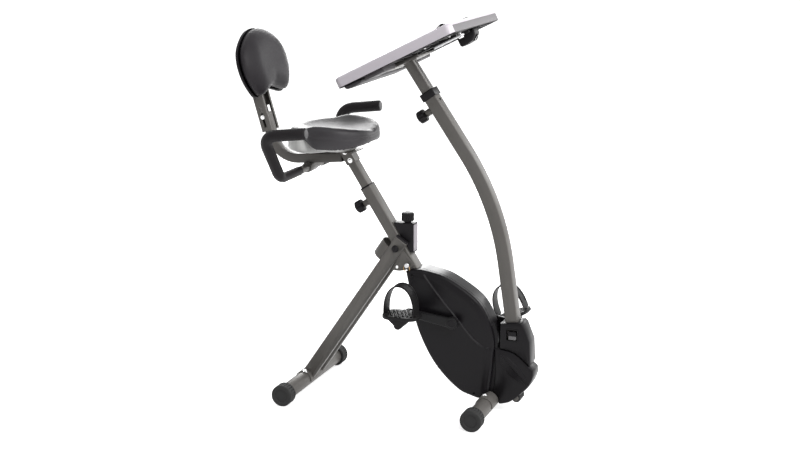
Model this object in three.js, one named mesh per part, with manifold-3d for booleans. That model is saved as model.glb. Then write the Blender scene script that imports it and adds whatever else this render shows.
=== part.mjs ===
// Folding exercise bike with a built-in desk: X frame, padded seat with backrest, sloping desk on a curved post
import * as THREE from 'three';
import { mergeVertices } from 'three/addons/utils/BufferGeometryUtils.js';
import Module from 'manifold-3d';

const wasm = await Module();
wasm.setup();

// Units are millimetres, +X points from the seat to the desk, +Y to the rider's left, +Z up, and the floor is z = 0
// Lengths shared by many pieces
const gap = 0.3;
const overrun = 6;
const steelWall = 1.5;
const plasticWall = 2.5;
const degree = Math.PI / 180;

// Sides of round work: holes and pins, shafts, floor bars, end caps and wheels
const holeSides = 12;
const roundSides = 16;
const barSides = 24;
const capSides = 18;
const wheelSides = 24;

// Stabilizers: the two floor bars and their end caps
const floorBarRadius = 25.4;
const floorBarWall = 2;
const footHalfSpan = 232;
const capRadius = 34.5;
const capDepth = 38;
const capFaceThickness = 7;
const capRecessRadius = 22;
const capRecessDepth = 3;
const capEdgeRound = 3;
const frontFootX = 311.5;
const rearFootX = -315;
const saddleThickness = 3;
const saddleEdgeAbove = 4;
const frontSaddleHalfLength = 95;
const rearSaddleHalfLength = 62;

// Main tube: runs from the seat down to the front stabilizer
const pivotAboveHousing = 71;
const mainTubeOffset = 6;
const mainTubeLean = 32.4 * degree;
const mainTubeWidth = 46;
const mainTubeDepth = 35;
const mainTubeAbovePivot = 216;
const tubeEdgeRound = 2;
const pivotBoltRadius = 5;
const pivotBushRadius = 8.5;
const pivotCapRadius = 11;
const pivotCapHeight = 6;

// Rear leg: two tubes beside the main tube
const legDepth = 42;
const legWidth = 20;
const legAbovePivot = 34;
const legInnerFace = 26.4;
const legPlugDepth = 14;
const legPlugLip = 4;
const lockPlateThickness = 2.4;
const lockPlateRadius = 76;
const lockHoleRadius = 4.6;
const lockHoleDistance = 64;
const lockPinAngle = -56 * degree;
const foldAngle = 36 * degree;
const lockPlateMargin = 13 * degree;
const yokeLength = 53;
const yokeThickness = 3;
const yokeRadius = 37;
const yokeBelowPivot = 13;
const pinRadius = 4;
const pinHeadRadius = 8;
const pinHeadHeight = 5;
const pinStroke = 9;
const ringRadius = 10;
const ringWire = 1.2;

// Seat post, sleeve and pull knob
const seatPostWidth = 38;
const seatPostDepth = 28;
const seatPostInside = 112;
const sleeveLength = 60;
const sleeveLip = 4;
const knobRadius = 20.5;
const knobLength = 30;
const knobNeckRadius = 8;
const knobBossRadius = 11;
const knobBossHeight = 22;
const knobPinRadius = 4;
const knobLobes = 8;
const knobLobeDepth = 2;
const seatKnobBelowTop = 42;

// Seat rail, its bracket on the post, and the seat
const railHeight = 30;
const railWidth = 30;
const railFrontX = -192;
const railFrontZ = 771;
const railSlope = 5 * degree;
const railRun = 226;
const railBendRadius = 90;
const backLean = 16.2 * degree;
const uprightTopZ = 898;
const bracketPlate = 2.2;
const bracketTopZ = 791;
const bracketHeight = 42;
const seatPlateThickness = 3;
const seatPlateHalfLength = 72;
const seatPlateHalfWidth = 45;
const seatCentreX = -215;
const seatFrontReach = 132;
const seatRearReach = 140;
const seatHalfWidth = 144;
const seatEdgeZ = 817;
const seatRearLift = 32;
const seatMiddleZ = 823;
const seatSideZ = 846;
const seatCrestZ = 865;
const seatSideRise = 20;
const seatNoseDrop = 7;
const seatDishZ = 858;
const pommelRise = 12;
const seatBulge = 5;
const shellInset = -3;
const shellFrontInset = 24;
const shellWall = 4;
const shellFootShare = 0.55;
const shellRearShare = 0.25;

// Handlebar beside the seat, swept from under the rail to the two grips
const barRadius = 12.5;
const barX = -307;
const barZ = 733;
const barCornerY = 222;
const barShoulderX = -325;
const barShoulderY = 300;
const barShoulderZ = 875;
const barEndX = -183;
const barEndZ = 892;
const barBendRadius = 46;
const gripRadius = 18;
const gripThinRadius = 14.8;
const gripStartY = 86;
const barBendSteps = 4;
const tubeSides = 10;
const gripSides = 12;
const gripEndWall = 5;
const clampHalfLength = 29;
const clampWall = 3.5;

// Backrest: slotted bracket on the rail's upright, shell and pad
const channelWidth = 60;
const channelDepth = 34;
const channelWall = 2;
const channelLip = 11;
const channelBolt = 4;
const channelBoltHead = 7;
const channelBoltHeadHeight = 3;
const channelBottomZ = 841;
const channelTopZ = 1085;
const backBoltZ = 886;
const backBoltSlotHalf = 32;
const padMiddleZ = 1060;
const padHalfWidth = 150;
const padAbove = 100;
const padThickness = 46;
const padShellThickness = 9;
const padShellRim = 5;

// Desk post: a bent square tube with a telescoping inner post
const deskPostSize = 40;
const deskPostWidth = 42;
const collarX = 96;
const collarZ = 985;
const upperPostLean = 34.2 * degree;
const lowerPostLean = 8.5 * degree;
const postBaseX = 372.5;
const postBaseZ = 300;
const postBendRadius = 800;
const postBelowBase = 92;
const innerPostSize = 33;
const innerPostInside = 130;
const collarLength = 24;
const collarWall = 4;
const collarSeat = 14;
const deskKnobBelowCollar = 46;

// Desk: a sloping moulded top with a tray, slide rails, wrist pad, lever and monitor box under it
const deskTilt = 26.5 * degree;
const deskCentreX = 59.5;
const deskCentreZ = 1121.3;
const deskDepth = 404;
const deskHalfWidth = 228;
const deskThickness = 33;
const deskCornerRadius = 20;
const deskEdgeRound = 8;
const deskWall = 4;
const trayThickness = 5;
const trayRecess = 6;
const slideRailOffset = 62;
const slideRailWidth = 14;
const slideRailDrop = 9;
const slideRailBack = 106;
const slideRailFromFront = 52;
const slideForwardTravel = 16;
const carriageThickness = 5;
const carriageHalfLength = 62;
const carriageHalfWidth = 78;
const wristPadRoom = 1;
const wristPadThickness = 12;
const wristPadEndInset = 14;
const leverLength = 92;
const leverWidth = 24;
const leverThickness = 6;
const leverDrop = 5;
const leverFromFront = 30;
const leverOffset = 96;
const leverPinRadius = 5;
const monitorLength = 62;
const monitorHalfWidth = 26;
const monitorHeight = 40;
const monitorFromFront = 74;
const monitorOffset = 60;

// Housing: two shells round the crank and flywheel
const housingHalfWidth = 48;
const housingSeamY = -20;
const housingRound = 9;
const housingTopX = 34;
const housingAboveFloor = 40;
const housingRoofRoom = 58;
const housingFloorRoom = 40;
const housingFrontRoom = 17;

// Front covers and the cover at the foot of the desk post
const coverHalfWidth = 34;
const coverRound = 7;
const coverBackX = 326;
const coverReach = 124;
const coverHeight = 184;
const coverBottomZ = 24;
const footCoverHeight = 92;
const footCoverSeam = 1;
const windowWidth = 38;
const windowHeight = 38;
const windowX = 361;
const windowZ = 236;

// Crank, pulleys, belt and flywheel
const crankX = 196;
const crankSpanX = -141;
const crankSpanZ = 20;
const crankAxleRadius = 8.5;
const crankShellRadius = 22;
const crankShellHalfLength = 30;
const bearingWidth = 9;
const bearingRadius = 18;
const armInnerY = 62;
const armThickness = 14;
const armBossRadius = 19;
const armEndRadius = 14;
const drivePulleyRadius = 86;
const beltPlaneY = -37;
const beltWidth = 9;
const beltThickness = 2.4;
const pulleyRim = 8;
const beltReach = 32;
const beltRise = 124;
const flywheelRadius = 80;
const flywheelWidth = 16;
const flywheelY = 33;
const smallPulleyRadius = 14;
const axleRadius = 6;
const magnetArmRadius = 87;
const magnetArmThickness = 5;
const magnetArmStart = 118 * degree;
const magnetArmEnd = 178 * degree;
const magnetPinRadius = 3;
const magnetEyeRadius = 7;

// Pedals and straps
const pedalLength = 118;
const pedalWidth = 92;
const pedalGap = 7;
const spindleRadius = 6;
const platformThickness = 11;
const platformRise = 2;
const keelDepth = 27;
const keelTopHalf = 38;
const keelFootRadius = 13;
const strapWidth = 52;
const strapThickness = 3;
const strapHeight = 96;
const strapHalfSpan = 50;
const strapSteps = 18;
const strapArchPower = 0.75;
const farPedalTilt = 22 * degree;
const strapFromOutside = 36;

// Base arm from the main tube to the foot of the desk post, and the transport roller
const baseArmWidth = 36;
const baseArmHeight = 30;
const baseArmBottomZ = 78;
const socketSize = 36;
const socketTopZ = 268;
const rollerX = 394;
const rollerZ = 49;
const rollerRadius = 14.5;
const rollerHalfLength = 24;
const rollerGroove = 1.6;
const lugThickness = 3;
const lugRadius = 9;
const lugRise = 14;
const rollerAxleRadius = 4;

// Tension control on the main tube
const tensionBoxHalfWidth = 20;
const tensionBoxTopZ = 577;
const tensionBoxBottomZ = 484;
const tensionBoxFrontX = 51;
const tensionBoxTipWidth = 12;
const stripThickness = 3;
const stripOverhang = 10;
const tensionKnobX = 25;
const tensionKnobRadius = 20;
const tensionKnobHeight = 32;
const tensionShaftRadius = 5;
const tensionShaftLength = 9;
const cableRadius = 2;

// Finishes
const steelFinish = { color: 0x6d6965, roughness: 0.42, metalness: 0.7 };
const chromeFinish = { color: 0xc9c9c9, roughness: 0.2, metalness: 1 };
const blackPlastic = { color: 0x1c1b1e, roughness: 0.38, metalness: 0 };
const rubberFinish = { color: 0x18171a, roughness: 0.8, metalness: 0 };
const deskFinish = { color: 0xb9b4bb, roughness: 0.45, metalness: 0.1 };
const leatherFinish = { color: 0x232125, roughness: 0.5, metalness: 0 };
const foamFinish = { color: 0x1a1719, roughness: 0.85, metalness: 0 };
const shellFinish = { color: 0xd4d4d2, roughness: 0.5, metalness: 0 };
const ironFinish = { color: 0x55565a, roughness: 0.5, metalness: 0.8 };

// A closed solid from a surface, and a drawable surface from a solid
function solidOf(geometry) {
  const bare = geometry.clone();
  for (const name of Object.keys(bare.attributes)) {
    if (name !== 'position') bare.deleteAttribute(name);
  }
  const merged = mergeVertices(bare, 1e-4);
  return new wasm.Manifold(new wasm.Mesh({
    numProp: 3,
    vertProperties: new Float32Array(merged.attributes.position.array),
    triVerts: new Uint32Array(merged.index.array),
  }));
}

function geometryOf(solid) {
  const mesh = solid.getMesh();
  const geometry = new THREE.BufferGeometry();
  const positions = new Float32Array(mesh.numVert * 3);
  for (let i = 0; i < mesh.numVert; i += 1) {
    for (let k = 0; k < 3; k += 1) positions[i * 3 + k] = mesh.vertProperties[i * mesh.numProp + k];
  }
  geometry.setAttribute('position', new THREE.BufferAttribute(positions, 3));
  geometry.setIndex(new THREE.BufferAttribute(new Uint32Array(mesh.triVerts), 1));
  geometry.computeVertexNormals();
  return geometry;
}

const group = new THREE.Group();

function addPiece(name, solid, finish) {
  const mesh = new THREE.Mesh(geometryOf(solid), new THREE.MeshStandardMaterial(finish));
  mesh.name = name;
  group.add(mesh);
}

function joined(solids) {
  return solids.reduce((total, solid) => total.add(solid));
}

function cut(solid, cutters) {
  return cutters.reduce((rest, cutter) => rest.subtract(cutter), solid);
}

// Points in the side view, where x runs forward and the second number is the height
const at = (x, z) => new THREE.Vector2(x, z);
const step = (from, direction, distance) => from.clone().addScaledVector(direction, distance);
const turned = (direction) => at(direction.y, -direction.x);
const between = (a, b, share) => a.clone().lerp(b, share);

// An outline in the side view, made solid from one y to another, with rounded long edges if asked
function slab(points, lowY, highY, round = 0, segments = 1) {
  const geometry = new THREE.ExtrudeGeometry(new THREE.Shape(points), {
    depth: highY - lowY - round * 2,
    steps: 1,
    bevelEnabled: round > 0,
    bevelThickness: round,
    bevelSize: round,
    bevelOffset: -round,
    bevelSegments: segments,
  });
  geometry.rotateX(Math.PI / 2);
  geometry.translate(0, highY - round, 0);
  return solidOf(geometry);
}

// The same outline drawn in by a wall thickness on every side of its middle
function drawnIn(points, wall) {
  const bounds = new THREE.Box2().setFromPoints(points);
  const middle = bounds.getCenter(at(0, 0));
  const size = bounds.getSize(at(0, 0));
  return points.map((point) => at(
    middle.x + (point.x - middle.x) * (1 - (wall * 2) / size.x),
    middle.y + (point.y - middle.y) * (1 - (wall * 2) / size.y)));
}

// A straight bar of rectangular section between two points of the side view
function barOutline(from, to, depth) {
  const direction = to.clone().sub(from).normalize();
  const side = turned(direction).multiplyScalar(depth / 2);
  return [from.clone().sub(side), to.clone().sub(side), to.clone().add(side), from.clone().add(side)];
}

// A band that follows a list of points at a constant width
function bandOutline(path, depth) {
  const left = [];
  const right = [];
  path.forEach((point, i) => {
    const before = path[Math.max(i - 1, 0)];
    const after = path[Math.min(i + 1, path.length - 1)];
    const side = turned(after.clone().sub(before).normalize()).multiplyScalar(depth / 2);
    left.push(point.clone().sub(side));
    right.push(point.clone().add(side));
  });
  return [...left, ...right.reverse()];
}

// A round rod between two points in space
function rod(from, to, radius, sides = roundSides) {
  const direction = to.clone().sub(from);
  const geometry = new THREE.CylinderGeometry(radius, radius, direction.length(), sides);
  const up = new THREE.Vector3(0, 1, 0);
  geometry.applyQuaternion(new THREE.Quaternion().setFromUnitVectors(up, direction.clone().normalize()));
  const middle = from.clone().add(to).multiplyScalar(1 / 2);
  geometry.translate(middle.x, middle.y, middle.z);
  return solidOf(geometry);
}

// A round rod across the object at a point of the side view
function crossRod(point, lowY, highY, radius, sides = roundSides) {
  return rod(new THREE.Vector3(point.x, lowY, point.y), new THREE.Vector3(point.x, highY, point.y), radius, sides);
}

// A turned piece: radius and height pairs about an axis from an origin
function turnedPiece(profile, origin, axis, sides = roundSides) {
  const points = profile.map(([radius, height]) => at(radius, height));
  if (THREE.ShapeUtils.area(points) < 0) points.reverse();
  const geometry = new THREE.LatheGeometry(points, sides);
  const up = new THREE.Vector3(0, 1, 0);
  geometry.applyQuaternion(new THREE.Quaternion().setFromUnitVectors(up, axis.clone().normalize()));
  geometry.translate(origin.x, origin.y, origin.z);
  return solidOf(geometry);
}

function box(lowX, highX, lowY, highY, lowZ, highZ) {
  const geometry = new THREE.BoxGeometry(highX - lowX, highY - lowY, highZ - lowZ);
  geometry.translate((lowX + highX) / 2, (lowY + highY) / 2, (lowZ + highZ) / 2);
  return solidOf(geometry);
}

// Points on an arc from one angle to another
function arc(centre, radius, start, end, count) {
  return Array.from({ length: count + 1 }, (_, i) => {
    const angle = start + (end - start) * (i / count);
    return at(centre.x + Math.cos(angle) * radius, centre.y + Math.sin(angle) * radius);
  });
}

// A path of two straight runs joined by an arc
function bentPath(start, corner, end, radius, count) {
  const inward = corner.clone().sub(start).normalize();
  const outward = end.clone().sub(corner).normalize();
  const turn = Math.acos(THREE.MathUtils.clamp(inward.dot(outward), -1, 1));
  const reach = radius * Math.tan(turn / 2);
  const hand = Math.sign(inward.x * outward.y - inward.y * outward.x);
  const first = step(corner, inward, -reach);
  const centre = step(first, turned(inward), -hand * radius);
  const angle = Math.atan2(first.y - centre.y, first.x - centre.x);
  return [start, ...arc(centre, radius, angle, angle + hand * turn, count), end];
}

// Stations of a path through points in space, with each corner rounded
function roundedStations(points, radius, count) {
  const stations = [points[0]];
  for (let i = 1; i + 1 < points.length; i += 1) {
    const inward = points[i].clone().sub(points[i - 1]).normalize();
    const outward = points[i + 1].clone().sub(points[i]).normalize();
    const reach = radius * Math.tan(Math.acos(inward.dot(outward)) / 2);
    const enter = points[i].clone().addScaledVector(inward, -reach);
    const leave = points[i].clone().addScaledVector(outward, reach);
    stations.push(...new THREE.QuadraticBezierCurve3(enter, points[i], leave).getPoints(count));
  }
  return [...stations, points.at(-1)];
}

// A round tube or rod through stations, closed at both ends, with one radius or one for each station
function tubeThrough(stations, radius, sides) {
  const directionAt = (i) => {
    const before = stations[Math.max(i - 1, 0)];
    const after = stations[Math.min(i + 1, stations.length - 1)];
    return after.clone().sub(before).normalize();
  };
  let direction = directionAt(0);
  const start = Math.abs(direction.y) > 1 / 2 ? new THREE.Vector3(0, 0, 1) : new THREE.Vector3(0, 1, 0);
  let normal = start.cross(direction).normalize();
  const rings = stations.map((station, i) => {
    const next = directionAt(i);
    normal = normal.clone().applyQuaternion(new THREE.Quaternion().setFromUnitVectors(direction, next));
    direction = next;
    const side = direction.clone().cross(normal);
    const reach = typeof radius === 'function' ? radius(i) : radius;
    return Array.from({ length: sides }, (_, k) => {
      const angle = (k / sides) * Math.PI * 2;
      return station.clone().addScaledVector(normal, Math.cos(angle) * reach)
        .addScaledVector(side, Math.sin(angle) * reach);
    });
  });
  return ringForm(rings, stations[0], stations.at(-1));
}

// A closed form from rings of points round a centre, with one point at each end
function ringForm(rings, first, last) {
  const count = rings[0].length;
  const positions = [first, ...rings.flat(), last].flatMap((point) => [point.x, point.y, point.z]);
  const index = [];
  const vertex = (ring, i) => 1 + ring * count + (i % count);
  const end = 1 + rings.length * count;
  for (let i = 0; i < count; i += 1) {
    index.push(0, vertex(0, i + 1), vertex(0, i));
    index.push(end, vertex(rings.length - 1, i), vertex(rings.length - 1, i + 1));
  }
  for (let ring = 0; ring + 1 < rings.length; ring += 1) {
    for (let i = 0; i < count; i += 1) {
      const [a, b, c, d] = [vertex(ring, i), vertex(ring, i + 1), vertex(ring + 1, i + 1), vertex(ring + 1, i)];
      index.push(a, b, c, a, c, d);
    }
  }
  const geometry = new THREE.BufferGeometry();
  geometry.setAttribute('position', new THREE.BufferAttribute(new Float32Array(positions), 3));
  geometry.setIndex(index);
  return solidOf(geometry);
}

const acrossY = new THREE.Vector3(0, 1, 0);
const space = (point, y) => new THREE.Vector3(point.x, y, point.y);

// Stabilizers
function floorBar(name, x) {
  const centre = at(x, capRadius);
  const half = footHalfSpan - capFaceThickness - gap;
  const solid = cut(crossRod(centre, -half, half, floorBarRadius, barSides), [
    crossRod(centre, -half - overrun, half + overrun, floorBarRadius - floorBarWall, barSides),
  ]);
  addPiece(name, solid, steelFinish);
}

function floorCap(name, x, hand) {
  const bore = floorBarRadius + gap * 2;
  const profile = [
    [0, capFaceThickness], [0, capRecessDepth], [capRecessRadius, capRecessDepth], [capRecessRadius, 0],
    [capRadius - capEdgeRound, 0], [capRadius, capEdgeRound], [capRadius, capDepth - capEdgeRound],
    [capRadius - capEdgeRound, capDepth], [bore, capDepth], [bore, capFaceThickness], [0, capFaceThickness],
  ];
  const origin = new THREE.Vector3(x, hand * footHalfSpan, capRadius);
  addPiece(name, turnedPiece(profile, origin, acrossY.clone().multiplyScalar(-hand), capSides), rubberFinish);
}

// A half sleeve welded over a floor bar
function saddle(x, halfLength) {
  const centre = at(x, capRadius);
  const inner = floorBarRadius + gap;
  const ring = cut(crossRod(centre, -halfLength, halfLength, inner + saddleThickness, barSides), [
    crossRod(centre, -halfLength - overrun, halfLength + overrun, inner, barSides),
  ]);
  const reach = inner + saddleThickness + overrun;
  const low = centre.y - saddleEdgeAbove;
  return cut(ring, [box(x - reach, x + reach, -halfLength - overrun, halfLength + overrun, low - reach, low)]);
}

floorBar('front_stabilizer', frontFootX);
floorBar('rear_stabilizer', rearFootX);
for (const [side, hand] of [['right', -1], ['left', 1]]) {
  floorCap(`front_cap_${side}`, frontFootX, hand);
  floorCap(`rear_cap_${side}`, rearFootX, hand);
}

// The housing is sized by what turns inside it, and the pivot stands above it
const flywheelX = crankX + beltReach;
const flywheelZ = housingAboveFloor + housingFloorRoom + flywheelRadius;
const crankZ = flywheelZ + beltRise;
const housingTopZ = crankZ + drivePulleyRadius + housingRoofRoom;
const housingHeight = housingTopZ - housingAboveFloor;
const housingWidth = flywheelX + flywheelRadius + housingFrontRoom - housingTopX;
const pivotHeight = housingTopZ + pivotAboveHousing;

// Main tube axis and the points that sit on it
const pivot = at(0, pivotHeight);
const tubeDown = at(Math.sin(mainTubeLean), -Math.cos(mainTubeLean));
const tubeForward = at(Math.cos(mainTubeLean), Math.sin(mainTubeLean));
const tubeDatum = at(mainTubeOffset, pivotHeight);
const tubeTop = step(tubeDatum, tubeDown, -mainTubeAbovePivot);
const tubeFootZ = capRadius + floorBarRadius / 2;
const tubeFoot = step(tubeDatum, tubeDown, (pivotHeight - tubeFootZ) / Math.cos(mainTubeLean));
const crankCentre = at(crankX, crankZ);
const flywheelCentre = at(flywheelX, flywheelZ);
const lockHole = step(pivot, at(Math.cos(lockPinAngle), Math.sin(lockPinAngle)), lockHoleDistance);
const seatKnobPoint = step(tubeTop, tubeDown, seatKnobBelowTop);
const magnetPin = arc(flywheelCentre, magnetArmRadius, magnetArmStart, magnetArmStart, 1)[0];
const tubeSideY = mainTubeWidth / 2;

// A knob's stem hole through a tube wall, square to the tube
function stemRod(point, outward, fromDistance, toDistance, radius, sides = roundSides) {
  return rod(space(step(point, outward, fromDistance), 0), space(step(point, outward, toDistance), 0), radius, sides);
}

function mainTube() {
  const outer = slab(barOutline(tubeTop, tubeFoot, mainTubeDepth), -tubeSideY, tubeSideY, tubeEdgeRound);
  const inner = slab(barOutline(step(tubeTop, tubeDown, -overrun), step(tubeFoot, tubeDown, overrun),
    mainTubeDepth - steelWall * 2), -tubeSideY + steelWall, tubeSideY - steelWall);
  const backward = tubeForward.clone().multiplyScalar(-1);
  const half = mainTubeDepth / 2;
  const crankBridge = slab(barOutline(step(crankCentre, tubeForward, -crankShellRadius * 2), crankCentre,
    crankShellRadius), -crankShellHalfLength / 2, crankShellHalfLength / 2);
  const body = cut(joined([outer, crankBridge]), [inner]);
  const welded = joined([
    body,
    saddle(frontFootX, frontSaddleHalfLength),
    crossRod(crankCentre, -crankShellHalfLength, crankShellHalfLength, crankShellRadius, roundSides),
    crossRod(pivot, -tubeSideY + steelWall / 2, tubeSideY - steelWall / 2, pivotBushRadius),
    crossRod(flywheelCentre, beltPlaneY + beltWidth, flywheelY - flywheelWidth / 2 - gap * 2, pivotBushRadius),
    crossRod(magnetPin, tubeSideY - steelWall, flywheelY + flywheelWidth / 2, magnetPinRadius, holeSides),
    stemRod(seatKnobPoint, backward, half - steelWall / 2, half + knobBossHeight, knobBossRadius),
    tensionStrip(),
  ]);
  return cut(welded, [
    crossRod(at(frontFootX, capRadius), -frontSaddleHalfLength, frontSaddleHalfLength, floorBarRadius + gap, barSides),
    crossRod(crankCentre, -crankShellHalfLength - overrun, crankShellHalfLength + overrun, bearingRadius + gap, roundSides),
    crossRod(pivot, -tubeSideY - overrun, tubeSideY + overrun, pivotBoltRadius + gap, holeSides),
    crossRod(flywheelCentre, -tubeSideY - overrun * 2, tubeSideY + overrun, axleRadius + gap, holeSides),
    crossRod(lockHole, -tubeSideY - overrun, tubeSideY + overrun, lockHoleRadius, holeSides),
    stemRod(seatKnobPoint, backward, half - steelWall * 2, half + knobBossHeight + overrun, knobPinRadius + gap, holeSides),
    cableBore(),
  ]);
}

// Tension control: a strip on the tube, a wedge box, its knob, and the brake cable inside the tube
const frontFaceAt = (z) => at(
  mainTubeOffset + (pivotHeight - z) * Math.tan(mainTubeLean) + mainTubeDepth / 2 / Math.cos(mainTubeLean), z);
const boxTopBack = frontFaceAt(tensionBoxTopZ - stripOverhang);
const boxBottomBack = frontFaceAt(tensionBoxBottomZ);

function tensionStrip() {
  const lift = (stripThickness - steelWall) / 2;
  const upper = step(step(boxTopBack, tubeDown, -stripOverhang), tubeForward, lift);
  const lower = step(step(boxBottomBack, tubeDown, stripOverhang), tubeForward, lift);
  const halfWidth = tensionBoxHalfWidth - stripThickness;
  return slab(barOutline(upper, lower, stripThickness + steelWall), -halfWidth, halfWidth);
}

function cableBore() {
  const middle = between(boxTopBack, boxBottomBack, 1 / 2);
  return rod(space(step(middle, tubeForward, stripThickness + overrun), 0),
    space(step(middle, tubeForward, -steelWall * 3), 0), cableRadius * 4, holeSides);
}

function tensionBox() {
  const lift = stripThickness + gap;
  const topBack = step(boxTopBack, tubeForward, lift);
  const bottomBack = step(boxBottomBack, tubeForward, lift);
  const outline = [
    topBack, at(topBack.x, tensionBoxTopZ), at(tensionBoxFrontX, tensionBoxTopZ),
    at(tensionBoxFrontX, tensionBoxBottomZ), at(tensionBoxFrontX - tensionBoxTipWidth / 2, tensionBoxBottomZ),
    bottomBack,
  ].reverse();
  const body = slab(outline, -tensionBoxHalfWidth, tensionBoxHalfWidth, tubeEdgeRound);
  const hollow = slab(drawnIn(outline, plasticWall), -tensionBoxHalfWidth + plasticWall,
    tensionBoxHalfWidth - plasticWall);
  const knobHole = rod(new THREE.Vector3(tensionKnobX, 0, tensionBoxTopZ - plasticWall * 2),
    new THREE.Vector3(tensionKnobX, 0, tensionBoxTopZ + overrun), tensionShaftRadius + gap, holeSides);
  return cut(body, [hollow, knobHole, cableBore()]);
}

// A ribbed knob turned about its stem; heights are counted from the seat outwards
function ribbedKnob(origin, axis, radius, length, stem) {
  const body = turnedPiece([
    [0, -stem.depth], [stem.pinRadius, -stem.depth], [stem.pinRadius, 0], [stem.neckRadius, 0],
    [stem.neckRadius, stem.neckLength], [radius - knobLobeDepth, stem.neckLength],
    [radius, stem.neckLength + knobLobeDepth], [radius, length - knobLobeDepth * 2],
    [radius - knobLobeDepth * 2, length], [0, length],
  ], origin, axis, knobLobes * 2);
  const around = Math.abs(axis.y) > 1 / 2 ? new THREE.Vector3(1, 0, 0) : acrossY.clone();
  const spoke = around.clone().cross(axis).normalize();
  const flutes = Array.from({ length: knobLobes }, (_, i) => {
    const turn = (i / knobLobes) * Math.PI * 2;
    const offset = spoke.clone().applyAxisAngle(axis, turn).multiplyScalar(radius + knobLobeDepth);
    const low = origin.clone().add(offset).addScaledVector(axis, stem.neckLength - knobLobeDepth);
    const high = origin.clone().add(offset).addScaledVector(axis, length + knobLobeDepth);
    return rod(low, high, knobLobeDepth * 2, holeSides / 2);
  });
  return cut(body, flutes);
}

function pullKnob(name, point, outward, tubeDepth) {
  const seat = step(point, outward, tubeDepth / 2 + knobBossHeight + gap);
  addPiece(name, ribbedKnob(space(seat, 0), new THREE.Vector3(outward.x, 0, outward.y), knobRadius, knobLength, {
    depth: knobBossHeight + gap, pinRadius: knobPinRadius, neckRadius: knobNeckRadius, neckLength: knobLobeDepth * 2,
  }), blackPlastic);
}

addPiece('main_tube', mainTube(), steelFinish);
addPiece('tension_box', tensionBox(), blackPlastic);
addPiece('tension_knob', ribbedKnob(new THREE.Vector3(tensionKnobX, 0, tensionBoxTopZ + gap),
  new THREE.Vector3(0, 0, 1), tensionKnobRadius, tensionKnobHeight, {
    depth: tensionShaftLength, pinRadius: tensionShaftRadius, neckRadius: knobBossRadius, neckLength: plasticWall,
  }), blackPlastic);
pullKnob('seat_knob', seatKnobPoint, tubeForward.clone().multiplyScalar(-1), mainTubeDepth);

// Brake cable: from the tension box, down the front of the tube's hollow
function brakeCable() {
  const inside = mainTubeDepth / 2 - steelWall - cableRadius - gap;
  const entry = between(boxTopBack, boxBottomBack, 1 / 2);
  const onAxis = (point) => point.clone().sub(tubeDatum).dot(tubeDown);
  const along = onAxis(entry);
  const spot = (down, forward) => space(step(step(tubeDatum, tubeDown, down), tubeForward, forward), 0);
  const boxSide = mainTubeDepth / 2 + stripThickness + plasticWall * 2;
  const bendLength = cableRadius * 4;
  return tubeThrough(roundedStations([
    spot(along, boxSide), spot(along + cableRadius, inside), spot(along + lockPlateRadius * 2, inside),
  ], bendLength, 4), cableRadius, 8);
}
addPiece('brake_cable', brakeCable(), rubberFinish);

// Pivot bolt with a domed cap each side
function pivotBolt() {
  const face = legInnerFace + legWidth + gap;
  const dome = (hand) => turnedPiece([
    [0, 0], [pivotCapRadius, 0], [pivotCapRadius, pivotCapHeight / 2],
    [pivotCapRadius * 0.72, pivotCapHeight * 0.86], [0, pivotCapHeight],
  ], space(pivot, hand * face), acrossY.clone().multiplyScalar(hand), roundSides);
  return joined([crossRod(pivot, -face, face, pivotBoltRadius, holeSides), dome(-1), dome(1)]);
}
addPiece('pivot_bolt', pivotBolt(), blackPlastic);

// Rear leg tubes with the lock plates welded inside them
const rearFoot = at(rearFootX, capRadius);
const legDown = rearFoot.clone().sub(pivot).normalize();
const legBack = turned(legDown);
const legTop = step(pivot, legDown, -legAbovePivot);

function legTube(hand) {
  const near = legInnerFace;
  const far = legInnerFace + legWidth;
  const span = (a, b) => (hand > 0 ? [a, b] : [-b, -a]);
  const outer = slab(barOutline(legTop, rearFoot, legDepth), ...span(near, far), tubeEdgeRound);
  const inner = slab(barOutline(step(legTop, legDown, -overrun), step(rearFoot, legDown, overrun),
    legDepth - steelWall * 2), ...span(near + steelWall, far - steelWall));
  const plateFace = near - lockPlateThickness - gap;
  const first = lockPinAngle - foldAngle - lockPlateMargin;
  const plate = slab([...arc(pivot, lockPlateRadius, first, lockPinAngle + lockPlateMargin, 12),
    step(pivot, tubeForward, legDepth / 4), step(pivot, legDown, -legDepth / 4)],
  ...span(plateFace, near + steelWall));
  const heldInside = slab(barOutline(step(legTop, legDown, -overrun), step(rearFoot, legDown, overrun),
    legDepth + overrun * 20), ...span(near - gap, near + steelWall + gap));
  const footHole = crossRod(rearFoot, -far - overrun, far + overrun,
    floorBarRadius + gap * 2 + saddleThickness, barSides);
  const freePlate = plate.subtract(heldInside).add(plate.intersect(outer));
  const tube = cut(outer, [inner, footHole]).add(freePlate);
  const body = joined([tube, legSpacer(span, near)]);
  const holeAngles = [lockPinAngle, lockPinAngle - foldAngle];
  return cut(body, [
    crossRod(pivot, -far - overrun, far + overrun, pivotBoltRadius + gap, holeSides),
    ...holeAngles.map((angle) => crossRod(
      step(pivot, at(Math.cos(angle), Math.sin(angle)), lockHoleDistance),
      -near - steelWall, near + steelWall, lockHoleRadius, holeSides)),
  ]);
}

// The short weld that carries the lock plate on the leg tube
function legSpacer(span, near) {
  const outline = barOutline(step(legTop, legDown, legDepth / 4), step(pivot, legDown, legDepth), legDepth / 2);
  return slab(outline, ...span(near - lockPlateThickness - gap, near + steelWall / 2));
}

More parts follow.
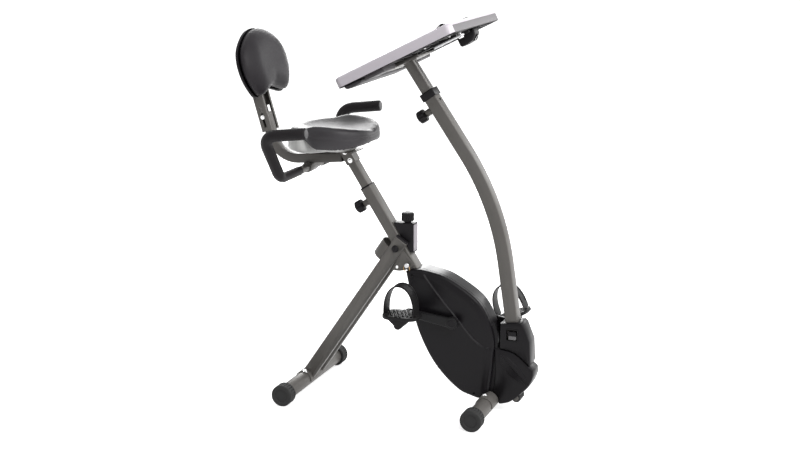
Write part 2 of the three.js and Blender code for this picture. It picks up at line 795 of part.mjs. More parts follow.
function legPlug(name, hand) {
  const near = legInnerFace + steelWall + gap;
  const far = legInnerFace + legWidth - steelWall - gap;
  const span = hand > 0 ? [near, far] : [-far, -near];
  const wide = hand > 0 ? [legInnerFace, legInnerFace + legWidth] : [-legInnerFace - legWidth, -legInnerFace];
  const core = slab(barOutline(step(legTop, legDown, -gap - legPlugLip / 2), step(legTop, legDown, legPlugDepth),
    legDepth - (steelWall + gap) * 2), ...span);
  const lip = slab(barOutline(step(legTop, legDown, -gap - legPlugLip), step(legTop, legDown, -gap), legDepth),
    ...wide, tubeEdgeRound);
  addPiece(name, joined([core, lip]), blackPlastic);
}

// A bent strap behind the main tube that ties the two leg tubes
function legYoke() {
  const weldLine = step(pivot, legBack, legDepth / 2 + gap);
  const start = step(weldLine, legDown, yokeBelowPivot);
  const end = step(start, legDown, yokeLength);
  const tube = rod(space(start, 0), space(end, 0), yokeRadius, wheelSides);
  const hollow = rod(space(step(start, legDown, -overrun), 0), space(step(end, legDown, overrun), 0),
    yokeRadius - yokeThickness, wheelSides);
  const forwardSide = slab(barOutline(step(step(start, legDown, -overrun), legBack, -yokeRadius),
    step(step(end, legDown, overrun), legBack, -yokeRadius), yokeRadius * 2), -yokeRadius * 2, yokeRadius * 2);
  return cut(tube, [hollow, forwardSide]);
}

for (const [side, hand] of [['right', -1], ['left', 1]]) {
  addPiece(`leg_${side}`, legTube(hand), steelFinish);
  legPlug(`leg_plug_${side}`, hand);
}
addPiece('leg_yoke', legYoke(), steelFinish);
addPiece('rear_saddle', saddle(rearFootX, rearSaddleHalfLength), steelFinish);

// Lock pin in the near plate, drawn back until its tip just clears the main tube, with its pull ring
function lockPin() {
  const plateOutside = legInnerFace + steelWall;
  const tip = -legInnerFace + lockPlateThickness + gap;
  const headY = -plateOutside - pinStroke - pinHeadHeight / 2;
  const ringCentre = step(lockHole, legBack, ringRadius);
  const torus = new THREE.TorusGeometry(ringRadius, ringWire, 6, roundSides);
  torus.rotateX(Math.PI / 2);
  torus.translate(ringCentre.x, headY, ringCentre.y);
  return joined([
    crossRod(lockHole, headY, tip, pinRadius, holeSides),
    crossRod(lockHole, headY - pinHeadHeight / 2, headY + pinHeadHeight / 2, pinHeadRadius, holeSides),
    solidOf(torus),
  ]);
}
addPiece('lock_pin', lockPin(), chromeFinish);

// Seat post and its sleeve
const seatPostFoot = step(tubeTop, tubeDown, seatPostInside);
const seatPostTop = step(tubeDatum, tubeDown, -(bracketTopZ - pivotHeight) / Math.cos(mainTubeLean));

function hollowBar(from, to, depth, halfWidth, wall, round = tubeEdgeRound) {
  const direction = to.clone().sub(from).normalize();
  return cut(slab(barOutline(from, to, depth), -halfWidth, halfWidth, round), [
    slab(barOutline(step(from, direction, -overrun), step(to, direction, overrun), depth - wall * 2),
      -halfWidth + wall, halfWidth - wall)]);
}

const flatTop = (z) => box(-footHalfSpan * 3, footHalfSpan * 3, -footHalfSpan, footHalfSpan, z, z + footHalfSpan);

addPiece('seat_post', cut(
  hollowBar(step(seatPostTop, tubeDown, -seatPostDepth), seatPostFoot, seatPostDepth, seatPostWidth / 2, steelWall),
  [flatTop(bracketTopZ - gap)]), steelFinish);

function seatSleeve() {
  const wallGap = steelWall + gap;
  const depth = mainTubeDepth - wallGap * 2;
  const half = mainTubeWidth / 2 - wallGap;
  const foot = step(tubeTop, tubeDown, sleeveLength);
  const lipTop = step(tubeTop, tubeDown, -sleeveLip);
  const body = joined([
    slab(barOutline(step(tubeTop, tubeDown, -gap * 2), foot, depth), -half, half),
    slab(barOutline(lipTop, step(tubeTop, tubeDown, -gap), mainTubeDepth), -tubeSideY, tubeSideY, sleeveLip / 4),
  ]);
  return cut(body, [
    slab(barOutline(step(lipTop, tubeDown, -overrun), step(foot, tubeDown, overrun), seatPostDepth + gap * 2),
      -seatPostWidth / 2 - gap, seatPostWidth / 2 + gap),
    stemRod(seatKnobPoint, tubeForward, -mainTubeDepth, 0, knobPinRadius + gap, holeSides),
  ]);
}
addPiece('seat_sleeve', seatSleeve(), blackPlastic);

// Seat rail with the bracket that holds the post, and its upright for the backrest
const railFront = at(railFrontX, railFrontZ);
const railBack = at(-Math.cos(railSlope), -Math.sin(railSlope));
const railCorner = step(railFront, railBack, railRun);
const upright = at(-Math.sin(backLean), Math.cos(backLean));
const uprightTop = step(railCorner, upright, (uprightTopZ - railCorner.y) / Math.cos(backLean));
const uprightAt = (z) => step(railCorner, upright, (z - railCorner.y) / Math.cos(backLean));
const backForward = at(Math.cos(backLean), Math.sin(backLean));
const railPath = bentPath(railFront, railCorner, uprightTop, railBendRadius, 8);

function seatRail() {
  const outer = slab(bandOutline(railPath, railHeight), -railWidth / 2, railWidth / 2, tubeEdgeRound);
  const longer = [step(railPath[0], railBack, -overrun), ...railPath.slice(1, -1),
    step(uprightTop, upright, overrun)];
  const inner = slab(bandOutline(longer, railHeight - steelWall * 2),
    -railWidth / 2 + steelWall, railWidth / 2 - steelWall);
  const postHalf = seatPostWidth / 2 + gap;
  const bracketDepth = seatPostDepth + bracketPlate * 2 + gap * 2;
  const bracketFoot = step(seatPostTop, tubeDown, bracketHeight);
  const bracket = cut(slab(barOutline(step(seatPostTop, tubeDown, -seatPostDepth), bracketFoot, bracketDepth),
    -postHalf - bracketPlate, postHalf + bracketPlate, tubeEdgeRound / 2), [flatTop(bracketTopZ)]);
  const postHole = slab(barOutline(step(seatPostTop, tubeDown, -seatPostDepth * 2),
    step(bracketFoot, tubeDown, overrun), seatPostDepth + gap * 2), -postHalf, postHalf);
  const middle = seatCentreX;
  const plate = box(middle - seatPlateHalfLength, middle + seatPlateHalfLength,
    -seatPlateHalfWidth, seatPlateHalfWidth, bracketTopZ, bracketTopZ + seatPlateThickness);
  const plateWeb = box(middle - seatPlateHalfLength, seatPostTop.x, -railWidth / 4, railWidth / 4,
    railFrontZ, bracketTopZ + seatPlateThickness / 2);
  const tube = cut(outer.add(plateWeb.subtract(inner)), [inner]);
  const boltHole = crossRod(uprightAt(backBoltZ), -railWidth, railWidth, channelBolt + gap, holeSides);
  return joined([cut(tube.add(bracket), [postHole, boltHole]), plate]);
}
addPiece('seat_rail', seatRail(), steelFinish);

// Seat shell and cushion share the plan and the joint between them
const seatSteps = 36;
const seatAngles = Array.from({ length: seatSteps }, (_, i) => (i / seatSteps) * Math.PI * 2);

function seatPoint(angle, scale, z) {
  const reach = Math.cos(angle) > 0 ? seatFrontReach : seatRearReach;
  return new THREE.Vector3(seatCentreX + Math.cos(angle) * reach * scale,
    Math.sin(angle) * seatHalfWidth * scale, z);
}

function rearShare(angle) {
  const backward = THREE.MathUtils.clamp((-Math.cos(angle) - 0.12) / 0.45, 0, 1);
  return backward * backward * (3 - 2 * backward);
}

const noseShare = (angle) => Math.max(Math.cos(angle), 0) ** 4;
const seatEdge = (angle) => seatEdgeZ + seatRearLift * rearShare(angle) + pommelRise * noseShare(angle);
const seatJoint = (angle, scale) => seatMiddleZ + (seatEdge(angle) - seatMiddleZ) * scale * scale;

function seatRing(scale, height, bulge = 0) {
  return seatAngles.map((angle) => {
    const reach = Math.cos(angle) > 0 ? seatFrontReach : seatRearReach;
    return seatPoint(angle, scale + bulge / reach, height(angle));
  });
}

function seatShell() {
  const bottom = bracketTopZ + seatPlateThickness + gap;
  const rim = (angle) => 1 - (shellFrontInset + (shellInset - shellFrontInset) * rearShare(angle)) / seatHalfWidth;
  const foot = (angle) => shellFootShare + shellRearShare * rearShare(angle);
  const waist = (angle) => (foot(angle) + rim(angle) * 2) / 3 + shellRearShare * rearShare(angle) / 3;
  const waistZ = (angle) => bottom + (seatEdge(angle) - bottom) * (1 - rearShare(angle) * 0.6) / 2;
  const wallShare = shellWall / seatHalfWidth;
  const ring = (scaleAt, heightAt) => seatAngles.map((angle) => seatPoint(angle, scaleAt(angle), heightAt(angle)));
  return ringForm([
    ring(foot, () => bottom),
    ring(waist, waistZ),
    ring(rim, (angle) => seatJoint(angle, rim(angle)) - seatBulge * 2),
    ring(rim, (angle) => seatJoint(angle, rim(angle))),
    ring((angle) => rim(angle) - wallShare, (angle) => seatJoint(angle, rim(angle) - wallShare)),
    ring((angle) => waist(angle) - wallShare, (angle) => waistZ(angle) + shellWall),
    ring((angle) => foot(angle) - wallShare, () => bottom + shellWall),
  ], new THREE.Vector3(seatCentreX, 0, bottom), new THREE.Vector3(seatCentreX, 0, bottom + shellWall));
}

function seatCushion() {
  const crest = (angle) => seatCrestZ + seatSideRise * Math.sin(angle) ** 2 * (1 - rearShare(angle) / 2)
    - seatNoseDrop * Math.max(Math.cos(angle), 0);
  const lift = gap * 4;
  return ringForm([
    seatRing(0.5, (angle) => seatJoint(angle, 0.5) + lift),
    seatRing(0.97, (angle) => seatJoint(angle, 0.97) + lift),
    seatRing(1, (angle) => seatEdge(angle) + seatBulge),
    seatRing(1, (angle) => (seatEdge(angle) + seatSideZ) / 2 + seatBulge, seatBulge / 2),
    seatRing(0.97, (angle) => (seatEdge(angle) + crest(angle) * 2) / 3 + seatBulge),
    seatRing(0.9, (angle) => crest(angle) - seatBulge / 2),
    seatRing(0.8, (angle) => crest(angle)),
    seatRing(0.62, (angle) => (crest(angle) + seatDishZ * 2) / 3),
    seatRing(0.32, () => seatDishZ),
  ], new THREE.Vector3(seatCentreX, 0, seatMiddleZ + lift), new THREE.Vector3(seatCentreX, 0, seatDishZ));
}
addPiece('seat_shell', seatShell(), shellFinish);
addPiece('seat_cushion', seatCushion(), leatherFinish);

// Handlebar: one side's path from the middle to the grip's end, shared by the tube and the grip
function barStations(hand) {
  const shoulder = new THREE.Vector3(barShoulderX, hand * barShoulderY, barShoulderZ);
  const end = new THREE.Vector3(barEndX, hand * barShoulderY, barEndZ);
  return roundedStations([new THREE.Vector3(barX, 0, barZ), new THREE.Vector3(barX, hand * barCornerY, barZ),
    shoulder, end], barBendRadius, barBendSteps);
}

function reaching(stations, startExtra, endExtra) {
  const [first, second, ...rest] = stations;
  const last = stations.at(-1);
  const before = stations.at(-2);
  const outward = last.clone().sub(before).normalize();
  const inward = first.clone().sub(second).normalize();
  return [first.clone().addScaledVector(inward, startExtra), second, ...rest.slice(0, -1),
    last.clone().addScaledVector(outward, endExtra)];
}

function handlebar() {
  const tube = (radius, endExtra) => joined([-1, 1].map((hand) => tubeThrough(
    reaching(barStations(hand), barRadius, endExtra), radius, tubeSides)));
  return tube(barRadius, -gripEndWall - gap).subtract(tube(barRadius - steelWall, overrun));
}

function grip(hand) {
  const whole = barStations(hand);
  const swell = (i) => THREE.MathUtils.clamp((i - barBendSteps / 2) / barBendSteps * 2, 0, 1);
  const outer = tubeThrough(reaching(whole, -gripStartY, 0),
    (i) => gripThinRadius + (gripRadius - gripThinRadius) * swell(i), gripSides);
  const inner = tubeThrough(reaching(whole, 0, -gripEndWall), barRadius + gap * 2, tubeSides);
  return outer.subtract(inner);
}

const railLineAt = (x) => railFrontZ + (x - railFrontX) * Math.tan(railSlope);

function handlebarClamp() {
  const centre = at(barX, barZ);
  const outer = barRadius + gap + clampWall;
  const underRail = slab(barOutline(at(barX - outer * 2, railLineAt(barX - outer * 2)),
    at(barX + outer * 2, railLineAt(barX + outer * 2)), railHeight + gap * 2), -railWidth / 2 - gap, railWidth / 2 + gap);
  const cradle = slab(barOutline(at(barX - outer, railLineAt(barX - outer) - railHeight / 2),
    at(barX + outer, railLineAt(barX + outer) - railHeight / 2), clampWall * 3), -railWidth / 2, railWidth / 2);
  const ring = crossRod(centre, -clampHalfLength, clampHalfLength, outer, roundSides).add(cradle);
  return cut(ring, [crossRod(centre, -clampHalfLength - overrun, clampHalfLength + overrun, barRadius + gap, roundSides),
    underRail]);
}

addPiece('handlebar', handlebar(), steelFinish);
addPiece('grip_right', grip(-1), foamFinish);
addPiece('grip_left', grip(1), foamFinish);
addPiece('handlebar_clamp', handlebarClamp(), steelFinish);

// Backrest bracket on the rail's upright

function backrestBracket() {
  const from = uprightAt(channelBottomZ);
  const to = uprightAt(channelTopZ);
  const openFront = slab(barOutline(step(step(from, upright, -overrun), backForward, channelDepth / 2),
    step(step(to, upright, overrun), backForward, channelDepth / 2), channelDepth / 2),
  -channelWidth / 2 + channelLip, channelWidth / 2 - channelLip);
  const slot = slab(barOutline(uprightAt(backBoltZ - backBoltSlotHalf), uprightAt(backBoltZ + backBoltSlotHalf),
    channelBolt * 2 + gap * 2), -channelWidth, channelWidth);
  return cut(hollowBar(from, to, channelDepth, channelWidth / 2, channelWall - gap), [openFront, slot]);
}

// A bolt through the bracket's slots and the rail's upright, with a spacer each side of the upright
function backrestBolt() {
  const spot = uprightAt(backBoltZ);
  const face = channelWidth / 2 + gap;
  const inside = channelWidth / 2 - channelWall;
  const rail = railWidth / 2 + gap;
  return joined([
    crossRod(spot, -face, face, channelBolt, holeSides),
    crossRod(spot, -face - channelBoltHeadHeight, -face + gap / 2, channelBoltHead, holeSides),
    crossRod(spot, face - gap / 2, face + channelBoltHeadHeight, channelBoltHead, holeSides),
    crossRod(spot, -inside, -rail, channelBoltHead, holeSides),
    crossRod(spot, rail, inside, channelBoltHead, holeSides),
  ]);
}
addPiece('backrest_bolt', backrestBolt(), chromeFinish);
addPiece('backrest_bracket', backrestBracket(), steelFinish);

// Backrest shell and pad: an egg-shaped outline, wider above, with a notch below
const padSteps = 40;
const padOrigin = step(uprightAt(padMiddleZ), backForward, channelDepth / 2 + gap);
const padHalfShares = [[0.42, 0.86], [0.83, 0.46], [0.985, 0.04], [0.98, -0.45], [0.85, -0.86], [0.69, -1.13],
  [0.52, -1.16], [0.23, -1.05]];
const padLoop = new THREE.CatmullRomCurve3([
  [0, 1], ...padHalfShares, [0, -0.97], ...padHalfShares.slice().reverse().map(([across, rise]) => [-across, rise]),
].map(([across, rise]) => new THREE.Vector3(across * padHalfWidth, rise * padAbove, 0)), true);
const padPoints = padLoop.getSpacedPoints(padSteps).slice(0, padSteps).reverse();

function padRing(scale, forward) {
  return padPoints.map((point) => {
    const place = step(step(padOrigin, upright, point.y * scale), backForward, forward);
    return new THREE.Vector3(place.x, point.x * scale, place.y);
  });
}

function padForm(rings, back, front) {
  return ringForm(rings.map(([scale, forward]) => padRing(scale, forward)),
    space(step(padOrigin, backForward, back), 0), space(step(padOrigin, backForward, front), 0));
}

const padBackFace = padShellThickness;
addPiece('backrest_shell', padForm([
  [0.6, 0], [0.9, padShellRim / 2], [1, padShellRim], [1, padBackFace + padShellRim / 2],
  [0.97, padBackFace + padShellRim / 2], [0.95, padBackFace], [0.5, padBackFace],
], 0, padBackFace), blackPlastic);
addPiece('backrest_pad', padForm([
  [0.5, padBackFace + gap], [0.935, padBackFace + gap], [0.96, padBackFace + padShellRim],
  [0.985, padBackFace + padThickness * 0.28], [0.985, padBackFace + padThickness * 0.5],
  [0.95, padBackFace + padThickness * 0.72], [0.87, padBackFace + padThickness * 0.86],
  [0.7, padBackFace + padThickness * 0.95], [0.38, padBackFace + padThickness],
], padBackFace + gap, padBackFace + padThickness), leatherFinish);

// Desk post: straight above, an arc, straight below
const collar = at(collarX, collarZ);
const postDown = at(Math.sin(upperPostLean), -Math.cos(upperPostLean));
const baseDown = at(Math.sin(lowerPostLean), -Math.cos(lowerPostLean));
const postBase = at(postBaseX, postBaseZ);
const postForward = at(Math.cos(upperPostLean), Math.sin(upperPostLean));

function crossing(a, directionA, b, directionB) {
  const across = directionA.x * directionB.y - directionA.y * directionB.x;
  const offset = b.clone().sub(a);
  return step(a, directionA, (offset.x * directionB.y - offset.y * directionB.x) / across);
}

const postCorner = crossing(collar, postDown, postBase, baseDown);
const postFoot = step(postBase, baseDown, postBelowBase);
const deskKnobPoint = step(collar, postDown, deskKnobBelowCollar);
const postBackward = postForward.clone().multiplyScalar(-1);

function deskPost() {
  const path = bentPath(collar, postCorner, postFoot, postBendRadius, 14);
  const outer = slab(bandOutline(path, deskPostSize), -deskPostWidth / 2, deskPostWidth / 2, tubeEdgeRound);
  const longer = [step(path[0], postDown, -overrun), ...path.slice(1, -1), step(postFoot, baseDown, overrun)];
  const inner = slab(bandOutline(longer, deskPostSize - steelWall * 2),
    -deskPostWidth / 2 + steelWall, deskPostWidth / 2 - steelWall);
  const half = deskPostSize / 2;
  const boss = stemRod(deskKnobPoint, postBackward, half - steelWall / 2, half + knobBossHeight, knobBossRadius);
  return cut(outer.add(boss), [inner,
    stemRod(deskKnobPoint, postBackward, half - steelWall * 2, half + knobBossHeight + overrun, knobPinRadius + gap, holeSides),
  ]);
}

function postCollar() {
  const top = step(collar, postDown, -collarLength + collarSeat);
  const seat = step(collar, postDown, collarSeat);
  const innerHalf = innerPostSize / 2 + gap;
  const size = deskPostSize + collarWall * 2;
  const width = deskPostWidth / 2 + collarWall;
  const body = slab(barOutline(top, seat, size), -width, width, collarWall / 2);
  return cut(body, [
    slab(barOutline(step(collar, postDown, -gap), step(seat, postDown, overrun), deskPostSize + gap * 2),
      -deskPostWidth / 2 - gap, deskPostWidth / 2 + gap),
    slab(barOutline(step(top, postDown, -overrun), step(seat, postDown, overrun), innerHalf * 2),
      -innerHalf, innerHalf),
  ]);
}

addPiece('desk_post', deskPost(), steelFinish);
addPiece('post_collar', postCollar(), blackPlastic);
pullKnob('desk_knob', deskKnobPoint, postBackward, deskPostSize);

// Desk frame: forward runs up the slope, and lift is square to it
const deskAlong = at(Math.cos(deskTilt), Math.sin(deskTilt));
const deskLift = at(-Math.sin(deskTilt), Math.cos(deskTilt));
const deskCentre = at(deskCentreX, deskCentreZ);
const deskSpot = (forward, lift) => step(step(deskCentre, deskAlong, forward), deskLift, lift);
const underside = -deskThickness / 2;

function deskBlock(backward, forward, lowY, highY, low, high, round = 0) {
  return slab([deskSpot(backward, low), deskSpot(forward, low), deskSpot(forward, high), deskSpot(backward, high)],
    lowY, highY, round);
}

// A plate with rounded plan corners, laid on the desk's slope
function deskPlate(halfLength, halfWidth, corner, low, high, round) {
  const outline = new THREE.Shape();
  const corners = [[1, 1, 0], [-1, 1, 1], [-1, -1, 2], [1, -1, 3]];
  const points = corners.flatMap(([sx, sy, quarter]) => arc(
    at(sx * (halfLength - corner), sy * (halfWidth - corner)), corner,
    quarter * Math.PI / 2, (quarter + 1) * Math.PI / 2, 5));
  outline.setFromPoints(points);
  const geometry = new THREE.ExtrudeGeometry(outline, {
    depth: high - low - round * 2, steps: 1, bevelEnabled: round > 0,
    bevelThickness: round, bevelSize: round, bevelOffset: -round, bevelSegments: 2,
  });
  geometry.translate(0, 0, low + round);
  geometry.rotateY(-deskTilt);
  geometry.translate(deskCentre.x, 0, deskCentre.y);
  return solidOf(geometry);
}

const trayTop = underside + trayRecess + trayThickness;
const slideRailFront = deskDepth / 2 - slideRailFromFront;
addPiece('desk_top', cut(
  deskPlate(deskDepth / 2, deskHalfWidth, deskCornerRadius, underside, deskThickness / 2, deskEdgeRound),
  [deskPlate(deskDepth / 2 - deskWall, deskHalfWidth - deskWall, deskCornerRadius - deskWall,
    underside - overrun, deskThickness / 2 - deskWall, 0)]), deskFinish);

function deskTray() {
  const inset = deskWall + gap;
  const plate = deskPlate(deskDepth / 2 - inset, deskHalfWidth - inset, deskCornerRadius - inset,
    underside + trayRecess, trayTop, 0);
  const ribTop = deskThickness / 2 - deskWall - gap;
  const ribs = [-1, 1].map((hand) => deskBlock(-slideRailBack, slideRailFront,
    hand * slideRailOffset - plasticWall, hand * slideRailOffset + plasticWall, trayTop - plasticWall, ribTop));
  const rails = [-1, 1].map((hand) => deskBlock(-slideRailBack, slideRailFront,
    hand * slideRailOffset - slideRailWidth / 2, hand * slideRailOffset + slideRailWidth / 2,
    underside + trayRecess - slideRailDrop, underside + trayRecess + plasticWall, 1));
  return joined([plate, ...ribs, ...rails]);
}
addPiece('desk_tray', deskTray(), blackPlastic);

// Inner post with the carriage that the desk slides on
const carriageTop = underside + trayRecess - slideRailDrop - gap;
const innerAxisTop = crossing(collar, postDown, deskSpot(0, carriageTop - carriageThickness), deskAlong);
const carriageMiddle = innerAxisTop.clone().sub(deskCentre).dot(deskAlong);

function innerPost() {
  const foot = step(collar, postDown, innerPostInside);
  const half = innerPostSize / 2;
  const tube = hollowBar(step(innerAxisTop, postDown, -innerPostSize), foot, innerPostSize, half, steelWall);
  const above = deskBlock(-deskDepth, deskDepth, -deskHalfWidth, deskHalfWidth,
    carriageTop - carriageThickness / 2, deskThickness * 3);
  const plate = deskBlock(carriageMiddle - carriageHalfLength, carriageMiddle + carriageHalfLength,
    -carriageHalfWidth, carriageHalfWidth, carriageTop - carriageThickness, carriageTop, 1);
  const lips = [-1, 1].map((hand) => deskBlock(
    carriageMiddle - carriageHalfLength, carriageMiddle + carriageHalfLength,
    hand > 0 ? slideRailOffset + slideRailWidth / 2 + gap : -carriageHalfWidth,
    hand > 0 ? carriageHalfWidth : -slideRailOffset - slideRailWidth / 2 - gap,
    carriageTop - carriageThickness / 2, carriageTop + slideRailDrop - gap * 2));
  return joined([cut(tube, [above]), plate, ...lips]);
}
addPiece('inner_post', innerPost(), steelFinish);

// Wrist pad, lock lever and monitor box under the desk
const padRearEdge = -deskDepth / 2 + deskEdgeRound;
const padFrontEdge = carriageMiddle - carriageHalfLength - slideForwardTravel - wristPadRoom;
addPiece('wrist_pad', deskBlock(padRearEdge, padFrontEdge,
  -deskHalfWidth + wristPadEndInset, deskHalfWidth - wristPadEndInset,
  underside - gap - wristPadThickness, underside + trayRecess - gap, wristPadThickness / 3), leatherFinish);

const leverPivotForward = deskDepth / 2 - leverFromFront;
const leverBottom = underside - leverDrop - leverThickness;
function lockLever() {
  const trayFace = underside + trayRecess - gap;
  const blade = deskBlock(leverPivotForward - leverLength, leverPivotForward + leverWidth / 2,
    -leverOffset - leverWidth / 2, -leverOffset + leverWidth / 2, leverBottom, leverBottom + leverThickness, 1);
  const centre = deskSpot(leverPivotForward, leverBottom + leverThickness / 2);
  const top = deskSpot(leverPivotForward, trayFace);
  return blade.add(rod(space(centre, -leverOffset), space(top, -leverOffset), leverPinRadius, holeSides));
}
addPiece('lock_lever', lockLever(), ironFinish);
const monitorForward = deskDepth / 2 - monitorFromFront;
addPiece('monitor_box', deskBlock(monitorForward - monitorLength / 2, monitorForward + monitorLength / 2,
  monitorOffset + slideRailWidth + gap, monitorOffset + slideRailWidth + monitorHalfWidth * 2,
  underside - monitorHeight + trayRecess, underside + trayRecess - gap, 3), blackPlastic);

// Housing outline in shares of its width and height, from the tube's entry clockwise
const housingShares = [
  [0, 0], [0.058, 0.02], [0.175, 0.024], [0.42, -0.016], [0.64, -0.1], [0.805, -0.19], [0.9, -0.29],
  [0.969, -0.41], [1, -0.52], [0.993, -0.61], [0.976, -0.77], [0.947, -0.925], [0.915, -0.985], [0.845, -1],
  [0.75, -0.985], [0.62, -0.95], [0.46, -0.853], [0.32, -0.732], [0.206, -0.585], [0.12, -0.427],
  [0.075, -0.27], [0.035, -0.12],
];
const housingPoint = ([x, z]) => at(housingTopX + x * housingWidth, housingTopZ + z * housingHeight);

function housingOutline() {
  const corners = housingShares.map(housingPoint);
  const smooth = new THREE.SplineCurve([...corners.slice(2), corners[0]]).getPoints(28);
  return [corners[1], ...smooth].reverse();
}

const outlinePoints = housingOutline();
const everything = footHalfSpan * 4;

function housingShell(lowY, highY) {
  const outer = slab(outlinePoints, -housingHalfWidth, housingHalfWidth, housingRound, 2);
  const innerHalf = housingHalfWidth - plasticWall;
  const inner = slab(drawnIn(outlinePoints, plasticWall), -innerHalf, innerHalf, housingRound);
  const keep = box(-everything, everything, lowY, highY, 0, everything);
  const tubeRoom = slab(barOutline(step(tubeTop, tubeDown, 0), step(tubeFoot, tubeDown, overrun),
    mainTubeDepth + gap * 2), -tubeSideY - gap, tubeSideY + gap);
  const legRoom = crossRod(pivot, -housingHalfWidth - overrun, housingHalfWidth + overrun,
    lockPlateRadius + gap * 4, wheelSides);
  const footRoom = crossRod(at(frontFootX, capRadius), -everything, everything,
    floorBarRadius + saddleThickness + gap * 4, wheelSides);
  return cut(outer.subtract(inner).intersect(keep), [tubeRoom, legRoom, footRoom, armRoom(),
    crossRod(crankCentre, -housingHalfWidth - overrun, housingHalfWidth + overrun, crankAxleRadius + gap * 4, roundSides)]);
}

// The space that the covers leave for the housing's front
function housingRoom() {
  const wide = outlinePoints.map((point) => step(crankCentre, point.clone().sub(crankCentre), 1 + gap / drivePulleyRadius));
  return slab(wide, -housingHalfWidth, housingHalfWidth);
}

// Base arm: from the main tube to the socket inside the desk post, with the roller's lugs
const armBottomAt = step(tubeDatum, tubeDown, (pivotHeight - baseArmBottomZ) / Math.cos(mainTubeLean));
const socketFoot = step(postBase, baseDown, (postBaseZ - baseArmBottomZ) / Math.cos(lowerPostLean));
const socketTop = step(postBase, baseDown, (postBaseZ - socketTopZ) / Math.cos(lowerPostLean));
const armFrontX = socketFoot.x + socketSize / 2;
const armBackX = armBottomAt.x + mainTubeDepth / 2 / Math.cos(mainTubeLean) + gap * 2;

function armRoom() {
  return box(armBackX - overrun * 4, armFrontX + overrun, -baseArmWidth / 2 - gap, baseArmWidth / 2 + gap,
    baseArmBottomZ - gap, baseArmBottomZ + baseArmHeight + gap);
}

function baseArm() {
  const armTop = baseArmBottomZ + baseArmHeight;
  const bar = box(armBackX - overrun * 4, armFrontX, -baseArmWidth / 2, baseArmWidth / 2, baseArmBottomZ, armTop);
  const socket = slab(barOutline(step(socketTop, baseDown, 0), step(socketFoot, baseDown, -steelWall), socketSize),
    -socketSize / 2, socketSize / 2, tubeEdgeRound);
  const hollow = slab(barOutline(step(socketTop, baseDown, -overrun), step(socketFoot, baseDown, -baseArmHeight),
    socketSize - steelWall * 4), -socketSize / 2 + steelWall * 2, socketSize / 2 - steelWall * 2);
  const barHollow = box(armBackX - overrun * 5, armFrontX - steelWall * 2, -baseArmWidth / 2 + steelWall * 2,
    baseArmWidth / 2 - steelWall * 2, baseArmBottomZ + steelWall * 2, armTop - steelWall * 2);
  const lugInner = rollerHalfLength + gap * 3;
  const lugOuter = lugInner + lugThickness;
  const lugs = [[-lugOuter, -lugInner], [lugInner, lugOuter]].map(([low, high]) => slab([
    ...arc(at(rollerX, rollerZ), lugRadius, -Math.PI * 3 / 4, Math.PI / 4, 8),
    at(rollerX - lugRise / 2, baseArmBottomZ + lugThickness),
    at(rollerX - lugRise - lugRadius, baseArmBottomZ + lugThickness)], low, high));
  const bridge = box(rollerX - lugRise - lugRadius, rollerX - lugRise / 2, -lugOuter, lugOuter,
    baseArmBottomZ - lugThickness, baseArmBottomZ + lugThickness);
  const axle = crossRod(at(rollerX, rollerZ), -lugInner - lugThickness / 2, lugInner + lugThickness / 2,
    rollerAxleRadius, holeSides);
  const tubeRoom = slab(barOutline(tubeTop, step(tubeFoot, tubeDown, overrun * 4), mainTubeDepth + gap * 2),
    -tubeSideY - gap, tubeSideY + gap);
  const postRoom = slab(barOutline(step(postBase, baseDown, -overrun), step(postFoot, baseDown, gap * 2),
    deskPostSize * 2), -deskPostWidth, deskPostWidth);
  const body = joined([bar, socket, ...lugs, bridge, axle]);
  return cut(body, [hollow, barHollow, tubeRoom, cut(postRoom, [
    slab(barOutline(step(postBase, baseDown, -overrun * 2), step(postFoot, baseDown, overrun), socketSize),
      -socketSize / 2, socketSize / 2)])]);
}
addPiece('base_arm', baseArm(), steelFinish);

function transportRoller() {
  const bore = rollerAxleRadius + gap;
  const grooves = [-1, 1].flatMap((place) => {
    const middle = place * rollerHalfLength / 2;
    return [[rollerRadius, middle - rollerGroove], [rollerRadius - rollerGroove, middle],
      [rollerRadius, middle + rollerGroove]];
  });
  const profile = [[bore, -rollerHalfLength], [rollerRadius - rollerGroove, -rollerHalfLength],
    [rollerRadius, -rollerHalfLength + rollerGroove], ...grooves,
    [rollerRadius, rollerHalfLength - rollerGroove], [rollerRadius - rollerGroove, rollerHalfLength],
    [bore, rollerHalfLength], [bore, -rollerHalfLength]];
  return turnedPiece(profile, new THREE.Vector3(rollerX, 0, rollerZ), acrossY, holeSides);
}
addPiece('transport_roller', transportRoller(), rubberFinish);

addPiece('housing_right', housingShell(-housingHalfWidth - overrun, housingSeamY - gap / 2), blackPlastic);
addPiece('housing_left', housingShell(housingSeamY + gap / 2, housingHalfWidth + overrun), blackPlastic);

// Front covers: an outline in shares of reach and height, with the foot cover's seam along its top
const coverTopZ = coverBottomZ + coverHeight;
const coverSpot = ([x, drop]) => at(coverBackX + coverReach * x, coverTopZ - drop * coverHeight);
const seamShares = [[0.112, 0.01], [0.448, 0.05], [0.656, 0.136], [0.888, 0.272]];
const coverFrontShares = [[0.992, 0.326], [1, 0.435], [0.896, 0.614], [0.712, 0.755], [0.408, 0.935], [0.136, 0.995]];
const coverBackShares = [[-0.06, 0.9], [0, 0.45], [-0.04, -0.005]];

function coverOutline() {
  const seam = new THREE.SplineCurve(seamShares.map(coverSpot)).getSpacedPoints(7);
  const front = new THREE.SplineCurve(coverFrontShares.map(coverSpot)).getSpacedPoints(11);
  return [...seam, ...front, ...coverBackShares.map(coverSpot)];
}

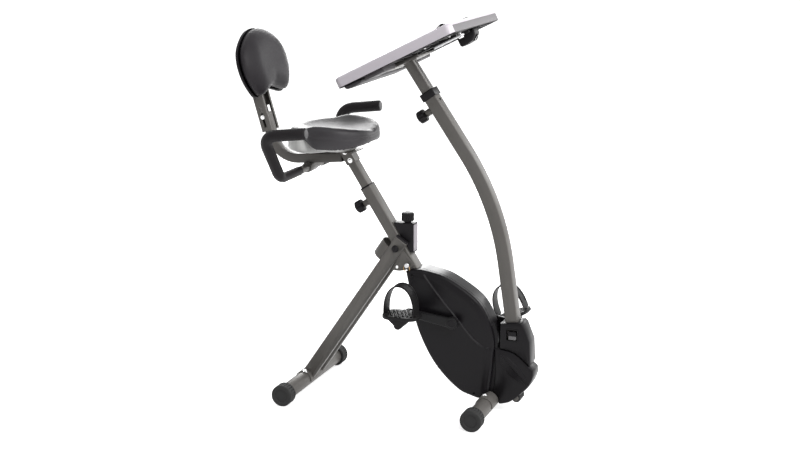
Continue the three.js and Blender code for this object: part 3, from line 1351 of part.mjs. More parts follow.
function frontCover() {
  const outline = coverOutline().reverse();
  const outer = slab(outline, -coverHalfWidth, coverHalfWidth, coverRound, 2);
  const innerHalf = coverHalfWidth - plasticWall;
  const inner = slab(drawnIn(outline, plasticWall), -innerHalf, innerHalf, coverRound);
  const footRoom = crossRod(at(frontFootX, capRadius), -everything, everything,
    floorBarRadius + saddleThickness + gap * 4, wheelSides);
  const rollerRoom = crossRod(at(rollerX, rollerZ), -rollerHalfLength - lugThickness - gap * 6,
    rollerHalfLength + lugThickness + gap * 6, rollerRadius + gap * 8, roundSides);
  const postRoom = slab(barOutline(step(postBase, baseDown, -overrun), step(postFoot, baseDown, deskPostSize),
    deskPostSize + gap * 6), -deskPostWidth / 2 - gap * 3, deskPostWidth / 2 + gap * 3);
  const below = box(-everything, everything, -everything, everything, 0, coverBottomZ);
  return cut(outer.subtract(inner), [footRoom, rollerRoom, postRoom, armRoom(), below, housingRoom()]);
}
addPiece('front_cover', frontCover(), blackPlastic);

// Foot cover: closes round the desk post above the front covers
const footCoverShares = [[0.92, -0.42], [0.888, 0.315], [0.71, 0.9], [0.648, 0.967], [0.12, 0.87]];

function footCover() {
  const seam = new THREE.SplineCurve(seamShares.map(coverSpot)).getSpacedPoints(7)
    .map((point) => at(point.x, point.y + footCoverSeam));
  const spot = ([x, rise]) => at(coverBackX + coverReach * x, coverTopZ + rise * footCoverHeight);
  const outline = [...seam, ...footCoverShares.map(spot)];
  const outer = slab(outline, -coverHalfWidth, coverHalfWidth, coverRound, 2);
  const innerHalf = coverHalfWidth - plasticWall;
  const inner = slab(drawnIn(outline, plasticWall), -innerHalf, innerHalf, coverRound);
  const postRoom = slab(barOutline(step(postBase, baseDown, -footCoverHeight), step(postFoot, baseDown, deskPostSize),
    deskPostSize + gap * 2), -deskPostWidth / 2 - gap, deskPostWidth / 2 + gap);
  const window = box(windowX, windowX + windowWidth, -coverHalfWidth - overrun, -coverHalfWidth + plasticWall * 2,
    windowZ, windowZ + windowHeight);
  return cut(outer.subtract(inner), [postRoom, window, housingRoom()]);
}
addPiece('foot_cover', footCover(), blackPlastic);

// Crank axle, bearings, arms with their spindles, drive pulley and belt
addPiece('crank_axle', crossRod(crankCentre, -armInnerY - armThickness + gap, armInnerY + armThickness - gap,
  crankAxleRadius, roundSides), chromeFinish);

function bearing(name, hand) {
  const outside = hand * (crankShellHalfLength - gap);
  const inside = outside - hand * bearingWidth;
  const [low, high] = [Math.min(outside, inside), Math.max(outside, inside)];
  addPiece(name, cut(crossRod(crankCentre, low, high, bearingRadius, roundSides),
    [crossRod(crankCentre, low - overrun, high + overrun, crankAxleRadius + gap, roundSides)]), chromeFinish);
}
bearing('crank_bearing_right', -1);
bearing('crank_bearing_left', 1);

function crankArm(hand) {
  const far = at(crankCentre.x - hand * crankSpanX, crankCentre.y - hand * crankSpanZ);
  const direction = far.clone().sub(crankCentre).normalize();
  const [low, high] = hand > 0 ? [armInnerY, armInnerY + armThickness] : [-armInnerY - armThickness, -armInnerY];
  const facing = Math.atan2(direction.y, direction.x);
  const outline = [
    ...arc(crankCentre, armBossRadius, facing + Math.PI / 2, facing + Math.PI * 3 / 2, 8),
    ...arc(far, armEndRadius, facing - Math.PI / 2, facing + Math.PI / 2, 8),
  ];
  const slim = slab(outline, low, high, 2);
  const spindleEnd = hand * (armInnerY + armThickness + pedalGap + pedalWidth);
  const spindleStart = hand * (armInnerY + armThickness / 2);
  const spindle = crossRod(far, Math.min(spindleStart, spindleEnd), Math.max(spindleStart, spindleEnd), spindleRadius, roundSides);
  return cut(slim, [crossRod(crankCentre, -everything, everything, crankAxleRadius + gap, roundSides)]).add(spindle);
}
addPiece('crank_arm_right', crankArm(-1), blackPlastic);
addPiece('crank_arm_left', crankArm(1), blackPlastic);

function drivePulley() {
  const half = beltWidth / 2;
  const hub = crankAxleRadius + gap;
  const web = half / 2;
  const profile = [
    [hub, -half], [hub * 2, -web], [drivePulleyRadius - pulleyRim, -web],
    [drivePulleyRadius - pulleyRim, -half], [drivePulleyRadius, -half], [drivePulleyRadius, half],
    [drivePulleyRadius - pulleyRim, half], [drivePulleyRadius - pulleyRim, web], [hub * 2, web],
    [hub, half], [hub, -half],
  ];
  return turnedPiece(profile, space(crankCentre, beltPlaneY), acrossY, wheelSides);
}
addPiece('drive_pulley', drivePulley(), blackPlastic);

// The belt's outline: two arcs joined by the outer tangents
function beltLoop(extra) {
  const line = flywheelCentre.clone().sub(crankCentre);
  const facing = Math.atan2(line.y, line.x);
  const lean = Math.asin((drivePulleyRadius - smallPulleyRadius) / line.length());
  const big = drivePulleyRadius + extra;
  const small = smallPulleyRadius + extra;
  return [
    ...arc(crankCentre, big, facing + Math.PI / 2 - lean, facing + Math.PI * 3 / 2 + lean, 30),
    ...arc(flywheelCentre, small, facing - Math.PI / 2 + lean, facing + Math.PI / 2 - lean, 10),
  ];
}
addPiece('drive_belt', cut(
  slab(beltLoop(gap + beltThickness), beltPlaneY - beltWidth / 2, beltPlaneY + beltWidth / 2),
  [slab(beltLoop(gap), beltPlaneY - beltWidth, beltPlaneY + beltWidth)]), rubberFinish);

// Flywheel with its shaft and small pulley in one turned piece
function flywheel() {
  const half = flywheelWidth / 2;
  const rim = pulleyRim * 2;
  const web = half / 3;
  const smallHalf = beltWidth / 2;
  const start = beltPlaneY - smallHalf;
  const profile = [
    [0, start], [smallPulleyRadius, start], [smallPulleyRadius, start + beltWidth], [axleRadius, start + beltWidth],
    [axleRadius, flywheelY - half], [axleRadius * 3, flywheelY - half], [axleRadius * 3, flywheelY - web],
    [flywheelRadius - rim, flywheelY - web], [flywheelRadius - rim, flywheelY - half],
    [flywheelRadius, flywheelY - half], [flywheelRadius, flywheelY + half], [flywheelRadius - rim, flywheelY + half],
    [flywheelRadius - rim, flywheelY + web], [axleRadius * 3, flywheelY + web], [axleRadius * 3, flywheelY + half],
    [0, flywheelY + half],
  ];
  return turnedPiece(profile, space(flywheelCentre, 0), acrossY, wheelSides);
}
addPiece('flywheel', flywheel(), ironFinish);

// Brake magnet arm: a curved shoe that swings on a pin beside the tube
function magnetArm() {
  const half = flywheelWidth / 2;
  const outer = magnetArmRadius + magnetArmThickness / 2;
  const inner = magnetArmRadius - magnetArmThickness / 2;
  const shoe = slab([...arc(flywheelCentre, outer, magnetArmStart, magnetArmEnd, 14),
    ...arc(flywheelCentre, inner, magnetArmEnd, magnetArmStart, 14)], flywheelY - half, flywheelY + half);
  const eye = crossRod(magnetPin, flywheelY - half, flywheelY + half, magnetEyeRadius, roundSides);
  const wheelRoom = crossRod(flywheelCentre, flywheelY - flywheelWidth, flywheelY + flywheelWidth,
    flywheelRadius + gap * 4, wheelSides * 2);
  return cut(joined([shoe, eye]), [wheelRoom,
    crossRod(magnetPin, flywheelY - flywheelWidth, flywheelY + flywheelWidth, magnetPinRadius + gap, holeSides)]);
}
addPiece('magnet_arm', magnetArm(), ironFinish);

// Pedals: a platform over the spindle, a keel under it, and a strap arch, all turned about the spindle
function pedal(side, hand, tilt) {
  const centre = at(crankCentre.x - hand * crankSpanX, crankCentre.y - hand * crankSpanZ);
  const inside = armInnerY + armThickness + pedalGap;
  const outside = inside + pedalWidth;
  const [low, high] = hand > 0 ? [inside, outside] : [-outside, -inside];
  const spot = (forward, rise) => at(forward, rise).rotateAround(at(0, 0), tilt).add(centre);
  const half = pedalLength / 2;
  const corner = pedalWidth * 0.36;
  const plan = [[1, 1, 0], [-1, 1, 1], [-1, -1, 2], [1, -1, 3]].flatMap(([sx, sy, quarter]) => arc(
    at(sx * (half - corner), sy * (pedalWidth / 2 - corner)), corner,
    quarter * Math.PI / 2, (quarter + 1) * Math.PI / 2, 5));
  const round = platformThickness / 4;
  const plate = new THREE.ExtrudeGeometry(new THREE.Shape(plan), {
    depth: platformThickness - round * 2, steps: 1, bevelEnabled: true,
    bevelThickness: round, bevelSize: round, bevelOffset: -round, bevelSegments: 1,
  });
  plate.translate(0, (low + high) / 2, platformRise + round);
  plate.rotateY(-tilt);
  plate.translate(centre.x, 0, centre.y);
  const keelTop = platformRise + platformThickness / 2;
  const keel = slab([spot(-keelTopHalf, keelTop),
    ...arc(at(0, keelFootRadius - keelDepth), keelFootRadius, -Math.PI, 0, 8).map((point) => spot(point.x, point.y)),
    spot(keelTopHalf, keelTop)], low + plasticWall, high - plasticWall, 2);
  const spindleHole = crossRod(centre, low - overrun, high + overrun, spindleRadius + gap, roundSides);
  addPiece(`pedal_${side}`, cut(joined([solidOf(plate), keel]), [spindleHole]), rubberFinish);
  const strapMiddle = hand * (outside - strapFromOutside);
  const seat = platformRise + platformThickness + gap;
  const arch = (extra) => Array.from({ length: strapSteps + 1 }, (_, i) => {
    const angle = (i / strapSteps) * Math.PI;
    return spot(Math.cos(angle) * (strapHalfSpan + extra),
      seat + Math.max(Math.sin(angle), 0) ** strapArchPower * (strapHeight + extra));
  });
  addPiece(`pedal_strap_${side}`, slab([...arch(0), ...arch(-strapThickness).reverse()],
    strapMiddle - strapWidth / 2, strapMiddle + strapWidth / 2), rubberFinish);
}
pedal('right', -1, 0);
pedal('left', 1, farPedalTilt);

// The origin is the middle of the object's footprint, on the floor
const bounds = new THREE.Box3().setFromObject(group);
group.position.set(-(bounds.min.x + bounds.max.x) / 2, -(bounds.min.y + bounds.max.y) / 2, -bounds.min.z);
group.updateMatrixWorld(true);

export default group;
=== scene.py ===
"""Looks of a folding exercise bike with a desk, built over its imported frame."""

import logging
import math
from dataclasses import dataclass, field
from enum import Enum
from typing import Callable, Iterable, Sequence

import bmesh
import bpy
import numpy as np
from mathutils import Matrix, Vector
from mathutils.geometry import delaunay_2d_cdt
from mathutils.kdtree import KDTree


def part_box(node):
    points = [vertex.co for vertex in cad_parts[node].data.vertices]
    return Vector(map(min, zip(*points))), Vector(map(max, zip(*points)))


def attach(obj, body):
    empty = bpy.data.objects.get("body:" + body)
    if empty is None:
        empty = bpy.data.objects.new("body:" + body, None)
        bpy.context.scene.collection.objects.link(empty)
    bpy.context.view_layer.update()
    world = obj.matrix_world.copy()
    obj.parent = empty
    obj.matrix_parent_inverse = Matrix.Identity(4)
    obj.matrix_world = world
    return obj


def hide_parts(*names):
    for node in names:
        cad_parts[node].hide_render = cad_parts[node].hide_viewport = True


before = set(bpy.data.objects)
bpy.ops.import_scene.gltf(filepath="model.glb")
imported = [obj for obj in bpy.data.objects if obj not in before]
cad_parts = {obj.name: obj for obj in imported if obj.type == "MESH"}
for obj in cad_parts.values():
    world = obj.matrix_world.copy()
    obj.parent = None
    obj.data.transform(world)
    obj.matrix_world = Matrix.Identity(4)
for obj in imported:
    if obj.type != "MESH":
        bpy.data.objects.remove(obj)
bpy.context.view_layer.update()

logging.basicConfig(level=logging.INFO, format="%(message)s")
log = logging.getLogger("bike")

Pair = tuple[float, float]
Ring = list[Vector]
Mark = tuple[Vector, Vector]
Piece = bpy.types.Object
Tree = bpy.types.NodeTree
Socket = bpy.types.NodeSocket

FRONT_FOOT_X = 0.3115
UP = Vector((0.0, 0.0, 1.0))
ACROSS = Vector((0.0, 1.0, 0.0))
FORWARD = Vector((1.0, 0.0, 0.0))
CLEARANCE = 0.0003
CORE = 0.0003


def frame_shift() -> float:
    """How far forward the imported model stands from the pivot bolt's plane.

    Returns:
        The shift along X in metres, read from the front stabilizer.
    """
    low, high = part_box("front_stabilizer")
    return (low.x + high.x) / 2 - FRONT_FOOT_X


SHIFT = frame_shift()


def place(x: float, y: float, z: float) -> Vector:
    """A point from the pivot's plane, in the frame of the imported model."""
    return Vector((x + SHIFT, y, z))


# Directions and lines


@dataclass(frozen=True)
class Axes:
    """A place with three directions that a form is built along."""

    origin: Vector
    u: Vector
    v: Vector
    w: Vector

    def spot(self, a: float, b: float, c: float = 0.0) -> Vector:
        """The point at distances a, b and c along the three directions."""
        return self.origin + self.u * a + self.v * b + self.w * c


def axes_about(origin: Vector, axis: Vector) -> Axes:
    """Axes whose third direction is the given one.

    Args:
        origin: Where the axes start.
        axis: The third direction.

    Returns:
        The axes, right-handed.
    """
    w = axis.normalized()
    start = ACROSS if abs(w.y) < 0.9 else UP
    u = start.cross(w).normalized()
    return Axes(origin, u, w.cross(u), w)


SIDE = Axes(place(0.0, 0.0, 0.0), FORWARD, UP, ACROSS)
ORIGIN = Axes(Vector((0.0, 0.0, 0.0)), FORWARD, ACROSS, UP)

Levels = tuple[float, float, float, float]


def turn_of(axes: Axes) -> tuple[float, float, float]:
    """The turn that lays a form's own three directions along the axes."""
    return tuple(Matrix((axes.u, axes.v, axes.w)).transposed().to_euler())


def leaning(angle: float) -> Pair:
    """The side-view direction that points up and back by an angle in degrees."""
    turn = math.radians(angle)
    return -math.sin(turn), math.cos(turn)


def arc(centre: Pair, radius: float, start: float, end: float, count: int) -> list[Pair]:
    """Points along an arc, with the angles in radians."""
    turns = [start + (end - start) * i / count for i in range(count + 1)]
    return [(centre[0] + math.cos(t) * radius, centre[1] + math.sin(t) * radius) for t in turns]


def rounded_box(width: float, height: float, radius: float, steps: int = 5) -> list[Pair]:
    """The outline of a rectangle with round corners about the origin.

    Args:
        width: Its size along the first direction.
        height: Its size along the second.
        radius: The corners' radius.
        steps: Spans in each corner.

    Returns:
        The outline, anticlockwise.
    """
    corners = ((1, 1, 0), (-1, 1, 1), (-1, -1, 2), (1, -1, 3))
    points: list[Pair] = []
    for sx, sy, quarter in corners:
        centre = (sx * (width / 2 - radius), sy * (height / 2 - radius))
        points += arc(centre, radius, quarter * math.pi / 2, (quarter + 1) * math.pi / 2, steps)
    return points


def smooth_line(points: Sequence[Pair], count: int, closed: bool = False) -> list[Pair]:
    """Evenly spaced points on a smooth curve through the given ones.

    Args:
        points: The points that the curve passes through.
        count: How many points come back.
        closed: Whether the curve returns to its start.

    Returns:
        The points, without a repeat of the first one.
    """
    given = np.array(points, float)
    if closed:
        padded = np.vstack([given[-1], given, given[:2]])
    else:
        padded = np.vstack([given[0] * 2 - given[1], given, given[-1] * 2 - given[-2]])
    shares = np.linspace(0, 1, 16, endpoint=False)[:, None]
    runs = []
    for p0, p1, p2, p3 in zip(padded, padded[1:], padded[2:], padded[3:]):
        bend = (p2 - p0) * shares + (2 * p0 - 5 * p1 + 4 * p2 - p3) * shares**2
        runs.append(p1 + (bend + (3 * p1 - p0 - 3 * p2 + p3) * shares**3) / 2)
    dense = np.vstack(runs + [padded[-2][None]])
    along = np.concatenate([[0], np.cumsum(np.linalg.norm(np.diff(dense, axis=0), axis=1))])
    stops = np.linspace(0, along[-1], count, endpoint=not closed)
    return [(float(np.interp(s, along, dense[:, 0])), float(np.interp(s, along, dense[:, 1]))) for s in stops]


def signed_area(outline: Sequence[Pair]) -> float:
    """The area of an outline, positive where it runs anticlockwise.

    Args:
        outline: The outline.

    Returns:
        The area.
    """
    points = np.array(outline)
    following = np.roll(points, -1, axis=0)
    return float(np.sum(points[:, 0] * following[:, 1] - following[:, 0] * points[:, 1]) / 2)


def drawn_in(outline: Sequence[Pair], inset: float) -> list[Pair]:
    """The outline moved inwards by a distance, square to its edges.

    Args:
        outline: The outline.
        inset: How far it moves inwards.

    Returns:
        The smaller outline, with as many points.
    """
    if inset == 0.0:
        return list(outline)
    points = np.array(outline)
    before = points - np.roll(points, 1, axis=0)
    after = np.roll(points, -1, axis=0) - points
    before /= np.linalg.norm(before, axis=1)[:, None]
    after /= np.linalg.norm(after, axis=1)[:, None]
    tangent = before + after
    tangent /= np.linalg.norm(tangent, axis=1)[:, None]
    normal = np.stack([-tangent[:, 1], tangent[:, 0]], axis=1) * math.copysign(1.0, signed_area(outline))
    stretch = np.clip(np.abs(np.sum(tangent * after, axis=1)), 0.5, 1.0)
    return [tuple(point) for point in (points + normal * (inset / stretch)[:, None]).tolist()]


# Forms


@dataclass
class Surface:
    """Points and faces of one or more closed forms."""

    points: list[Vector] = field(default_factory=list)
    faces: list[tuple[int, ...]] = field(default_factory=list)

    def add(self, other: "Surface") -> "Surface":
        """Takes in another surface beside this one.

        Args:
            other: The surface that is taken in.

        Returns:
            This surface.
        """
        start = len(self.points)
        self.points += other.points
        self.faces += [tuple(i + start for i in face) for face in other.faces]
        return self


def together(surfaces: Iterable[Surface]) -> Surface:
    """One surface that holds several.

    Args:
        surfaces: The surfaces.

    Returns:
        The one surface.
    """
    whole = Surface()
    for surface in surfaces:
        whole.add(surface)
    return whole


def ringed(rings: Sequence[Ring], looped: bool = False) -> Surface:
    """A form skinned over rings of points.

    Args:
        rings: Rings with the same number of points each.
        looped: Whether the last ring joins the first; otherwise both ends are closed.

    Returns:
        The closed form.
    """
    count = len(rings[0])
    surface = Surface([point for ring in rings for point in ring])
    spans = len(rings) if looped else len(rings) - 1
    for r in range(spans):
        low, high = r * count, ((r + 1) % len(rings)) * count
        for i in range(count):
            j = (i + 1) % count
            surface.faces.append((low + i, low + j, high + j, high + i))
    if not looped:
        last = (len(rings) - 1) * count
        surface.faces.append(tuple(reversed(range(count))))
        surface.faces.append(tuple(range(last, last + count)))
    return surface


def edge_steps(low: float, high: float, low_round: float, high_round: float, steps: int) -> list[Pair]:
    """Pairs of inset and level that round the two edges of an extruded form.

    Args:
        low: The lower level.
        high: The higher level.
        low_round: The lower edge's radius.
        high_round: The higher edge's radius.
        steps: Spans round each edge.

    Returns:
        The pairs, from the lower level up.
    """
    pairs: list[Pair] = []
    for i in range(steps + 1 if low_round else 1):
        turn = i / steps * math.pi / 2 if low_round else 0.0
        pairs.append((low_round * (1 - math.sin(turn)), low + low_round * (1 - math.cos(turn))))
    for i in range(steps + 1 if high_round else 1):
        turn = (1 - i / steps) * math.pi / 2 if high_round else 0.0
        pairs.append((high_round * (1 - math.sin(turn)), high - high_round * (1 - math.cos(turn))))
    return pairs


def prism(
    axes: Axes,
    outline: Sequence[Pair],
    low: float,
    high: float,
    low_round: float = 0.0,
    high_round: float | None = None,
    steps: int = 4,
) -> Surface:
    """An outline made solid along the third direction, with rounded edges.

    Args:
        axes: The place and directions.
        outline: The outline along the first two directions.
        low: The lower level.
        high: The higher level.
        low_round: The edge radius at the lower level.
        high_round: The edge radius at the higher level, or the lower one's.
        steps: Faces round each edge.

    Returns:
        The closed form.
    """
    upper = low_round if high_round is None else high_round
    pairs = edge_steps(low, high, low_round, upper, steps)
    return ringed([[axes.spot(a, b, level) for a, b in drawn_in(outline, inset)] for inset, level in pairs])


def turned(axes: Axes, profile: Sequence[Pair], sides: int = 48, looped: bool = False) -> Surface:
    """A form turned about the third direction from pairs of radius and height.

    Args:
        axes: The place and directions.
        profile: Radius and height of each ring.
        sides: Points in each ring.
        looped: Whether the last ring joins the first.

    Returns:
        The closed form.
    """
    turns = [i / sides * math.tau for i in range(sides)]
    rings = [[axes.spot(r * math.cos(t), r * math.sin(t), h) for t in turns] for r, h in profile]
    return ringed(rings, looped)


def soft_disc(radius: float, low: float, high: float, edge: float, steps: int = 4) -> list[Pair]:
    """The profile of a disc with round edges, for turned().

    Args:
        radius: The disc's radius.
        low: Its lower level.
        high: Its higher level.
        edge: The radius of its edges.
        steps: Spans round each edge.

    Returns:
        Pairs of radius and height.
    """
    tiny = radius / 500
    pairs = edge_steps(low, high, edge, edge, steps)
    return [(tiny, low)] + [(radius - inset, level) for inset, level in pairs] + [(tiny, high)]


def rounded_path(corners: Sequence[Vector], radius: float, steps: int) -> Ring:
    """A path through corners in space, each of them rounded.

    Args:
        corners: The corners, with the path's two ends.
        radius: The bends' radius.
        steps: Spans in each bend.

    Returns:
        The path's points.
    """
    path = [corners[0]]
    for before, corner, after in zip(corners, corners[1:], corners[2:]):
        inward = (corner - before).normalized()
        outward = (after - corner).normalized()
        reach = radius * math.tan(inward.angle(outward) / 2)
        start, end = corner - inward * reach, corner + outward * reach
        for i in range(steps + 1):
            share = i / steps
            path.append(start.lerp(corner, share).lerp(corner.lerp(end, share), share))
    return path + [corners[-1]]


def swept(path: Sequence[Vector], section: Callable[[int], Sequence[Pair]]) -> Surface:
    """A section carried along a path without twist.

    Args:
        path: The middle line.
        section: The section's outline at each point of the path.

    Returns:
        The closed form.
    """
    tangents = [
        (path[min(i + 1, len(path) - 1)] - path[max(i - 1, 0)]).normalized() for i in range(len(path))
    ]
    start = UP if abs(tangents[0].y) > 0.5 else ACROSS
    normal = start.cross(tangents[0]).normalized()
    rings = []
    for i, point in enumerate(path):
        if i:
            normal = tangents[i - 1].rotation_difference(tangents[i]) @ normal
        side = tangents[i].cross(normal)
        rings.append([point + normal * a + side * b for a, b in section(i)])
    return ringed(rings)


def round_section(radius: float, sides: int = 28) -> list[Pair]:
    """A circle about the origin."""
    return arc((0.0, 0.0), radius, 0.0, math.tau * (1 - 1 / sides), sides - 1)


def rod(start: Vector, end: Vector, radius: float, edge: float = 0.0, sides: int = 32) -> Surface:
    """A round rod with softened ends."""
    axes = axes_about(start, end - start)
    return turned(axes, soft_disc(radius, 0.0, (end - start).length, edge), sides)


# Finishes


class Texture(Enum):
    """The relief of a finish."""

    SPECKLE = "speckle"
    HIDE = "hide"
    BRUSHED = "brushed"


@dataclass(frozen=True)
class Finish:
    """How a surface looks, with the name of its slot."""

    name: str
    slot: str
    color: tuple[float, float, float]
    roughness: float
    metallic: float = 0.0
    texture: Texture = Texture.SPECKLE
    grain: float = 1400.0
    relief: float = 0.00004
    mottle: float = 0.06
    shine: float = 0.5
    sheen: float = 0.0


PAINT = Finish(
    "satin paint", "frame_paint", (0.15, 0.142, 0.133), 0.42, 0.15, grain=1500, relief=0.00002, shine=0.25
)
BLACK_PAINT = Finish("black paint", "bar_paint", (0.012, 0.0115, 0.0125), 0.36, grain=1200, shine=0.16)
CHROME = Finish("chrome", "chrome", (0.44, 0.435, 0.43), 0.26, 1.0, grain=700, relief=0.00001, mottle=0.04)
HOUSING = Finish(
    "housing plastic", "housing", (0.0085, 0.0075, 0.009), 0.33, grain=1300, relief=0.00003, shine=0.15
)
PLASTIC = Finish("black plastic", "black_plastic", (0.011, 0.01, 0.0115), 0.44, relief=0.00005, shine=0.16)
TREAD = Finish(
    "pedal plastic", "pedal_rubber", (0.011, 0.0105, 0.011), 0.5, grain=1100, relief=0.00007, shine=0.16
)
RUBBER = Finish("rubber", "rubber", (0.0085, 0.0078, 0.0085), 0.6, grain=1000, relief=0.00008, shine=0.1)
DESK = Finish(
    "desk plastic", "desk_plastic", (0.78, 0.73, 0.79), 0.42, 0.05, grain=1600, relief=0.00003, mottle=0.03
)
GRIP_BAR = Finish(
    "grey moulding", "desk_plastic", (0.13, 0.123, 0.13), 0.5, grain=900, relief=0.00006, shine=0.15
)
DESK_FRONT = Finish(
    "grained desk edge", "desk_plastic", (0.2, 0.19, 0.2), 0.5, grain=900, relief=0.00008, mottle=0.03
)
LEATHER = Finish(
    "black leather", "leather", (0.015, 0.0125, 0.0155), 0.46,
    texture=Texture.HIDE, grain=620, relief=0.00007, mottle=0.1, shine=0.28, sheen=0.02,
)
# Lighter and shinier copy of the black leather, used on the seat only: a painted highlight that stands in for
# the brighter light on the seat's top.
SEAT_LEATHER_PAINTED_SHEEN = Finish(
    "seat leather painted lighter", "leather", (0.02, 0.0172, 0.0205), 0.42,
    texture=Texture.HIDE, grain=620, relief=0.00007, mottle=0.1, shine=0.5, sheen=0.03,
)
GRIP_END = Finish("sleeve end plug", "foam", (0.1, 0.097, 0.1), 0.5, grain=900)
WINDOW = Finish("window lining", "housing", (0.2, 0.195, 0.2), 0.5, grain=1100)
FOAM = Finish("foam sleeve", "foam", (0.012, 0.0102, 0.0115), 0.56, relief=0.0001, shine=0.18, sheen=0.03)
SEAT_SHELL = Finish("seat shell plastic", "seat_shell", (0.85, 0.85, 0.83), 0.34, grain=1200, relief=0.00003)
IRON = Finish("turned iron", "iron", (0.19, 0.19, 0.2), 0.4, 0.9, Texture.BRUSHED, 1500, 0.00003)
LEVER = Finish("brushed steel", "lever_steel", (0.5, 0.5, 0.51), 0.3, 1.0, Texture.BRUSHED, 1500, 0.00002)
BRONZE = Finish("bronze wire", "chrome", (0.42, 0.27, 0.13), 0.3, 1.0, grain=800, relief=0.00002)
TENSION_FACE = Finish("front plate plastic", "black_plastic", (0.34, 0.31, 0.345), 0.4, relief=0.00003)


def new_group(name: str) -> Tree:
    """An empty node group with the sockets that every relief shares.

    Args:
        name: The group's name.

    Returns:
        The group, without nodes.
    """
    group = bpy.data.node_groups.new(name, "ShaderNodeTree")
    for label, kind in (
        ("Color", "NodeSocketColor"),
        ("Roughness", "NodeSocketFloat"),
        ("Grain", "NodeSocketFloat"),
        ("Relief", "NodeSocketFloat"),
        ("Mottle", "NodeSocketFloat"),
    ):
        group.interface.new_socket(label, in_out="INPUT", socket_type=kind)
    group.interface.new_socket("Color", in_out="OUTPUT", socket_type="NodeSocketColor")
    group.interface.new_socket("Roughness", in_out="OUTPUT", socket_type="NodeSocketFloat")
    group.interface.new_socket("Normal", in_out="OUTPUT", socket_type="NodeSocketVector")
    return group


def calculation(group: Tree, kind: str, first: Socket | float, second: Socket | float) -> Socket:
    """A Math node fed by two sockets or numbers, and its result.

    Args:
        group: The tree that the node goes into.
        kind: Which operation it does.
        first: The first value.
        second: The second value.

    Returns:
        The socket with the result.
    """
    node = group.nodes.new("ShaderNodeMath")
    node.operation = kind
    for socket, value in zip(node.inputs, (first, second)):
        if isinstance(value, Socket):
            group.links.new(value, socket)
        else:
            socket.default_value = value
    return node.outputs[0]


CELL_SMOOTHNESS = 0.35
FOLD_SCALE, FOLD_DETAIL = 130.0, 4.0
BRUSH_STRETCH = (1.0, 0.03, 1.0)
GRAIN_DETAIL = 3.0
CLOUD_SCALE, CLOUD_DETAIL = 11.0, 5.0
MOTTLE_GAIN = 4.0
SPECK_SHARE = 0.12
BUMP_STRENGTH = 0.7


def grain_height(group: Tree, texture: Texture, vector: Socket, grain: Socket) -> Socket:
    """The height of a relief's grain.

    Args:
        group: The tree that the nodes go into.
        texture: Which relief it is.
        vector: The place on the piece.
        grain: How fine the grain is.

    Returns:
        The socket with the height.
    """
    if texture is Texture.HIDE:
        cells = group.nodes.new("ShaderNodeTexVoronoi")
        cells.feature = "SMOOTH_F1"
        cells.inputs["Smoothness"].default_value = CELL_SMOOTHNESS
        group.links.new(vector, cells.inputs["Vector"])
        group.links.new(grain, cells.inputs["Scale"])
        folds = group.nodes.new("ShaderNodeTexNoise")
        folds.inputs["Scale"].default_value = FOLD_SCALE
        folds.inputs["Detail"].default_value = FOLD_DETAIL
        group.links.new(vector, folds.inputs["Vector"])
        return calculation(group, "ADD", cells.outputs["Distance"], folds.outputs["Fac"])
    if texture is Texture.BRUSHED:
        stretch = group.nodes.new("ShaderNodeMapping")
        stretch.inputs["Scale"].default_value = BRUSH_STRETCH
        group.links.new(vector, stretch.inputs["Vector"])
        vector = stretch.outputs["Vector"]
    fine = group.nodes.new("ShaderNodeTexNoise")
    fine.inputs["Detail"].default_value = GRAIN_DETAIL
    group.links.new(vector, fine.inputs["Vector"])
    group.links.new(grain, fine.inputs["Scale"])
    return fine.outputs["Fac"]


def relief_group(texture: Texture) -> Tree:
    """The shared node group of one relief: mottled colour, uneven roughness and grain.

    Args:
        texture: Which relief it is.

    Returns:
        The group, made once.
    """
    name = f"{texture.value} relief"
    if name in bpy.data.node_groups:
        return bpy.data.node_groups[name]
    group = new_group(name)
    given = group.nodes.new("NodeGroupInput")
    result = group.nodes.new("NodeGroupOutput")
    vector = group.nodes.new("ShaderNodeTexCoord").outputs["Object"]
    cloud = group.nodes.new("ShaderNodeTexNoise")
    cloud.inputs["Scale"].default_value = CLOUD_SCALE
    cloud.inputs["Detail"].default_value = CLOUD_DETAIL
    group.links.new(vector, cloud.inputs["Vector"])
    swing = calculation(group, "SUBTRACT", cloud.outputs["Fac"], 0.5)
    drift = calculation(group, "MULTIPLY", swing, given.outputs["Mottle"])
    value = calculation(group, "MULTIPLY_ADD", drift, MOTTLE_GAIN)
    value.node.inputs[2].default_value = 1.0
    shade = group.nodes.new("ShaderNodeHueSaturation")
    group.links.new(given.outputs["Color"], shade.inputs["Color"])
    group.links.new(value, shade.inputs["Value"])
    height = grain_height(group, texture, vector, given.outputs["Grain"])
    raised = calculation(group, "SUBTRACT", height, 0.5)
    speck = calculation(group, "MULTIPLY", raised, SPECK_SHARE)
    rough = calculation(group, "ADD", calculation(group, "ADD", given.outputs["Roughness"], drift), speck)
    bump = group.nodes.new("ShaderNodeBump")
    bump.inputs["Strength"].default_value = BUMP_STRENGTH
    group.links.new(given.outputs["Relief"], bump.inputs["Distance"])
    group.links.new(height, bump.inputs["Height"])
    group.links.new(shade.outputs["Color"], result.inputs["Color"])
    group.links.new(rough, result.inputs["Roughness"])
    group.links.new(bump.outputs["Normal"], result.inputs["Normal"])
    return group


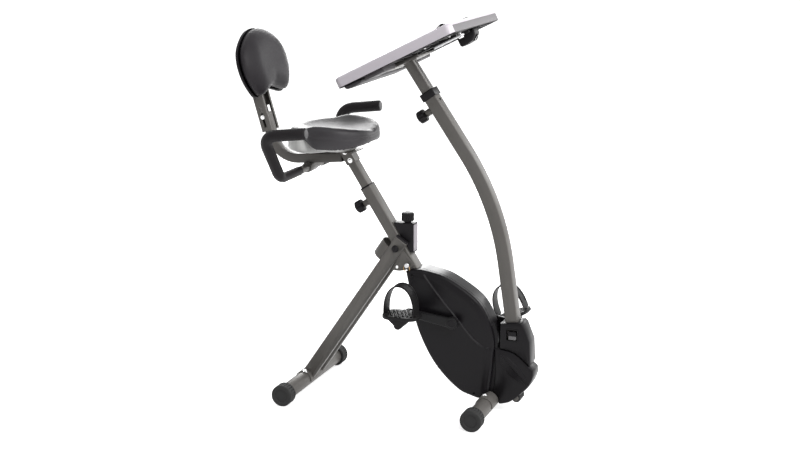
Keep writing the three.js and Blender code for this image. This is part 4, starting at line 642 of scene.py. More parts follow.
def material_of(finish: Finish) -> bpy.types.Material:
    """The material of a finish, made once.

    Args:
        finish: The finish.

    Returns:
        The material.
    """
    if finish.name in bpy.data.materials:
        return bpy.data.materials[finish.name]
    material = bpy.data.materials.new(finish.name)
    material.use_nodes = True
    tree = material.node_tree
    shader = tree.nodes["Principled BSDF"]
    shader.inputs["Metallic"].default_value = finish.metallic
    shader.inputs["Specular IOR Level"].default_value = finish.shine
    shader.inputs["Sheen Weight"].default_value = finish.sheen
    shader.inputs["Sheen Roughness"].default_value = 0.4
    relief = tree.nodes.new("ShaderNodeGroup")
    relief.node_tree = relief_group(finish.texture)
    relief.inputs["Color"].default_value = (*finish.color, 1.0)
    relief.inputs["Roughness"].default_value = finish.roughness
    relief.inputs["Grain"].default_value = finish.grain
    relief.inputs["Relief"].default_value = finish.relief
    relief.inputs["Mottle"].default_value = finish.mottle
    tree.links.new(relief.outputs["Color"], shader.inputs["Base Color"])
    tree.links.new(relief.outputs["Roughness"], shader.inputs["Roughness"])
    tree.links.new(relief.outputs["Normal"], shader.inputs["Normal"])
    material.diffuse_color = (*finish.color, 1.0)
    return material


# Pieces


def outward(mesh: bpy.types.Mesh) -> None:
    """Turns every face of a closed mesh outwards and joins points that coincide.

    Args:
        mesh: The mesh, changed in place.
    """
    work = bmesh.new()
    work.from_mesh(mesh)
    bmesh.ops.remove_doubles(work, verts=work.verts, dist=1e-6)
    bmesh.ops.recalc_face_normals(work, faces=work.faces)
    work.to_mesh(mesh)
    work.free()


def shade(mesh: bpy.types.Mesh, angle: float) -> None:
    """Smooth shading, with edges sharper than the angle in degrees kept."""
    mesh.polygons.foreach_set("use_smooth", [True] * len(mesh.polygons))
    mesh.set_sharp_from_angle(angle=math.radians(angle))


def object_of(name: str, surface: Surface) -> Piece:
    """An object in the scene with the surface as its mesh.

    Args:
        name: The object's name.
        surface: Its points and faces.

    Returns:
        The object.
    """
    mesh = bpy.data.meshes.new(name)
    mesh.from_pydata([tuple(point) for point in surface.points], [], surface.faces)
    outward(mesh)
    made = bpy.data.objects.new(name, mesh)
    bpy.context.scene.collection.objects.link(made)
    return made


def settle(
    piece: Piece, finish: Finish, body: str, stands_for: Sequence[str] = (), angle: float = 32.0
) -> Piece:
    """Gives a piece its finish and its body, and hides the nodes that it stands for.

    Args:
        piece: The piece.
        finish: Its finish.
        body: The body that it rides on.
        stands_for: The nodes that it replaces.
        angle: Edges sharper than this many degrees stay sharp.

    Returns:
        The piece.
    """
    shade(piece.data, angle)
    piece.data.materials.clear()
    piece.data.materials.append(material_of(finish))
    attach(piece, body)
    if stands_for:
        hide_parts(*stands_for)
    log.info("%s: %s, on %s, %d faces", piece.name, finish.name, body, len(piece.data.polygons))
    return piece


def add_piece(
    name: str,
    surface: Surface,
    finish: Finish,
    body: str,
    stands_for: Sequence[str] = (),
    angle: float = 32.0,
) -> Piece:
    """Makes a finished piece from a surface.

    Args:
        name: The piece's name.
        surface: Its closed forms.
        finish: Its finish.
        body: The body that it rides on.
        stands_for: The nodes that it replaces.
        angle: Edges sharper than this many degrees stay sharp.

    Returns:
        The piece.
    """
    return settle(object_of(name, surface), finish, body, stands_for, angle)


def baked(piece: Piece) -> None:
    """Puts the result of a piece's modifiers into its mesh and takes them off.

    Args:
        piece: The piece, changed in place.
    """
    graph = bpy.context.evaluated_depsgraph_get()
    mesh = bpy.data.meshes.new_from_object(piece.evaluated_get(graph))
    piece.modifiers.clear()
    old = piece.data
    piece.data = mesh
    bpy.data.meshes.remove(old)


def carved(piece: Piece, cutters: Sequence[Surface], meeting: bool = False) -> Piece:
    """Takes the cutters' space out of a piece.

    Args:
        piece: The piece.
        cutters: The closed forms to take away.
        meeting: Whether the piece is made of forms that run into one another.

    Returns:
        The piece, with the cuts in its mesh.
    """
    tools = [object_of("cutter", surface) for surface in cutters]
    for tool in tools:
        cut = piece.modifiers.new("cut", "BOOLEAN")
        cut.operation = "DIFFERENCE"
        cut.solver = "EXACT"
        cut.use_self = meeting
        cut.object = tool
    bpy.context.view_layer.update()
    baked(piece)
    for tool in tools:
        bpy.data.objects.remove(tool)
    return piece


def swollen(piece: Piece, voxel: float, cap: float) -> Piece:
    """Fills a padded piece: an even mesh is blown up as cloth, no point further than the cap.

    Args:
        piece: The piece, a little smaller than it ends up.
        voxel: The size of the even mesh.
        cap: The furthest that a point may move.

    Returns:
        The piece, with its modifiers applied.
    """
    even = piece.modifiers.new("even", "REMESH")
    even.mode = "VOXEL"
    even.voxel_size = voxel
    baked(piece)
    before = np.array([v.co for v in piece.data.vertices])
    cloth = piece.modifiers.new("cloth", "CLOTH")
    cloth.settings.quality = 5
    cloth.settings.use_pressure = True
    cloth.settings.uniform_pressure_force = 4.0
    cloth.settings.effector_weights.gravity = 0.0
    cloth.settings.tension_stiffness = 30.0
    cloth.settings.compression_stiffness = 30.0
    for step in range(1, 21):
        bpy.context.scene.frame_set(step)
    graph = bpy.context.evaluated_depsgraph_get()
    after = np.array([v.co for v in piece.evaluated_get(graph).data.vertices])
    move = after - before
    length = np.linalg.norm(move, axis=1)[:, None]
    scale = np.minimum(1.0, cap / np.maximum(length, 1e-9))
    piece.modifiers.clear()
    piece.data.vertices.foreach_set("co", (before + move * scale).ravel())
    bpy.context.scene.frame_set(1)
    relax = piece.modifiers.new("relax", "SMOOTH")
    relax.factor = 0.5
    relax.iterations = 9
    finer = piece.modifiers.new("finer", "SUBSURF")
    finer.levels = 1
    baked(piece)
    return piece


def bell(offset: float, width: float) -> float:
    """A smooth bump that is 1 where the offset is nothing and fades over its width."""
    return math.exp(-((offset / width) ** 2))


def pressed_line(piece: Piece, line: Ring, width: float, depth: float) -> None:
    """Presses a soft seam into a padded piece along a line on its surface.

    Args:
        piece: The padded piece.
        line: Points along the seam.
        width: The seam's width.
        depth: How deep it is pressed.
    """
    tree = KDTree(len(line))
    for i, point in enumerate(line):
        tree.insert(point, i)
    tree.balance()
    piece.data.update()
    normals = [v.normal.copy() for v in piece.data.vertices]
    for vertex, normal in zip(piece.data.vertices, normals):
        distance = tree.find(vertex.co)[2]
        if distance < width * 3:
            vertex.co -= normal * depth * bell(distance, width)


def dress(node: str, finish: Finish, edge: float = 0.0006) -> None:
    """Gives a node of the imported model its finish, soft edges and smooth round faces.

    Args:
        node: The node's name.
        finish: Its finish.
        edge: The width of its soft edges.
    """
    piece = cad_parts[node]
    piece.data.materials.clear()
    piece.data.materials.append(material_of(finish))
    piece.data.polygons.foreach_set("material_index", [0] * len(piece.data.polygons))
    piece.data.polygons.foreach_set("use_smooth", [True] * len(piece.data.polygons))
    weld = piece.modifiers.new("join", "WELD")
    weld.merge_threshold = 2e-5
    soft = piece.modifiers.new("edges", "BEVEL")
    soft.width = edge
    soft.segments = 2
    soft.limit_method = "ANGLE"
    soft.angle_limit = math.radians(40)
    soft.harden_normals = True
    log.info("%s: %s, its own shape", node, finish.name)


WASHER_SHARES: Pair = (1.35, 0.18)
HEAD_SIDE_SHARE = 0.35
HEAD_ARCH_END = 1.15
RECESS_SHARES = (0.3, 0.28, 0.01)
RECESS_DEPTH_SHARE = 0.5


def bolt_head(radius: float, height: float, axes: Axes = ORIGIN) -> Surface:
    """A round head with a recess and a washer under it.

    Args:
        radius: The head's radius.
        height: How far it stands out.
        axes: Its seat and axis.

    Returns:
        The closed form.
    """
    wide, thick = WASHER_SHARES
    dome = [(radius * wide, 0.0), (radius * wide, height * thick), (radius, height * thick)]
    for t in np.linspace(0, HEAD_ARCH_END, 6):
        rise = HEAD_SIDE_SHARE + (1 - HEAD_SIDE_SHARE) * math.sin(t)
        dome.append((radius * math.cos(t), height * rise))
    top = dome[-1][1]
    floor = top - height * RECESS_DEPTH_SHARE
    rim, foot, core = (radius * share for share in RECESS_SHARES)
    return turned(axes, [(core, 0.0)] + dome + [(rim, top), (foot, floor), (core, floor)], 24)


# Repeated forms


class Layout(Enum):
    """How copies of a small form are set out."""

    ROW = "row of copies"
    FIELD = "staggered field of copies"
    MARKS = "copies at marks"


LAYOUT_INPUTS: dict[Layout, tuple[tuple[str, str], ...]] = {
    Layout.ROW: (("Count", "NodeSocketInt"), ("Start", "NodeSocketVector"), ("Step", "NodeSocketVector")),
    Layout.FIELD: (
        ("Columns", "NodeSocketInt"), ("Rows", "NodeSocketInt"), ("Pitch", "NodeSocketFloat"),
        ("Half Length", "NodeSocketFloat"), ("Half Width", "NodeSocketFloat"),
    ),
    Layout.MARKS: (),
}


def empty_tree(layout: Layout) -> Tree:
    """A geometry node tree with a layout's named inputs and no nodes but its ends.

    Args:
        layout: How the copies are set out.

    Returns:
        The tree.
    """
    tree = bpy.data.node_groups.new(layout.value, "GeometryNodeTree")
    first = (("Geometry", "NodeSocketGeometry"), ("Form", "NodeSocketObject"))
    turned_to = (("Place", "NodeSocketVector"), ("Turn", "NodeSocketVector"))
    for label, kind in (*first, *turned_to, *LAYOUT_INPUTS[layout], ("Material", "NodeSocketMaterial")):
        tree.interface.new_socket(label, in_out="INPUT", socket_type=kind)
    tree.interface.new_socket("Geometry", in_out="OUTPUT", socket_type="NodeSocketGeometry")
    tree.nodes.new("NodeGroupInput").name = "given"
    tree.nodes.new("NodeGroupOutput").name = "result"
    return tree


def row_points(tree: Tree) -> Socket:
    """The points of a straight row.

    Args:
        tree: The tree that the nodes go into.

    Returns:
        The socket with the points.
    """
    given = tree.nodes["given"].outputs
    line = tree.nodes.new("GeometryNodeMeshLine")
    line.mode = "OFFSET"
    for label, socket in (("Count", "Count"), ("Start", "Start Location"), ("Step", "Offset")):
        tree.links.new(given[label], line.inputs[socket])
    return line.outputs["Mesh"]


def field_points(tree: Tree) -> Socket:
    """The points of a staggered net, kept where they lie within an oval.

    Args:
        tree: The tree that the nodes go into.

    Returns:
        The socket with the points.
    """
    given, nodes, links = tree.nodes["given"].outputs, tree.nodes, tree.links
    grid = nodes.new("GeometryNodeMeshGrid")
    for count, size, corners in (("Columns", "Size X", "Vertices X"), ("Rows", "Size Y", "Vertices Y")):
        spans = calculation(tree, "SUBTRACT", given[count], 1.0)
        links.new(calculation(tree, "MULTIPLY", spans, given["Pitch"]), grid.inputs[size])
        links.new(given[count], grid.inputs[corners])
    here = nodes.new("GeometryNodeInputPosition")
    parts = nodes.new("ShaderNodeSeparateXYZ")
    links.new(here.outputs["Position"], parts.inputs["Vector"])
    row = calculation(tree, "ROUND", calculation(tree, "DIVIDE", parts.outputs["Y"], given["Pitch"]), 0.0)
    odd = calculation(tree, "MODULO", calculation(tree, "ABSOLUTE", row, 0.0), 2.0)
    shift = nodes.new("ShaderNodeCombineXYZ")
    half = calculation(tree, "MULTIPLY", calculation(tree, "MULTIPLY", odd, given["Pitch"]), 0.5)
    links.new(half, shift.inputs["X"])
    moved = nodes.new("GeometryNodeSetPosition")
    links.new(grid.outputs["Mesh"], moved.inputs["Geometry"])
    links.new(shift.outputs["Vector"], moved.inputs["Offset"])
    reach = []
    for axis, limit in (("X", "Half Length"), ("Y", "Half Width")):
        distance = calculation(tree, "ABSOLUTE", parts.outputs[axis], 0.0)
        share = calculation(tree, "DIVIDE", distance, given[limit])
        reach.append(calculation(tree, "POWER", share, 3.0))
    beyond = calculation(tree, "GREATER_THAN", calculation(tree, "ADD", *reach), 1.0)
    inside = nodes.new("GeometryNodeDeleteGeometry")
    inside.domain = "POINT"
    links.new(moved.outputs["Geometry"], inside.inputs["Geometry"])
    links.new(beyond, inside.inputs["Selection"])
    return inside.outputs["Geometry"]


def layout_tree(layout: Layout) -> Tree:
    """The tree that sets copies of a form out, made once.

    Args:
        layout: How the copies are set out.

    Returns:
        The tree, which ends in plain geometry with its material.
    """
    if layout.value in bpy.data.node_groups:
        return bpy.data.node_groups[layout.value]
    tree = empty_tree(layout)
    given, nodes, links = tree.nodes["given"].outputs, tree.nodes, tree.links
    copies = nodes.new("GeometryNodeInstanceOnPoints")
    form = nodes.new("GeometryNodeObjectInfo")
    form.transform_space = "ORIGINAL"
    links.new(given["Form"], form.inputs["Object"])
    links.new(form.outputs["Geometry"], copies.inputs["Instance"])
    if layout is Layout.MARKS:
        facing = nodes.new("GeometryNodeInputNamedAttribute")
        facing.data_type = "FLOAT_VECTOR"
        facing.inputs["Name"].default_value = "facing"
        align = nodes.new("FunctionNodeAlignRotationToVector")
        align.axis = "Z"
        links.new(facing.outputs["Attribute"], align.inputs["Vector"])
        links.new(align.outputs["Rotation"], copies.inputs["Rotation"])
        links.new(given["Geometry"], copies.inputs["Points"])
    else:
        points = row_points(tree) if layout is Layout.ROW else field_points(tree)
        links.new(points, copies.inputs["Points"])
    plain = nodes.new("GeometryNodeRealizeInstances")
    placed = nodes.new("GeometryNodeTransform")
    finished = nodes.new("GeometryNodeSetMaterial")
    links.new(copies.outputs["Instances"], placed.inputs["Geometry"])
    links.new(given["Place"], placed.inputs["Translation"])
    links.new(given["Turn"], placed.inputs["Rotation"])
    links.new(placed.outputs["Geometry"], plain.inputs["Geometry"])
    links.new(plain.outputs["Geometry"], finished.inputs["Geometry"])
    links.new(given["Material"], finished.inputs["Material"])
    links.new(finished.outputs["Geometry"], nodes["result"].inputs["Geometry"])
    return tree


def laid_out(
    name: str,
    layout: Layout,
    form: Surface,
    finish: Finish,
    values: dict[str, object],
    marks: Sequence[Mark] = (),
) -> Piece:
    """Runs a layout's tree and keeps the plain mesh that it makes.

    Args:
        name: The piece's name.
        layout: How the copies are set out.
        form: The small form, about the origin.
        finish: The piece's finish.
        values: The layout's own inputs by name.
        marks: Places and directions for the layout that takes them.

    Returns:
        The piece, without modifiers.
    """
    pattern = object_of(f"{name}_form", form)
    piece = object_of(name, Surface([spot for spot, _ in marks]))
    if marks:
        facing = piece.data.attributes.new("facing", "FLOAT_VECTOR", "POINT")
        facing.data.foreach_set("vector", np.array([tuple(axis) for _, axis in marks]).ravel())
    run = piece.modifiers.new("layout", "NODES")
    run.node_group = layout_tree(layout)
    given = {"Form": pattern, "Material": material_of(finish), **values}
    for item in run.node_group.interface.items_tree:
        if item.in_out == "INPUT" and item.name in given:
            run[item.identifier] = given[item.name]
    baked(piece)
    bpy.data.objects.remove(pattern)
    return piece


def row_of(
    name: str, form: Surface, finish: Finish, count: int, axes: Axes, step: Sequence[float]
) -> Piece:
    """A straight row of copies that starts at the axes, with its step along them.

    Args:
        name: The piece's name.
        form: The small form, about the origin.
        finish: Its finish.
        count: How many copies there are.
        axes: Where the row starts.
        step: From one copy to the next.

    Returns:
        The piece.
    """
    values = {"Count": count, "Step": tuple(step), "Place": tuple(axes.origin), "Turn": turn_of(axes)}
    return laid_out(name, Layout.ROW, form, finish, values)


def screws_at(name: str, form: Surface, finish: Finish, body: str, marks: Sequence[Mark]) -> Piece:
    """Copies of a screw's head at marks, as one piece."""
    return settle(laid_out(name, Layout.MARKS, form, finish, {}, marks), finish, body)


def gathered(pieces: Sequence[Piece]) -> Piece:
    """One piece that holds several pieces' meshes.

    Args:
        pieces: The pieces; all but the first are removed.

    Returns:
        The first piece, with all meshes.
    """
    work = bmesh.new()
    for piece in pieces:
        work.from_mesh(piece.data)
    first, *rest = pieces
    work.to_mesh(first.data)
    work.free()
    for piece in rest:
        bpy.data.objects.remove(piece)
    return first


# Soft pieces


@dataclass
class Seat:
    """The padded seat on its plastic shell."""

    centre_x: float = -0.215
    front_reach: float = 0.132
    rear_reach: float = 0.140
    half_width: float = 0.144
    edge_z: float = 0.817
    rear_lift: float = 0.032
    middle_z: float = 0.823
    crest_z: float = 0.865
    side_rise: float = 0.020
    nose_drop: float = 0.004
    dish_z: float = 0.858
    nose_rise: float = 0.012
    bulge: float = 0.005
    inset: float = 0.001
    skirt: float = 0.004
    squareness: float = 0.84
    sides: int = 96
    gap: float = 0.0012
    under_shares: tuple[float, ...] = (0.1, 0.5, 0.9)
    lip_rows: tuple[Pair, ...] = ((0.93, 0.003), (0.962, 0.0), (0.99, 0.004))
    wall_shares: tuple[tuple[float, float, float], ...] = (
        (1.0, 0.8, 0.2), (1.0, 0.58, 0.42), (0.996, 0.36, 0.64), (0.984, 0.18, 0.82), (0.962, 0.06, 0.94),
    )
    crest_rows: tuple[Pair, ...] = ((0.93, 1.0), (0.885, 1.5), (0.83, 0.0))
    dish_shares: tuple[tuple[float, float, float], ...] = (
        (0.74, 3.0, 1.0), (0.6, 1.0, 1.6), (0.45, 1.0, 6.0), (0.32, 0.0, 1.0), (0.1, 0.0, 1.0),
    )
    voxel: float = 0.005
    swell: float = 0.0014
    welt_share: float = 0.992
    welt: Pair = (0.0022, 0.0012)
    pan_wall: float = 0.004
    pan_gap: float = 0.0005
    pan_rim: Pair = (0.044, 0.047)
    pan_foot_shares: Pair = (0.42, 0.38)
    pan_core_share: float = 0.08

    def rear(self, turn: float) -> float:
        """How far a direction points to the rear, as a smooth share."""
        back = min(max((-math.cos(turn) - 0.04) / 0.42, 0.0), 1.0)
        return back * back * (3 - 2 * back)

    def edge(self, turn: float) -> float:
        """The height of the cover's lower edge in a direction."""
        return self.edge_z + self.rear_lift * self.rear(turn) + self.nose_rise * max(math.cos(turn), 0.0) ** 4

    def joint(self, turn: float, share: float) -> float:
        """The height of the cushion's underside."""
        return self.middle_z + (self.edge(turn) - self.middle_z) * share * share

    def crest(self, turn: float) -> float:
        """The height of the cushion's crest in a direction."""
        wing = self.side_rise * abs(math.sin(turn)) ** 0.8 * (1 - self.rear(turn) / 2)
        return self.crest_z + wing - self.nose_drop * max(math.cos(turn), 0.0)

    def spot(self, turn: float, share: float, z: float) -> Vector:
        """A point of the plan at a share of the outline's reach.

        Args:
            turn: The direction, in radians.
            share: The share of the outline's reach.
            z: The height.

        Returns:
            The point.
        """
        reach = self.front_reach if math.cos(turn) > 0 else self.rear_reach
        along = math.copysign(abs(math.cos(turn)) ** self.squareness, math.cos(turn))
        across = math.copysign(abs(math.sin(turn)) ** self.squareness, math.sin(turn))
        return place(self.centre_x + along * reach * share, across * self.half_width * share, z)

    def rings_of(self, column: Callable[[float], list[Pair]]) -> list[Ring]:
        """Rings through the stops of a column that is taken in each direction.

        Args:
            column: Gives shares of the reach with heights, for a direction.

        Returns:
            One ring for each stop.
        """
        turns = [i / self.sides * math.tau for i in range(self.sides)]
        columns = [column(t) for t in turns]
        return [[self.spot(t, *stops[i]) for t, stops in zip(turns, columns)] for i in range(len(columns[0]))]

    def cushion(self, turn: float) -> list[Pair]:
        """The cushion in one direction, from its underside up and in to its dish.

        Args:
            turn: The direction, in radians.

        Returns:
            Shares of the reach with heights.
        """
        lift = self.gap + self.inset
        lip = self.edge(turn) - self.skirt * (1 - self.rear(turn))
        crest = self.crest(turn)
        stops = [(share, self.joint(turn, share) + lift) for share in self.under_shares]
        stops += [(share, lip + rise) for share, rise in self.lip_rows]
        stops += [(share, lip * low + crest * high) for share, low, high in self.wall_shares]
        stops += [(share, crest + self.inset * raised) for share, raised in self.crest_rows]
        for share, high, low in self.dish_shares:
            stops.append((share, (crest * high + self.dish_z * low) / (high + low) - self.inset))
        return stops

    def pan(self, turn: float, bottom: float) -> list[Pair]:
        """The shell in one direction, from its foot up its outside and down its inside.

        Args:
            turn: The direction, in radians.
            bottom: The height of the shell's foot.

        Returns:
            Shares of the reach with heights.
        """
        rear = self.rear(turn)
        rim = 1 - (self.pan_rim[0] - self.pan_rim[1] * rear) / self.half_width
        foot = self.pan_foot_shares[0] + self.pan_foot_shares[1] * rear
        waist = (foot + rim * 2) / 3 + 0.25 * rear / 3
        waist_z = bottom + (self.edge(turn) - bottom) * (1 - rear * 0.6) / 2
        top = self.joint(turn, rim) - self.pan_gap
        thin, floor = self.pan_wall / self.half_width, bottom + self.pan_wall
        outside = smooth_line([(foot, bottom), (waist, waist_z), (rim, top - 0.01), (rim, top)], 12)
        inside = [(rim - thin, self.joint(turn, rim - thin) - self.pan_gap)]
        inside += [(waist - thin, waist_z + self.pan_wall), (foot - thin, floor)]
        return [(foot * self.pan_core_share, bottom), *outside, *inside, (foot * self.pan_core_share, floor)]

    def build(self) -> None:
        """Makes the cushion with its welt, and the pale shell that shows behind and below it."""
        form = ringed(self.rings_of(self.cushion))
        piece = swollen(object_of("seat_pad", form), self.voxel, self.swell)
        welt = []
        for i in range(400):
            turn = i / 400 * math.tau
            height = (self.edge(turn) * 1.5 + self.crest(turn)) / 2.5 + self.bulge
            welt.append(self.spot(turn, self.welt_share, height))
        pressed_line(piece, welt, *self.welt)
        # The seat takes the lighter leather copy, a painted highlight.
        settle(piece, SEAT_LEATHER_PAINTED_SHEEN, "seat", ["seat_cushion"], 180)
        low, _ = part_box("seat_shell")
        shell = ringed(self.rings_of(lambda turn: self.pan(turn, low.z)))
        add_piece("seat_pan", shell, SEAT_SHELL, "seat", ["seat_shell"], 50)


@dataclass
class Backrest:
    """The egg-shaped pad on its shell, on the rail's upright."""

    rail_front: Pair = (-0.192, 0.771)
    rail_slope: float = 5.0
    rail_run: float = 0.226
    lean: float = 16.2
    middle_z: float = 1.060
    forward_offset: float = 0.0173
    half_width: float = 0.150
    above: float = 0.100
    thickness: float = 0.046
    shell: float = 0.009
    rim: float = 0.005
    sides: int = 120
    half_shares: tuple[Pair, ...] = (
        (0.42, 0.86), (0.83, 0.46), (0.985, 0.04), (0.98, -0.45), (0.85, -0.86), (0.69, -1.13),
        (0.52, -1.16), (0.23, -1.05),
    )
    notch_share: float = 0.97
    dome_shares: Pair = (4.2, 0.48)
    ridge: tuple[float, float, float] = (0.0022, 0.56, 0.13)
    dish: float = 0.003
    dish_height: float = 0.1
    dish_widths: Pair = (0.42, 0.9)
    lumbar: float = 0.002
    lumbar_place: Pair = (0.7, 0.35)
    fullness: float = 0.95
    under_rows: tuple[Pair, ...] = ((0.1, 0.002), (0.6, 0.002), (0.925, 0.002))
    edge_rows: tuple[Pair, ...] = ((0.955, 0.0), (0.97, 0.006))
    face_shares: tuple[float, ...] = (
        0.985, 0.978, 0.965, 0.945, 0.915, 0.87, 0.82, 0.75, 0.66, 0.55, 0.42, 0.28, 0.12,
    )
    back_rows: tuple[Pair, ...] = ((0.1, 0.0), (0.6, 0.0), (0.88, 0.0015), (0.96, 0.0035))
    lip_rows: tuple[Pair, ...] = (
        (1.0, 0.0), (0.995, 0.0035), (0.982, 0.0042), (0.965, 0.003), (0.94, 0.0), (0.5, 0.0), (0.1, 0.0),
    )
    voxel: float = 0.005
    swell: float = 0.0025
    boss_across: float = 0.052
    boss_rises: Pair = (-0.045, 0.03)
    boss_level: float = 0.0008
    boss: Levels = (0.0075, -0.001, 0.0024, 0.001)
    seam_share: float = 0.982
    seam_level: float = 0.0115
    seam: Pair = (0.0022, 0.0014)

    def axes(self) -> Axes:
        """The pad's place: across, up the upright and forward.

        Returns:
            The axes, with the third one forward.
        """
        slope = math.radians(self.rail_slope)
        corner_x = self.rail_front[0] - math.cos(slope) * self.rail_run
        corner_z = self.rail_front[1] - math.sin(slope) * self.rail_run
        up_x, up_z = leaning(self.lean)
        run = (self.middle_z - corner_z) / up_z
        forward = Vector((up_z, 0.0, -up_x))
        middle = place(corner_x + up_x * run, 0.0, self.middle_z) + forward * self.forward_offset
        return Axes(middle, ACROSS, Vector((up_x, 0.0, up_z)), forward)

    def outline(self) -> list[Pair]:
        """The pad's outline, wide above with a notch below.

        Returns:
            Pairs across and up.
        """
        right = [(a * self.half_width, b * self.above) for a, b in self.half_shares]
        left = [(-a, b) for a, b in reversed(right)]
        notch = (0.0, -self.notch_share * self.above)
        return smooth_line([(0.0, self.above), *right, notch, *left], self.sides, closed=True)

    def front(self, across: float, rise: float, share: float) -> float:
        """How far forward the pad's face stands at a place.

        Args:
            across: The place across the pad.
            rise: The place up the pad.
            share: Its share of the outline.

        Returns:
            The distance from the upright.
        """
        reach, height = abs(across) / self.half_width, rise / self.above
        dome = self.thickness * (1 - share ** self.dome_shares[0]) ** self.dome_shares[1]
        tall, at, width = self.ridge
        ridge = tall * bell(reach - at, width)
        wide, high = self.dish_widths
        dish = self.dish * bell(reach, wide) * bell(height - self.dish_height, high)
        below, spread = self.lumbar_place
        lumbar = self.lumbar * bell(height + below, spread)
        swell = max(dome - dish + (ridge + lumbar) * (1 - share**4), 0.0)
        return self.shell + self.rim + swell * self.fullness

    def rings_of(self, axes: Axes, rows: Sequence[Pair], level: float) -> list[Ring]:
        """Rings at shares of the outline.

        Args:
            axes: The pad's place.
            rows: Each ring's share of the outline, and how far forward it lies.
            level: Where forward is counted from.

        Returns:
            The rings.
        """
        outline = self.outline()
        return [[axes.spot(a * k, b * k, level + forward) for a, b in outline] for k, forward in rows]

    def build(self) -> None:
        """Makes the pad, its seam and the shell behind it."""
        axes, outline = self.axes(), self.outline()
        face = self.shell + self.rim
        rings = self.rings_of(axes, self.under_rows, self.shell) + self.rings_of(axes, self.edge_rows, face)
        for k in self.face_shares:
            rings.append([axes.spot(a * k, b * k, self.front(a * k, b * k, k)) for a, b in outline])
        piece = swollen(object_of("back_pad", ringed(rings)), self.voxel, self.swell)
        line = self.rings_of(axes, [(self.seam_share, self.seam_level)], face)[0]
        pressed_line(piece, line, *self.seam)
        settle(piece, LEATHER, "backrest", ["backrest_pad"], 180)
        back = self.rings_of(axes, [*self.back_rows, (0.99, self.rim)], 0.0)
        back += self.rings_of(axes, self.lip_rows, self.shell)
        shell = together([ringed(back), self.shell_ribs(axes)])
        add_piece("back_shell", shell, PLASTIC, "backrest", ["backrest_shell"], 50)

    def shell_ribs(self, axes: Axes) -> Surface:
        """Screw bosses on the shell's back, either side of the bracket.

        Args:
            axes: The pad's place.

        Returns:
            The bosses.
        """
        bosses = []
        for across in (-self.boss_across, self.boss_across):
            for rise in self.boss_rises:
                head = axes_about(axes.spot(across, rise, self.boss_level), -axes.w)
                bosses.append(turned(head, soft_disc(*self.boss), 28))
        return together(bosses)


# Desk


